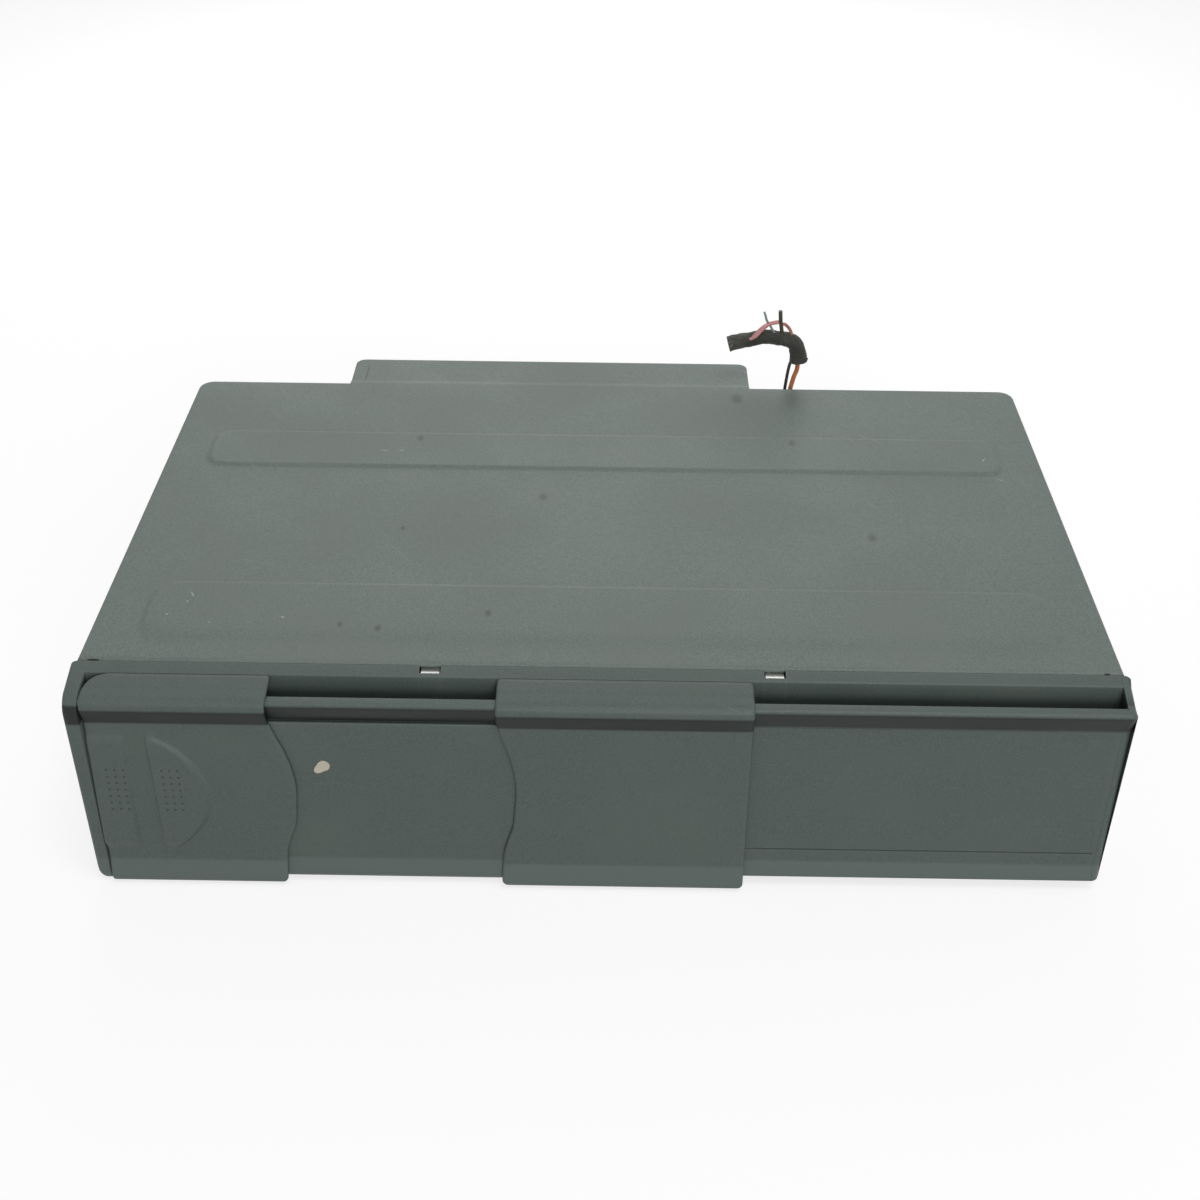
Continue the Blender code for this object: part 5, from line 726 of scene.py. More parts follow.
SCRATCHES = (
    (-64.5, 28.9, 3.0, 0.5, 10, 0.6, 60.9),
    (-59.5, 29.1, 2.2, 0.5, -8, 0.6, 60.9),
    (111.0, 27.9, 3.2, 0.5, -60, 0.6, 60.9),
    (114.1, 17.8, 2.6, 0.4, 25, 0.6, 60.3),
    (54.1, -56.3, 1.2, 0.6, 40, 0.6, 60.6),
    (87.4, -58.9, 2.4, 0.4, 25, 0.6, 60.6),
    (-24.3, -60.3, 1.8, 0.4, -35, 0.6, 60.6),
    (-105.0, -45.8, 3.0, 0.5, 60, 0.6, 60.9),
    (-105.6, -49.0, 1.6, 0.4, 75, 0.6, 60.9),
    (-80.2, -55.3, 1.4, 0.8, 15, 0.6, 60.8),
    (-109.6, -54.7, 1.0, 0.8, 0, 0.6, 60.8),
    (-98.3, -57.9, 1.2, 0.7, 60, 0.6, 60.7),
    (44.6, 83.6, 2.4, 0.4, 60, 0.6, 59.8),
)


def cover_paint_material():
    material, tree, shader = new_material("cover_paint", (0.155, 0.190, 0.172), 0.52)
    shader.inputs["Specular IOR Level"].default_value = 0.3
    grain = place_group(tree, sandy_grain, Grain_Size=0.0005, Patch_Size=0.045)
    speckle = mix_colours(
        tree, remap(tree, grain.outputs["Mottle"], 0.3, 0.7), (0.125, 0.160, 0.143), (0.174, 0.215, 0.194),
    )
    dusty = mix_colours(
        tree, remap(tree, grain.outputs["Patches"], 0.42, 0.66, 0.0, 0.5), speckle, (0.188, 0.215, 0.196),
    )
    marked = add_marks(tree, dusty, SPOTS_AND_FOLD_SHADE, (0.072, 0.086, 0.078), 0.75)
    # Painted shadow: a large soft darker patch on the cover where the harness wires cast their shadow.
    wire_shadow_painted = add_marks(tree, marked, ((57.5, 64.0, 9.0, 16.0, 0, 0.9, 60.3),), (0.11, 0.132, 0.12), 0.5)
    notch_shaded = add_marks(tree, wire_shadow_painted, CREASE_NOTCH_SHADES, (0.010, 0.012, 0.011), 1.0)
    scratched = add_marks(tree, notch_shaded, SCRATCHES, (0.46, 0.50, 0.46), 0.8)
    hair = place_group(tree, hair_scratches, Turn=0.9, Length=0.03, Amount=0.72)
    fine_line = calculate(tree, "MULTIPLY", hair.outputs["Mask"], 0.28)
    scratched = mix_colours(tree, fine_line, scratched, (0.30, 0.34, 0.31))
    rub_and_highlight = place_group(tree, edge_rub_and_highlight, Reach=0.0005)
    faint = calculate(tree, "MULTIPLY", rub_and_highlight.outputs["Mask"], 0.25)
    tree.links.new(mix_colours(tree, faint, scratched, (0.26, 0.30, 0.27)), shader.inputs["Base Color"])
    tree.links.new(remap(tree, grain.outputs["Patches"], 0.3, 0.7, 0.46, 0.60), shader.inputs["Roughness"])
    set_bump(material, grain.outputs["Height"], 0.35, 0.00006)
    return material


cover_paint = cover_paint_material()
cover = make_cover()
cover.data.materials.append(cover_paint)
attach(cover, "case")
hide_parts("top_cover")

# The rear housing: a folded box of the same painted sheet behind the case, under the cover's tongue. Its
# edges are folded with a small radius.
SHARP_FOLD = 42.0
MERGE_REACH = 0.004 * MM
FLAT_FOLD = 0.5


def finished_copy(name, node, edge, segments=2, angle=30.0):
    """A merged copy of a CAD shape with its sharp edges rounded, at the same place."""
    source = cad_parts[node]
    mesh = bmesh.new()
    mesh.from_mesh(source.data)
    bmesh.ops.remove_doubles(mesh, verts=mesh.verts, dist=MERGE_REACH)
    bmesh.ops.dissolve_limit(mesh, angle_limit=math.radians(FLAT_FOLD), verts=mesh.verts, edges=mesh.edges)
    data = plain_mesh(name, mesh)
    made = add_object(name, data)
    bevel = made.modifiers.new("edge", "BEVEL")
    bevel.width = edge
    bevel.segments = segments
    bevel.limit_method = "ANGLE"
    bevel.angle_limit = math.radians(angle)
    bevel.use_clamp_overlap = True
    bevel.harden_normals = False
    data.shade_smooth()
    data.set_sharp_from_angle(angle=math.radians(SHARP_FOLD))
    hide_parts(node)
    return made


housing = finished_copy("rear_housing_shell", "rear_housing", 0.3 * MM)
housing.data.materials.clear()
housing.data.materials.append(cover_paint)
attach(housing, "case")

# The moulded front: one dark grey-green plastic moulding with a fine spark-eroded grain. Its band slopes
# down from the cover to a channel and a rail, its fixed panel closes the right-hand half, and a cheek stands
# at the left end. The magazine passes through the mouth on the left. Where its finish changes is given as
# drops below the cover's top and distances out from the crease, in millimetres.
# The hollow and slot figures place painted shade under the rail's nose and in the slot; the foot figures
# place a painted highlight on the flared foot.
FOOT_HIGHLIGHT_DROPS = (51.6, 52.8)
HOLLOW_TOP_FADE = (0.3, 1.1)
HOLLOW_FOOT_FADE = 0.8
HOLLOW_OUTS = (10.2, 9.8)
SLOT_REAR_OUTS = (9.4, 9.0)
SLOT_FRONT_OUTS = (4.25, 4.05)
SLOT_DROPS = (3.2, 0.9)
HOLLOW_SHADE = 1.0


def front_plastic_material(name, low_drop, high_drop):
    """Grained plastic. Painted shade darkens the hollow between two drops below the top and the slot behind
    the band.
    """
    material, tree, shader = new_material(name, (0.088, 0.110, 0.100), 0.5)
    shader.inputs["Specular IOR Level"].default_value = 0.3
    grain = place_group(tree, sandy_grain, Grain_Size=0.00045, Patch_Size=0.03)
    speckle = mix_colours(
        tree, remap(tree, grain.outputs["Mottle"], 0.3, 0.7), (0.082, 0.108, 0.096), (0.106, 0.136, 0.122),
    )
    dusty = mix_colours(
        tree, remap(tree, grain.outputs["Patches"], 0.45, 0.68, 0.0, 0.5), speckle, (0.115, 0.140, 0.128),
    )
    hair = place_group(tree, hair_scratches, Turn=0.35, Length=0.022, Amount=0.70)
    fine_line = calculate(tree, "MULTIPLY", hair.outputs["Mask"], 0.3)
    dusty = mix_colours(tree, fine_line, dusty, (0.20, 0.235, 0.22))
    # Rounded edges mixed lighter: rubbing, and on the rail's and pads' noses a painted highlight.
    rub_and_highlight = place_group(tree, edge_rub_and_highlight, Reach=0.0007)
    faint = calculate(tree, "MULTIPLY", rub_and_highlight.outputs["Mask"], 0.3)
    wear_and_painted_light = mix_colours(tree, faint, dusty, (0.17, 0.20, 0.19))
    place = add_node(tree, "ShaderNodeTexCoord")
    parts = add_node(tree, "ShaderNodeSeparateXYZ", None, Vector=place.outputs["Object"])

    def by_drop(low, high, *span):
        """A blend between two drops below the cover's top."""
        return remap(tree, parts.outputs["Z"], TOP_Z - low * MM, TOP_Z - high * MM, *span)

    def by_out(low, high, *span):
        """A blend between two distances out from the crease."""
        return remap(tree, parts.outputs["Y"], CREASE_Y - low * MM, CREASE_Y - high * MM, *span)

    # Painted highlight: the upward-facing flare at the foot is mixed lighter, where the overhead light
    # catches it.
    painted_foot_highlight = by_drop(*FOOT_HIGHLIGHT_DROPS)
    wear_and_painted_light = mix_colours(tree, painted_foot_highlight, wear_and_painted_light, (0.122, 0.154, 0.139))
    # Painted shade: the cove under the rail's nose and the slot behind the band are mixed towards near black
    # where shade falls.
    below = by_drop(*(high_drop - fade for fade in HOLLOW_TOP_FADE))
    above = by_drop(low_drop, low_drop - HOLLOW_FOOT_FADE, 1.0, 0.0)
    ahead = by_out(*HOLLOW_OUTS, 1.0, 0.0)
    hollow = calculate(tree, "MULTIPLY", below, above)
    hollow = calculate(tree, "MULTIPLY", hollow, ahead)
    behind = by_out(*SLOT_REAR_OUTS)
    ahead_of_band = by_out(*SLOT_FRONT_OUTS, 1.0, 0.0)
    slot_depth = by_drop(*SLOT_DROPS, 1.0, 0.0)
    slot = calculate(tree, "MULTIPLY", behind, ahead_of_band)
    slot = calculate(tree, "MULTIPLY", slot, slot_depth)
    hollow = calculate(tree, "MAXIMUM", hollow, slot)
    hollow = calculate(tree, "MULTIPLY", hollow, HOLLOW_SHADE)
    tree.links.new(mix_colours(tree, hollow, wear_and_painted_light, (0.014, 0.018, 0.016)), shader.inputs["Base Color"])
    tree.links.new(remap(tree, grain.outputs["Patches"], 0.3, 0.7, 0.42, 0.54), shader.inputs["Roughness"])
    set_bump(material, grain.outputs["Height"], 0.3, 0.00006)
    return material


front_plastic = front_plastic_material("front_plastic", 4.2, 9.6)
door_plastic = front_plastic_material("door_plastic", 4.9, 9.8)


def rounded_turn(before, corner, after, radius, steps=4):
    """Points that round one corner of an outline."""
    back = Vector(before) - Vector(corner)
    on = Vector(after) - Vector(corner)
    reach = min(radius, back.length * 0.49, on.length * 0.49)
    start = Vector(corner) + back.normalized() * reach
    end = Vector(corner) + on.normalized() * reach
    points = []
    for step in range(steps + 1):
        t = step / steps
        points.append(tuple((1 - t) ** 2 * start + 2 * t * (1 - t) * Vector(corner) + t * t * end))
    return points


def rounded_outline(corners, closed=True):
    """An outline from corners of (out, drop, radius) in millimetres."""
    points = []
    count = len(corners)
    for index, (out, drop, radius) in enumerate(corners):
        end = not closed and index in (0, count - 1)
        if radius <= 0 or end:
            points.append((out, drop))
            continue
        before = corners[index - 1][:2]
        after = corners[(index + 1) % count][:2]
        points += rounded_turn(before, (out, drop), after, radius)
    return points


def inset_outline(points, amount):
    """Every point of a closed outline moved inwards by an amount."""
    count = len(points)
    area = sum(points[i - 1][0] * points[i][1] - points[i][0] * points[i - 1][1] for i in range(count))
    turn = 1.0 if area > 0 else -1.0
    moved = []
    for index, point in enumerate(points):
        along = Vector(points[(index + 1) % count]) - Vector(points[index - 1])
        along.normalize()
        moved.append((point[0] - along.y * turn * amount, point[1] + along.x * turn * amount))
    return moved


def moulding(mesh, outline, stations, lean=None):
    """A bar along X from an outline in (out, drop) and stations of (x, inset). lean(x, drop) shifts x."""
    rings = []
    for x, inset in stations:
        ring = []
        for out, drop in inset_outline(outline, inset) if inset else outline:
            across = x + lean(x, drop) if lean else x
            ring.append(mesh.verts.new((across * MM, CREASE_Y - out * MM, TOP_Z - drop * MM)))
        rings.append(ring)
    count = len(outline)
    faces = []
    for first, second in zip(rings, rings[1:]):
        for index in range(count):
            following = (index + 1) % count
            faces.append(mesh.faces.new((first[index], first[following], second[following], second[index])))
    faces.append(mesh.faces.new(rings[0]))
    faces.append(mesh.faces.new(rings[-1]))
    bmesh.ops.recalc_face_normals(mesh, faces=faces)


def finish_mesh(name, mesh, material, sharp=35.0):
    data = plain_mesh(name, mesh)
    data.shade_smooth()
    data.set_sharp_from_angle(angle=math.radians(sharp))
    data.materials.append(material)
    return add_object(name, data)


RAIL_NOSE = [(9.7, 2.6, 0.5), (12.45, 2.75, 0.9), (12.5, 4.15, 0.6), (10.75, 9.5, 0.5)]
BAND_AND_RAIL = [(0.3, 0.04, 0), (4.1, 0.54, 0.35), (4.1, 8.0, 0)] + [(9.7, 8.0, 0)] + RAIL_NOSE
BAND_AND_RAIL += [(8.8, 9.9, 0), (8.8, 9.6, 0), (2.6, 9.6, 0), (2.6, 2.04, 0), (0.3, 1.54, 0)]
WINDOW_SECTION = [(2.9, 0.38, 0), (4.1, 0.54, 0.35), (4.1, 8.0, 0), (9.7, 8.0, 0)] + RAIL_NOSE
WINDOW_SECTION += [(8.8, 9.9, 0), (8.8, 9.6, 0), (2.6, 9.6, 0), (2.6, 2.9, 0), (2.9, 2.9, 0)]
BEZEL_LEFT = -124.6
BEZEL_RIGHT = 126.4
PANEL_START = 16.0
PANEL_END = 125.4
CLIP_MIDDLES = (-41.2, 42.5)
CLIP_HALF = 2.6
PANEL_TOP = [(10.75, 9.4, 0), (10.55, 10.0, 0.3), (10.55, 10.6, 0.2)]
PANEL_GROOVE = [(11.75, 48.0, 0), (11.35, 48.15, 0), (11.35, 48.45, 0), (11.8, 48.6, 0)]
PANEL_FOOT = [(11.92, 52.2, 0.5), (12.95, 56.9, 0.8), (11.8, 57.7, 0.5)]
PANEL_BACK = [(2.0, 57.7, 0), (2.0, 56.2, 0), (8.8, 56.2, 0), (8.8, 9.4, 0)]
SILL = [(10.0, 46.3, 0.3), (11.7, 46.3, 0.3), (11.8, 50.0, 0), (12.2, 57.0, 0.6), (11.8, 57.7, 0.4)]
SILL += [(2.0, 57.7, 0), (2.0, 56.2, 0), (10.0, 56.2, 0)]
CHEEK = [
    (0.3, 0.04, 0), (11.3, 1.45, 2.4), (14.1, 4.6, 3.4), (14.8, 56.0, 1.6), (14.2, 60.0, 1.8),
    (0.3, 59.4, 0),
]
RIGHT_END = [
    (0.3, 0.04, 0), (4.1, 0.54, 0.35), (9.7, 2.35, 0.3), (12.45, 2.75, 0.9), (12.5, 4.15, 0.6),
    (10.75, 9.5, 0.5),
]
RIGHT_END += PANEL_TOP[1:] + PANEL_FOOT + [(0.3, 57.7, 0)]


def cheek_lean(x, drop):
    """The left cheek stands out a little at the top, and its foot is drawn in to a round corner."""
    share = min(1.0, max(0.0, (-124.8 - x) / 2.6))
    foot = max(0.0, drop - 56.8)
    drawn_in = 2.6 * (1 - math.sqrt(max(0.0, 1 - min(1.0, foot / 3.3) ** 2)))
    return share * (drawn_in - 0.5 * max(0.0, 1 - drop / 57))


def right_lean(x, drop):
    """The right end's foot is drawn in to a round corner."""
    share = min(1.0, max(0.0, (x - 126.2) / 2.2))
    foot = max(0.0, drop - 55.4)
    return -share * 2.0 * (1 - math.sqrt(max(0.0, 1 - min(1.0, foot / 2.4) ** 2)))


def make_bezel():
    mesh = bmesh.new()
    windows = [(middle - CLIP_HALF, middle + CLIP_HALF) for middle in CLIP_MIDDLES]
    runs = [(BEZEL_LEFT, windows[0][0]), (windows[0][1], windows[1][0]), (windows[1][1], BEZEL_RIGHT)]
    section = rounded_outline(BAND_AND_RAIL)
    for start, end in runs:
        moulding(mesh, section, [(start, 0.0), (end, 0.0)])
    for start, end in windows:
        moulding(mesh, rounded_outline(WINDOW_SECTION), [(start, 0.0), (end, 0.0)])
    panel = rounded_outline(PANEL_TOP + PANEL_GROOVE + PANEL_FOOT + PANEL_BACK)
    moulding(mesh, panel, [(PANEL_START, 0.0), (PANEL_END, 0.0)])
    plain_panel = rounded_outline(PANEL_TOP + PANEL_FOOT + PANEL_BACK)
    moulding(mesh, plain_panel, [(PANEL_END, 0.0), (BEZEL_RIGHT, 0.0)])
    moulding(mesh, rounded_outline(SILL), [(BEZEL_LEFT, 0.0), (PANEL_START, 0.0)])
    left = [(-127.9, 1.1), (-127.75, 0.6), (-127.35, 0.22), (-126.75, 0.0), (-124.65, 0.0), (-124.45, 0.3)]
    moulding(mesh, rounded_outline(CHEEK), left, cheek_lean)
    right = [
        (126.3, 0.0), (127.0, 0.0), (127.5, 0.08), (127.95, 0.3), (128.25, 0.62), (128.42, 1.0),
        (128.5, 1.4),
    ]
    moulding(mesh, rounded_outline(RIGHT_END), right, right_lean)
    return finish_mesh("bezel_moulding", mesh, front_plastic)


bezel = make_bezel()
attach(bezel, "case")
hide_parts("front_bezel")

# The sliding doors: two mouldings of the same plastic that hook over the rail and telescope. The thin plate
# and the centre pad are one piece, and the left pad runs outside it, with two raised grips for the fingers.
WAVE_SHIFTS = (
    (0, 0.0), (8.1, 0.0), (12.5, 1.3), (17.8, 3.2), (23.0, 4.5), (28.5, 5.1), (34.4, 4.7), (40.4, 4.0),
)
WAVE_SHIFTS += ((44.7, 2.5), (49.2, 1.2), (55.0, 0.7), (60.0, 0.5))
PAD_CORNERS = [
    (4.4, 0.62, 0), (12.3, 1.65, 0.6), (13.9, 2.3, 1.5), (14.25, 4.6, 1.3), (12.75, 9.7, 0.7),
    (12.85, 10.6, 0.5),
]
PAD_CORNERS += [(14.62, 52.0, 0.8), (15.7, 58.4, 0.9), (14.6, 59.8, 0.7), (9.4, 59.9, 0)]
PLATE_CORNERS = [
    (10.9, 9.15, 0.0), (11.75, 9.15, 0.3), (11.85, 10.4, 0.1), (13.05, 48.0, 0), (12.95, 48.7, 0),
    (13.1, 49.4, 0),
]
PLATE_CORNERS += [(13.15, 52.0, 0.8), (13.9, 57.2, 0.7), (13.0, 58.8, 0.5), (9.4, 58.8, 0)]


def table_value(table, place):
    """A smooth value between the (place, value) pairs of a table."""
    if place <= table[0][0]:
        return table[0][1]
    for index in range(len(table) - 1):
        low, high = table[index], table[index + 1]
        if place <= high[0]:
            before = table[max(index - 1, 0)]
            after = table[min(index + 2, len(table) - 1)]
            span = high[0] - low[0]
            t = (place - low[0]) / span
            rise_low = (high[1] - before[1]) / (high[0] - before[0]) * span
            rise_high = (after[1] - low[1]) / (after[0] - low[0]) * span
            first = (2 * t**3 - 3 * t**2 + 1) * low[1] + (t**3 - 2 * t**2 + t) * rise_low
            return first + (3 * t**2 - 2 * t**3) * high[1] + (t**3 - t**2) * rise_high
    return table[-1][1]


def ease(value, low, high):
    t = min(1.0, max(0.0, (value - low) / (high - low)))
    return t * t * (3 - 2 * t)


def dense_path(corners, step):
    """An open outline with rounded corners, cut into short lengths, with its outward normals."""
    points = rounded_outline(corners, closed=False)
    dense = [points[0]]
    for start, end in zip(points, points[1:]):
        pieces = max(1, math.ceil((Vector(end) - Vector(start)).length / step))
        for piece in range(1, pieces + 1):
            t = piece / pieces
            dense.append((start[0] + (end[0] - start[0]) * t, start[1] + (end[1] - start[1]) * t))
    normals = []
    for index in range(len(dense)):
        along = Vector(dense[min(index + 1, len(dense) - 1)]) - Vector(dense[max(index - 1, 0)])
        along.normalize()
        normals.append((along.y, -along.x))
    return dense, normals


def door_sheet(name, corners, left_at, right_at, lift, wall, edge, columns, material):
    """A moulded sheet across the front, rounded over at both sides. lift(x, drop) raises its face, in mm."""
    path, normals = dense_path(corners, 0.85)
    mesh = bmesh.new()
    edge_steps = [0.0, 0.12, 0.3, 0.55, 0.8, 1.0]
    rows = []
    for (out, drop), (away, down) in zip(path, normals):
        left = left_at(drop, out)
        right = right_at(drop)
        places = [(left + edge * share, share) for share in edge_steps]
        places += [(x, 1.0) for x in columns(drop, left + edge, right - edge)]
        places += [(right - edge * share, share) for share in reversed(edge_steps)]
        row = []
        for x, share in places:
            fall = edge * (1 - math.sqrt(max(0.0, 1 - (1 - share) ** 2)))
            sink = fall - lift(x, drop)
            y = CREASE_Y - (out - away * sink) * MM
            row.append(mesh.verts.new((x * MM, y, TOP_Z - (drop - down * sink) * MM)))
        rows.append(row)
    for upper, lower in zip(rows, rows[1:]):
        for index in range(len(upper) - 1):
            mesh.faces.new((upper[index], lower[index], lower[index + 1], upper[index + 1]))
    data_object = finish_mesh(name, mesh, material, 60.0)
    thickness = data_object.modifiers.new("wall", "SOLIDIFY")
    thickness.thickness = wall * MM
    thickness.offset = -1.0
    return data_object


# The doors across the front and the thickness of their walls and round edges, in millimetres
OUTER_LEFT = -124.2
OUTER_RIGHT = -79.6
CENTRE_LEFT = -24.8
CENTRE_RIGHT = 37.2
PLATE_LEFT = -83.9
PLATE_RIGHT = -20.0
TOP_ROUNDING = 4.6
ROUNDING_OUT = 10.5
ROUNDING_RUN = 6.0
CENTRE_WAVE = 0.86
PAD_FOOT = 60.2
FOOT_RADIUS = 2.6
RIGHT_FOOT_RADIUS = 2.2
OUTER_WALL, OUTER_EDGE = 0.7, 0.72
PLATE_WALL, PLATE_EDGE = 0.85, 0.4
CENTRE_WALL, CENTRE_EDGE = 1.4, 0.9


def outer_left(drop, out):
    """The left pad's left edge, rounded towards the band."""
    edge = OUTER_LEFT
    if out < ROUNDING_OUT:
        t = min(1.0, (ROUNDING_OUT - out) / ROUNDING_RUN)
        edge += TOP_ROUNDING * (1 - math.sqrt(1 - t * t))
    return edge


def foot_cut(drop, low, radius):
    """How far a rounded foot draws back at a drop."""
    reach = drop - (low - radius)
    if reach <= 0:
        return 0.0
    return radius * (1 - math.sqrt(max(0.0, 1 - min(1.0, reach / radius) ** 2)))


def outer_right(drop):
    return OUTER_RIGHT + table_value(WAVE_SHIFTS, drop) - foot_cut(drop, PAD_FOOT, FOOT_RADIUS)


def centre_left(drop, out=12.0):
    wave = CENTRE_WAVE * table_value(WAVE_SHIFTS, drop)
    return CENTRE_LEFT + wave + foot_cut(drop, PAD_FOOT, FOOT_RADIUS)


def centre_right(drop):
    return CENTRE_RIGHT - foot_cut(drop, PAD_FOOT, RIGHT_FOOT_RADIUS)


GRIP_CURVE = ((12.6, -109.6), (15.6, -103.9), (21.0, -98.8), (25.5, -96.7), (30.7, -95.7), (36.1, -96.0))
GRIP_CURVE += ((41.4, -98.9), (45.8, -102.7), (49.6, -107.0))
LEFT_GRIP_EDGE = (-116.1, -114.6)
STEEP_EDGE_X = -110.1
STEEP_EDGE_SHIFT = 0.8
STEEP_EDGE_TOP = 13.0
STEEP_EDGE_RUN = 32.0
STEEP_WIDTH = 0.6
SLOPE_WIDTH = 2.0
LEAST_GRIP_WIDTH = 3.4
GRIP_RISE = 0.7
GRIP_CLIMB = 0.6
CLIMB_DROPS = (15.0, 46.0)
GRIP_TOP_DROPS = (12.0, 15.0)
GRIP_FOOT_DROPS = (45.5, 49.3)


def grip_sides(drop):
    """The right grip's steep left edge and the foot of its soft right slope, at a drop."""
    steep = STEEP_EDGE_X + STEEP_EDGE_SHIFT * (drop - STEEP_EDGE_TOP) / STEEP_EDGE_RUN
    return steep, max(table_value(GRIP_CURVE, drop) + 0.2, steep + LEAST_GRIP_WIDTH)


def finger_grips(x, drop):
    """The two raised grips: low at the top, highest at the foot, with a steep edge that a finger pushes."""
    height = GRIP_RISE + GRIP_CLIMB * ease(drop, *CLIMB_DROPS)
    height = height * ease(drop, *GRIP_TOP_DROPS) * (1 - ease(drop, *GRIP_FOOT_DROPS))
    steep, slope = grip_sides(drop)
    first = 1 - ease(x, *LEFT_GRIP_EDGE)
    second = ease(x, steep, steep + STEEP_WIDTH) * (1 - ease(x, slope - SLOPE_WIDTH, slope))
    return height * (first + second)


def grip_columns(drop, left, right):
    """Places across the left pad that follow the edges of the grips."""
    steep, slope = grip_sides(drop)
    marks = [left, -116.2, -114.5, steep - 0.1, steep + 0.7, slope - SLOPE_WIDTH, slope, right]
    places = [left]
    for start, end, count in zip(marks, marks[1:], (10, 6, 5, 5, 12, 6, 14)):
        places += [start + (end - start) * step / count for step in range(1, count + 1)]
    return places[1:-1]


def flat_face(x, drop):
    return 0.0


def wide_columns(drop, left, right):
    return [left + (right - left) * step / 20 for step in range(1, 20)]


outer = door_sheet(
    "outer_door_moulding", PAD_CORNERS, outer_left, outer_right, finger_grips, OUTER_WALL, OUTER_EDGE,
    grip_columns, door_plastic,
)
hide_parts("outer_door")
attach(outer, "outer_door")


def plate_left(drop, out):
    return PLATE_LEFT


def plate_right(drop):
    return PLATE_RIGHT


plate = door_sheet(
    "plate_moulding", PLATE_CORNERS, plate_left, plate_right, flat_face, PLATE_WALL, PLATE_EDGE,
    wide_columns, front_plastic,
)
centre = door_sheet(
    "centre_pad_moulding", PAD_CORNERS, centre_left, centre_right, flat_face, CENTRE_WALL, CENTRE_EDGE,
    wide_columns, door_plastic,
)
for piece in (plate, centre):
    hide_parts("inner_door")
    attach(piece, "inner_door")


CHIP_SIDES = 28
CHIP_PLACE = (-67.4, 22.3)
CHIP_RADIUS = 1.55
CHIP_POINT = 1.5
POINT_ANGLE = 222


def make_chip():
    """A flake of bare beige primer where the plate's finish is chipped, drop-shaped."""
    mesh = bmesh.new()
    rings = []
    for lift in (0.0, 0.04):
        ring = []
        for step in range(CHIP_SIDES):
            angle = math.tau * step / CHIP_SIDES
            point = max(0.0, math.cos(angle - math.radians(POINT_ANGLE))) ** 6
            reach = CHIP_RADIUS + CHIP_POINT * point + 0.03 * math.sin(5 * angle)
            x = CHIP_PLACE[0] + reach * math.cos(angle)
            drop = CHIP_PLACE[1] - reach * math.sin(angle)
            out = 11.87 + 1.2 * (drop - 10.4) / 37.6 + lift
            ring.append(mesh.verts.new((x * MM, CREASE_Y - out * MM, TOP_Z - drop * MM)))
        rings.append(ring)
    for index in range(CHIP_SIDES):
        following = (index + 1) % CHIP_SIDES
        mesh.faces.new((rings[0][index], rings[0][following], rings[1][following], rings[1][index]))
    mesh.faces.new(rings[0])
    mesh.faces.new(rings[1])
    bmesh.ops.recalc_face_normals(mesh, faces=mesh.faces)
    return finish_mesh(
        "primer_chip", mesh, moulded_material("beige_primer", (0.62, 0.57, 0.45), 0.7, (0.72, 0.67, 0.56)),
    )


def moulded_material(name, colour, roughness, light):
    """Moulded plastic with faint flow clouds and a very fine grain."""
    material, tree, shader = new_material(name, colour, roughness)
    grain = place_group(tree, sandy_grain, Grain_Size=0.0004, Patch_Size=0.02)
    tree.links.new(
        mix_colours(tree, remap(tree, grain.outputs["Patches"], 0.35, 0.7), colour, light),
        shader.inputs["Base Color"],
    )
    set_bump(material, grain.outputs["Height"], 0.15, 0.00005)
    return material


chip = make_chip()
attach(chip, "inner_door")


def geometry_tree(name, inputs):
    """An empty geometry tree with named inputs and one geometry output."""
    tree = bpy.data.node_groups.new(name, "GeometryNodeTree")
    for label, kind, value in inputs:
        socket = tree.interface.new_socket(label, in_out="INPUT", socket_type=kind)
        if value is not None:
            socket.default_value = value
    tree.interface.new_socket("Geometry", in_out="OUTPUT", socket_type="NodeSocketGeometry")
    return tree, tree.nodes.new("NodeGroupInput"), tree.nodes.new("NodeGroupOutput")


def build_dot_tree():
    """Grip dots: an even field of small low domes."""
    tree, inside, outside = geometry_tree("grip_dots", (
        ("Width", "NodeSocketFloat", 0.009),
        ("Height", "NodeSocketFloat", 0.013),
        ("Columns", "NodeSocketInt", 6),
        ("Rows", "NodeSocketInt", 9),
        ("Dot Radius", "NodeSocketFloat", 0.0004),
        ("Material", "NodeSocketMaterial", None),
    ))
    grid = add_node(tree, "GeometryNodeMeshGrid", None)
    tree.links.new(inside.outputs["Width"], grid.inputs["Size X"])
    tree.links.new(inside.outputs["Height"], grid.inputs["Size Y"])
    tree.links.new(inside.outputs["Columns"], grid.inputs["Vertices X"])
    tree.links.new(inside.outputs["Rows"], grid.inputs["Vertices Y"])
    dome = add_node(tree, "GeometryNodeMeshUVSphere", None, Segments=8, Rings=5)
    tree.links.new(inside.outputs["Dot Radius"], dome.inputs["Radius"])
    low = add_node(tree, "GeometryNodeTransform", None, Scale=(1.0, 1.0, 0.5))
    tree.links.new(dome.outputs["Mesh"], low.inputs["Geometry"])
    placed = add_node(tree, "GeometryNodeInstanceOnPoints", None)
    tree.links.new(grid.outputs["Mesh"], placed.inputs["Points"])
    tree.links.new(low.outputs["Geometry"], placed.inputs["Instance"])
    real = add_node(tree, "GeometryNodeRealizeInstances", None)
    tree.links.new(placed.outputs["Instances"], real.inputs["Geometry"])
    dressed = add_node(tree, "GeometryNodeSetMaterial", None)
    tree.links.new(real.outputs["Geometry"], dressed.inputs["Geometry"])
    tree.links.new(inside.outputs["Material"], dressed.inputs["Material"])
    tree.links.new(dressed.outputs["Geometry"], outside.inputs["Geometry"])
    return tree


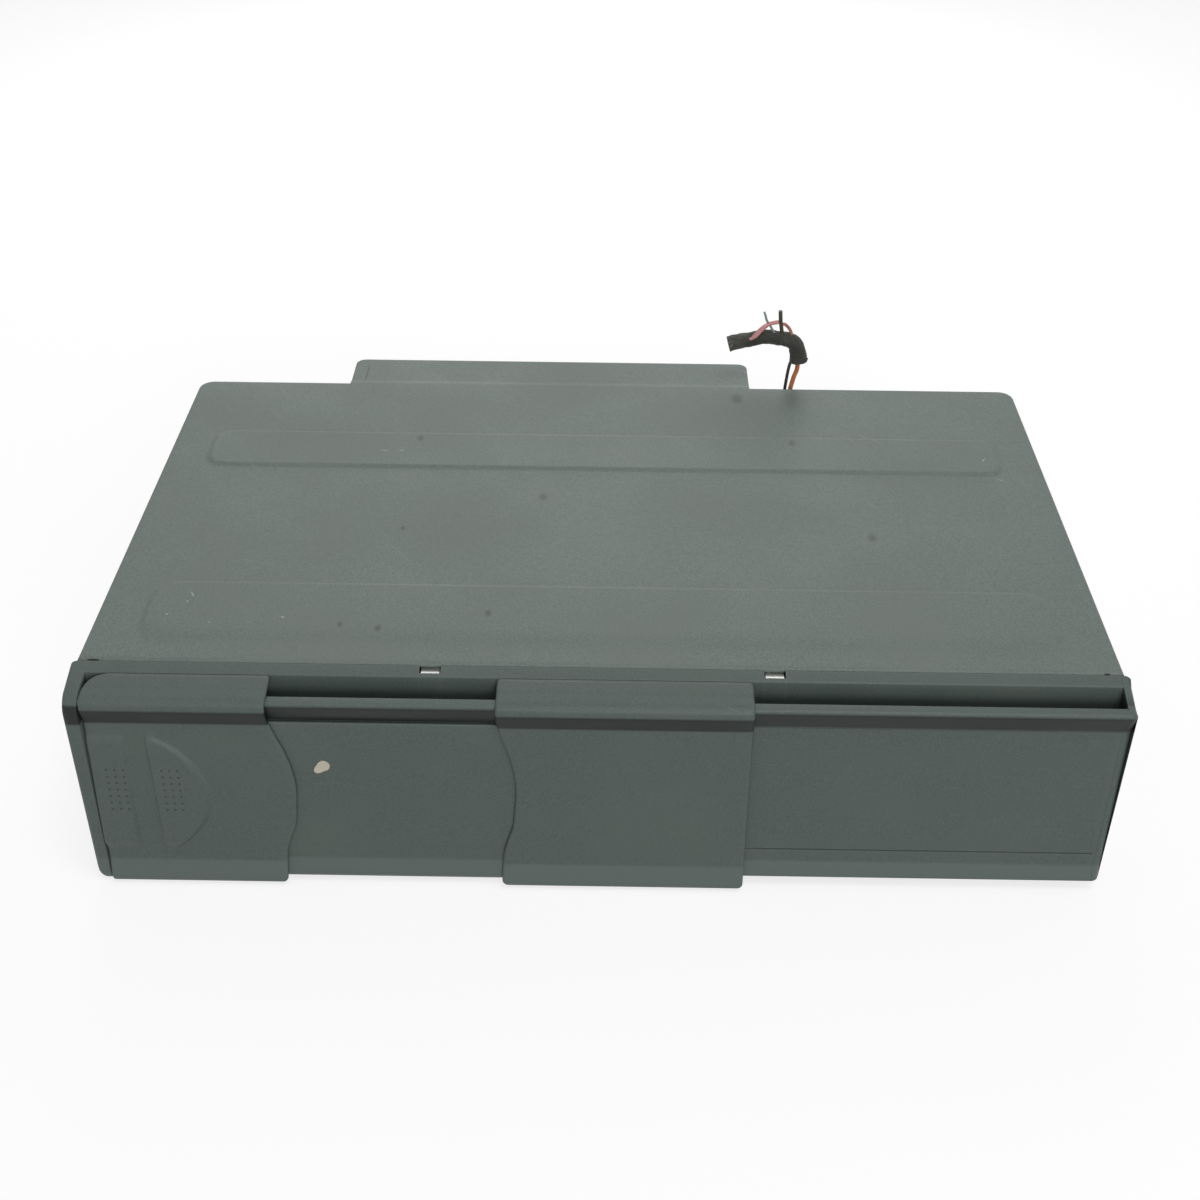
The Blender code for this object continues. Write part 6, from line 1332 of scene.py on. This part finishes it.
def made_by_nodes(name, tree, values, place, points=()):
    """Runs a geometry tree on points of (place, direction) and returns the plain mesh, moved to its place."""
    holder = add_object(name + "_nodes", bpy.data.meshes.new(name + "_nodes"))
    holder.data.from_pydata([spot for spot, direction in points], [], [])
    if points:
        facing = holder.data.attributes.new("direction", "FLOAT_VECTOR", "POINT")
        for index, (spot, direction) in enumerate(points):
            facing.data[index].vector = direction
    modifier = holder.modifiers.new("nodes", "NODES")
    modifier.node_group = tree
    sockets = {item.name: item.identifier for item in tree.interface.items_tree if item.in_out == "INPUT"}
    for label, value in values.items():
        modifier[sockets[label]] = value
    holder.update_tag()
    bpy.context.view_layer.update()
    evaluated = holder.evaluated_get(bpy.context.evaluated_depsgraph_get())
    data = bpy.data.meshes.new_from_object(evaluated)
    data.name = name
    data.transform(place)
    bpy.data.objects.remove(holder)
    return add_object(name, data)


dot_tree = build_dot_tree()
FACE_SLOPE = 0.0703
DOTS_DROP = 29.0
DOT_FIELDS = (("grip_dots_left", -118.35, 4.1), ("grip_dots_right", -104.85, 3.9))


def face_place(x, drop, out):
    """A frame on the door's face: its middle, with the grid's Y up the slope and Z outwards."""
    slope = math.atan(FACE_SLOPE)
    turn = Matrix.Rotation(math.radians(90) - slope, 4, "X")
    return Matrix.Translation((x * MM, CREASE_Y - out * MM, TOP_Z - drop * MM)) @ turn


# Painted shade: the grips' small pits are drawn as low domes of near-black plastic that stand for the shade
# inside them.
painted_pit_shade = moulded_material("painted_pit_shade", (0.030, 0.036, 0.033), 0.6, (0.040, 0.047, 0.043))
for name, x, width in DOT_FIELDS:
    out = 12.85 + 1.77 * (DOTS_DROP - 10.6) / 41.4 + 0.96 - 0.03
    values = {"Width": width * MM, "Height": 12.0 * MM, "Columns": 3, "Rows": 7}
    values.update({"Dot Radius": 0.33 * MM, "Material": painted_pit_shade})
    dots = made_by_nodes(name, dot_tree, values, face_place(x, DOTS_DROP, out))
    dots.data.shade_smooth()
    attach(dots, "outer_door")

# The lower case: a folded tray of zinc-plated sheet, bare inside and out, with the two round openings
# for the angle dials in its side walls.


def build_rolled_group():
    """Fine lines along X from rolling: one value that runs in long thin streaks."""
    tree, inside, outside = group_tree(
        "rolled_lines", [("Stretch", "NodeSocketVector", (60.0, 2500.0, 2500.0))],
        [("Lines", "NodeSocketFloat")],
    )
    place = add_node(tree, "ShaderNodeTexCoord")
    stretch = add_node(
        tree, "ShaderNodeMapping", None, Vector=place.outputs["Object"], Scale=inside.outputs["Stretch"],
    )
    lines = add_node(tree, "ShaderNodeTexNoise", None, Vector=stretch.outputs[0], Scale=1.0, Detail=2.0)
    tree.links.new(lines.outputs["Fac"], outside.inputs["Lines"])
    return tree


rolled_lines = build_rolled_group()


def plated_steel_material(name, colour, roughness):
    """Zinc plate on rolled sheet: soft grey-blue clouds, fine rolling lines and small dull stains."""
    material, tree, shader = new_material(name, colour, roughness, 0.9)
    grain = place_group(tree, sandy_grain, Grain_Size=0.0008, Patch_Size=0.018)
    lines = place_group(tree, rolled_lines).outputs["Lines"]
    dark = tuple(value * 0.72 for value in colour)
    clouds = mix_colours(tree, remap(tree, grain.outputs["Patches"], 0.35, 0.65), dark, colour)
    streaked = mix_colours(
        tree, remap(tree, lines, 0.35, 0.7, 0.0, 0.35), clouds,
        tuple(min(1.0, value * 1.2) for value in colour),
    )
    tree.links.new(streaked, shader.inputs["Base Color"])
    tree.links.new(
        remap(tree, lines, 0.3, 0.7, roughness - 0.08, roughness + 0.12),
        shader.inputs["Roughness"],
    )
    set_bump(material, lines, 0.08, 0.00005)
    return material


zinc_plate = plated_steel_material("zinc_plate", (0.50, 0.51, 0.50), 0.38)
tray_case = finished_copy("case_tray", "bottom_case", 0.2 * MM)
tray_case.data.materials.clear()
tray_case.data.materials.append(zinc_plate)
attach(tray_case, "case")

# Two small spring clips of zinc-plated strip hold the cover's front edge down behind the band, and only
# their ends show in two windows. Like the other small pressings they have their sheared edges broken.


def fit_pieces(names, body, finish, edge=0.0, segments=2):
    """Gives pieces their finish. With an edge, a merged copy with broken edges stands for the CAD shape."""
    for name in names:
        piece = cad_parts[name]
        if edge:
            piece = finished_copy(name + "_finished", name, edge, segments)
            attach(piece, body)
        piece.data.materials.clear()
        piece.data.materials.append(finish)


clip_zinc = plated_steel_material("clip_zinc", (0.66, 0.66, 0.63), 0.30)
fit_pieces(("bezel_clip_left", "bezel_clip_right"), "case", clip_zinc, 0.08 * MM)

# Four zinc-plated pan-head screws with a cross recess: one in each side of the cover and two at its rear.
# Their heads are cold-formed, and their shanks bite into the lower case.
SCREW_HEAD = 2.8 * MM
SCREW_SPOTS = (
    ((-0.1275, -0.00135, 0.0503), (-1.0, 0.0, 0.0)),
    ((0.1275, -0.00135, 0.0503), (1.0, 0.0, 0.0)),
    ((-0.1075, 0.0721, 0.0558), (0.0, 1.0, 0.0)),
    ((0.1075, 0.0721, 0.0558), (0.0, 1.0, 0.0)),
)


def build_screw_tree():
    """Cross-recess screws on points, each turned to its point's direction."""
    tree, inside, outside = geometry_tree("cross_screws", (
        ("Points", "NodeSocketGeometry", None),
        ("Head Radius", "NodeSocketFloat", 0.0028),
        ("Head Height", "NodeSocketFloat", 0.0013),
        ("Recess Width", "NodeSocketFloat", 0.0007),
        ("Shank Radius", "NodeSocketFloat", 0.0013),
        ("Shank Length", "NodeSocketFloat", 0.0035),
        ("Material", "NodeSocketMaterial", None),
    ))
    ball = add_node(tree, "GeometryNodeMeshUVSphere", None, Segments=32, Rings=16, Radius=1.0)
    head_size = add_node(
        tree, "ShaderNodeCombineXYZ", None, X=inside.outputs["Head Radius"],
        Y=inside.outputs["Head Radius"], Z=inside.outputs["Head Height"],
    )
    head = add_node(
        tree, "GeometryNodeTransform", None, Geometry=ball.outputs["Mesh"], Scale=head_size.outputs[0],
    )
    reach = calculate(tree, "MULTIPLY", inside.outputs["Head Radius"], 1.15)
    bars = []
    for first, second in (("X", "Y"), ("Y", "X")):
        size = add_node(
            tree, "ShaderNodeCombineXYZ", None, Z=inside.outputs["Head Height"],
            **{first: reach, second: inside.outputs["Recess Width"]},
        )
        bar = add_node(tree, "GeometryNodeMeshCube", None, Size=size.outputs[0])
        lift = add_node(tree, "ShaderNodeCombineXYZ", None, X=0.0, Y=0.0, Z=inside.outputs["Head Height"])
        raised = add_node(
            tree, "GeometryNodeTransform", None, Geometry=bar.outputs["Mesh"], Translation=lift.outputs[0],
        )
        bars.append(raised)
    recess = add_node(tree, "GeometryNodeMeshBoolean", {"operation": "DIFFERENCE", "solver": "EXACT"})
    tree.links.new(head.outputs["Geometry"], recess.inputs["Mesh 1"])
    for bar in bars:
        tree.links.new(bar.outputs["Geometry"], recess.inputs["Mesh 2"])
    shank = add_node(
        tree, "GeometryNodeMeshCylinder", None, Vertices=20, Radius=inside.outputs["Shank Radius"],
        Depth=inside.outputs["Shank Length"],
    )
    half = calculate(tree, "MULTIPLY", inside.outputs["Shank Length"], -0.5)
    sunk = add_node(tree, "ShaderNodeCombineXYZ", None, X=0.0, Y=0.0, Z=half)
    lower = add_node(
        tree, "GeometryNodeTransform", None, Geometry=shank.outputs["Mesh"], Translation=sunk.outputs[0],
    )
    whole = tree.nodes.new("GeometryNodeJoinGeometry")
    tree.links.new(recess.outputs["Mesh"], whole.inputs[0])
    tree.links.new(lower.outputs["Geometry"], whole.inputs[0])
    facing = add_node(
        tree, "GeometryNodeInputNamedAttribute", {"data_type": "FLOAT_VECTOR"}, Name="direction",
    )
    turn = add_node(
        tree, "FunctionNodeAlignRotationToVector", {"axis": "Z"}, Vector=facing.outputs["Attribute"],
    )
    placed = add_node(
        tree, "GeometryNodeInstanceOnPoints", None, Points=inside.outputs["Points"],
        Instance=whole.outputs[0], Rotation=turn.outputs[0],
    )
    real = add_node(tree, "GeometryNodeRealizeInstances", None, Geometry=placed.outputs["Instances"])
    dressed = add_node(
        tree, "GeometryNodeSetMaterial", None, Geometry=real.outputs["Geometry"],
        Material=inside.outputs["Material"],
    )
    tree.links.new(dressed.outputs["Geometry"], outside.inputs["Geometry"])
    return tree


screw_zinc = plated_steel_material("screw_zinc", (0.60, 0.60, 0.58), 0.30)
screw_values = {
    "Head Radius": SCREW_HEAD, "Head Height": 1.3 * MM, "Recess Width": 0.75 * MM, "Material": screw_zinc,
}
screws = made_by_nodes("cover_screws", build_screw_tree(), screw_values, Matrix(), SCREW_SPOTS)
screws.data.shade_smooth()
screws.data.set_sharp_from_angle(angle=math.radians(40))
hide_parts("side_screw_left", "side_screw_right", "rear_screw_left", "rear_screw_right")
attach(screws, "case")

# The two angle dials are black moulded discs with a coin slot. They sit in the side walls, and turning them
# resets the suspension for a level or an upright mounting. Their rims and slots are rubbed pale.


def hard_plastic_material(name, colour, light, roughness, rub_colour):
    """Moulded technical plastic: flow clouds, fine grain, dust and rubbed edges."""
    material, tree, shader = new_material(name, colour, roughness)
    shader.inputs["Specular IOR Level"].default_value = 0.4
    grain = place_group(tree, sandy_grain, Grain_Size=0.0005, Patch_Size=0.014)
    clouded = mix_colours(tree, remap(tree, grain.outputs["Patches"], 0.35, 0.7), colour, light)
    speckled = mix_colours(
        tree, remap(tree, grain.outputs["Mottle"], 0.55, 0.75, 0.0, 0.3), clouded, rub_colour,
    )
    rub_and_highlight = place_group(tree, edge_rub_and_highlight, Reach=0.0004)
    faint = calculate(tree, "MULTIPLY", rub_and_highlight.outputs["Mask"], 0.4)
    tree.links.new(mix_colours(tree, faint, speckled, rub_colour), shader.inputs["Base Color"])
    tree.links.new(
        remap(tree, grain.outputs["Patches"], 0.3, 0.7, roughness - 0.06, roughness + 0.1),
        shader.inputs["Roughness"],
    )
    set_bump(material, grain.outputs["Height"], 0.2, 0.00005)
    return material


black_plastic = hard_plastic_material(
    "black_plastic", (0.014, 0.014, 0.016), (0.026, 0.026, 0.028), 0.42, (0.060, 0.060, 0.062),
)
for side in ("left", "right"):
    fit_pieces(("angle_dial_" + side,), "angle_dial_" + side, black_plastic, 0.25 * MM, 3)

# The rear socket is a moulded shroud in the rear wall, and the harness plug is pushed home in it: both of
# black glass-filled nylon, with a dull, slightly fibrous skin.
glass_filled = hard_plastic_material(
    "glass_filled_black", (0.018, 0.018, 0.019), (0.034, 0.033, 0.032), 0.58, (0.085, 0.082, 0.078),
)
fit_pieces(("rear_socket", "harness_plug"), "case", glass_filled, 0.2 * MM)

# The main board: glass-fibre laminate under a green solder mask, with copper tracks that show paler through
# it and tinned pads. It lies on the posts of the lower case.


def board_material():
    material, tree, shader = new_material("solder_mask", (0.012, 0.10, 0.040), 0.32)
    place = add_node(tree, "ShaderNodeTexCoord")
    grain = place_group(tree, sandy_grain, Grain_Size=0.0006, Patch_Size=0.02)
    tracks = add_node(
        tree, "ShaderNodeTexBrick", {"offset": 0.37, "squash": 1.6}, Vector=place.outputs["Object"],
        Scale=420.0,
    )
    for label, value in (
        ("Mortar Size", 0.12), ("Mortar Smooth", 0.1), ("Brick Width", 2.6), ("Row Height", 0.62),
    ):
        tracks.inputs[label].default_value = value
    pads = add_node(tree, "ShaderNodeTexVoronoi", None, Vector=place.outputs["Object"], Scale=230.0)
    tracked = mix_colours(tree, tracks.outputs["Fac"], (0.012, 0.10, 0.040), (0.035, 0.19, 0.075))
    padded = mix_colours(
        tree, remap(tree, pads.outputs["Distance"], 0.16, 0.20, 1.0, 0.0), tracked, (0.46, 0.47, 0.46),
    )
    aged = mix_colours(
        tree, remap(tree, grain.outputs["Patches"], 0.45, 0.75, 0.0, 0.35), padded, (0.05, 0.09, 0.05),
    )
    tree.links.new(aged, shader.inputs["Base Color"])
    set_bump(material, tracks.outputs["Fac"], 0.3, 0.00006)
    return material


fit_pieces(("main_board",), "case", board_material(), 0.06 * MM)

# The mechanism frame is pressed from zinc-plated steel and floats inside the case. Four soft rubber cups
# filled with oil damp it, and four coil springs of drawn wire carry its weight.
soft_rubber = hard_plastic_material(
    "soft_rubber", (0.018, 0.018, 0.019), (0.032, 0.031, 0.030), 0.78, (0.055, 0.053, 0.050),
)
spring_wire = plated_steel_material("spring_wire", (0.56, 0.56, 0.57), 0.24)
fit_pieces(("mech_frame", "magazine_guide"), "case", zinc_plate, 0.1 * MM)
corners = ("front_left", "front_right", "rear_left", "rear_right")
fit_pieces(["damper_" + corner for corner in corners], "case", soft_rubber, 0.3 * MM)
fit_pieces(["suspension_spring_" + corner for corner in corners], "case", spring_wire)

# The magazine is a black moulded box, open at one side, with a finger hollow in its front. Six thin black
# trays slide in its combs, and each carries a polycarbonate disc with a mirror layer.
magazine_black = hard_plastic_material(
    "magazine_black", (0.016, 0.016, 0.017), (0.030, 0.029, 0.029), 0.5, (0.075, 0.073, 0.070),
)
tray_black = hard_plastic_material(
    "tray_black", (0.012, 0.012, 0.013), (0.022, 0.022, 0.023), 0.36, (0.050, 0.050, 0.050),
)


DISC_CENTRE = (-0.0575, -0.00535, 0.0)


def disc_material():
    """A compact disc: a mirror layer under clear plastic, with painted rainbow reflection bands that turn
    round its centre.
    """
    material, tree, shader = new_material("disc_silver", (0.70, 0.71, 0.73), 0.12, 1.0)
    place = add_node(tree, "ShaderNodeTexCoord")
    centred = add_node(
        tree, "ShaderNodeVectorMath", {"operation": "SUBTRACT"}, i0=place.outputs["Object"],
        i1=DISC_CENTRE,
    )
    parts = add_node(tree, "ShaderNodeSeparateXYZ", None, Vector=centred.outputs[0])
    # Painted reflection: rainbow bands by the angle round the centre stand for the light that the grooves
    # split into colours.
    angle = calculate(tree, "ARCTAN2", parts.outputs["Y"], parts.outputs["X"])
    bands = calculate(tree, "PINGPONG", angle, 0.7)
    painted_rainbow = add_node(tree, "ShaderNodeValToRGB", None, Fac=bands)
    painted_rainbow.color_ramp.elements[0].color = (0.62, 0.63, 0.66, 1)
    painted_rainbow.color_ramp.elements[1].color = (0.74, 0.74, 0.74, 1)
    for position, colour in (
        (0.25, (0.55, 0.66, 0.72, 1)), (0.5, (0.72, 0.70, 0.56, 1)), (0.7, (0.72, 0.58, 0.66, 1)),
    ):
        painted_rainbow.color_ramp.elements.new(position).color = colour
    flat = add_node(tree, "ShaderNodeCombineXYZ", None, X=parts.outputs["X"], Y=parts.outputs["Y"], Z=0.0)
    radius = add_node(tree, "ShaderNodeVectorMath", {"operation": "LENGTH"}, i0=flat.outputs[0])
    hub = remap(tree, radius.outputs["Value"], 0.0222, 0.0228, 1.0, 0.0)
    clear_hub = mix_colours(tree, hub, painted_rainbow.outputs["Color"], (0.80, 0.81, 0.82))
    stack_ring = remap(tree, radius.outputs["Value"], 0.0168, 0.0172)
    ring_end = remap(tree, radius.outputs["Value"], 0.0180, 0.0184, 1.0, 0.0)
    ring = calculate(tree, "MULTIPLY", stack_ring, ring_end)
    tree.links.new(mix_colours(tree, ring, clear_hub, (0.48, 0.49, 0.51)), shader.inputs["Base Color"])
    grooves = calculate(tree, "MULTIPLY", radius.outputs["Value"], 9000.0)
    fine = calculate(tree, "SINE", grooves)
    tree.links.new(remap(tree, fine, -1.0, 1.0, 0.10, 0.18), shader.inputs["Roughness"])
    set_bump(material, fine, 0.05, 0.00001)
    shader.inputs["Coat Weight"].default_value = 1.0
    return material


fit_pieces(("magazine",), "magazine", magazine_black, 0.3 * MM)
fit_pieces(
    ["disc_tray_%d" % number for number in range(1, 7)], "magazine", tray_black, 0.08 * MM,
)
fit_pieces(["disc_%d" % number for number in range(1, 7)], "magazine", disc_material())

# The lift: a small motor turns a brass worm, the worm a white gear, and the gear a slider of plated steel
# whose stepped cams raise the deck. The gear is moulded in natural acetal and greased.
nylon = hard_plastic_material(
    "natural_acetal", (0.68, 0.66, 0.58), (0.76, 0.74, 0.67), 0.38, (0.82, 0.81, 0.76),
)
turned_brass = plated_steel_material("turned_brass", (0.66, 0.47, 0.18), 0.26)
motor_can = plated_steel_material("motor_can", (0.58, 0.58, 0.56), 0.30)
fit_pieces(("lift_slider",), "lift_slider", zinc_plate, 0.08 * MM)
fit_pieces(("lift_gear",), "lift_gear", nylon, 0.05 * MM, 1)
fit_pieces(("lift_worm",), "lift_worm", turned_brass)
fit_pieces(("lift_motor",), "case", motor_can, 0.3 * MM)

# The playing deck: a plated plate with the spindle motor under it, a black turntable, and a sprung arm above
# that carries the white clamper. The arm swings on a steel pin.
bright_steel = plated_steel_material("bright_steel", (0.62, 0.62, 0.62), 0.20)
fit_pieces(("deck_plate",), "deck", zinc_plate, 0.1 * MM)
fit_pieces(("spindle_motor", "sled_motor"), "deck", motor_can, 0.25 * MM)
fit_pieces(("turntable",), "turntable", black_plastic, 0.15 * MM)
fit_pieces(("clamp_arm",), "clamp_arm", zinc_plate, 0.1 * MM)
fit_pieces(("clamp_pin",), "deck", bright_steel, 0.1 * MM)
fit_pieces(("clamper",), "clamper", nylon, 0.2 * MM)

# The optical pickup rides on a ground rod and a lead screw. Its body is black resin, and the pinion on the
# sled motor's shaft drives the screw's end gear.
fit_pieces(("pickup_sled",), "pickup_sled", black_plastic, 0.12 * MM)
fit_pieces(("sled_rod",), "deck", bright_steel, 0.1 * MM)
fit_pieces(("lead_screw",), "lead_screw", bright_steel)
fit_pieces(("sled_pinion",), "sled_pinion", nylon)

# The eject button shows beside the magazine when the doors are open. It swings the latch that holds the
# magazine's notch, and the eject lever behind then pushes the magazine out.
fit_pieces(("eject_button",), "eject_button", black_plastic, 0.4 * MM, 3)
fit_pieces(("latch_lever",), "latch_lever", clip_zinc, 0.1 * MM)
fit_pieces(("eject_lever",), "eject_lever", clip_zinc, 0.1 * MM)

# The studio: a pale sweep under the part and broad soft lamps, so that colours render as they are written.


FLOOR_SPAN = 6.0
FLOOR_DROP = 0.2 * MM
FLOOR_GREY = 0.34
FLOOR_GLOW = 0.735
WORLD_LIGHT = 0.26


def seen_directly(tree):
    """One for rays from the camera, a reflection or a refraction, and zero for light on the object."""
    rays = add_node(tree, "ShaderNodeLightPath")
    either = calculate(tree, "MAXIMUM", rays.outputs["Is Camera Ray"], rays.outputs["Is Glossy Ray"])
    return calculate(tree, "MAXIMUM", either, rays.outputs["Is Transmission Ray"])


def build_floor():
    data = bpy.data.meshes.new("floor")
    corners = ((-1, -1), (1, -1), (1, 1), (-1, 1))
    data.from_pydata([(x * FLOOR_SPAN, y * FLOOR_SPAN, 0) for x, y in corners], [], [(0, 1, 2, 3)])
    floor = add_object("floor", data)
    floor.location.z = -FLOOR_DROP
    material, tree, shader = new_material("pale_floor", (FLOOR_GREY,) * 3, 0.9)
    shader.inputs["Emission Color"].default_value = (1.0, 1.0, 1.0, 1.0)
    glow = calculate(tree, "MULTIPLY", seen_directly(tree), FLOOR_GLOW)
    tree.links.new(glow, shader.inputs["Emission Strength"])
    floor.data.materials.append(material)


build_floor()


def add_lamp(name, place, aim, size, power):
    data = bpy.data.lights.new(name, "AREA")
    data.shape = "DISK"
    data.size = size
    data.energy = power
    lamp = add_object(name, data)
    lamp.location = place
    lamp.rotation_mode = "QUATERNION"
    lamp.rotation_quaternion = (Vector(aim) - Vector(place)).to_track_quat("-Z", "Y")


LAMPS = (
    ("key_lamp", (0.35, -0.55, 1.6), (0, 0, 0.03), 0.8, 7.4),
    ("back_lamp", (-0.03, 0.6, 0.40), (0, 0.03, 0.06), 0.7, 1.25),
    ("front_lamp", (0.25, -1.3, 0.5), (0, -0.09, 0.03), 0.6, 6.2),
)
for name, place, aim, size, power in LAMPS:
    add_lamp(name, place, aim, size, power)
world = bpy.data.worlds.new("studio")
world.use_nodes = True
bpy.context.scene.world = world
world_tree = world.node_tree
background = world_tree.nodes["Background"]
background.inputs["Color"].default_value = (1.0, 1.0, 1.0, 1.0)
level = add_node(
    world_tree, "ShaderNodeMapRange", None, Value=seen_directly(world_tree), From_Min=0.0, From_Max=1.0,
    To_Min=WORLD_LIGHT, To_Max=1.0,
)
world_tree.links.new(level.outputs[0], background.inputs["Strength"])
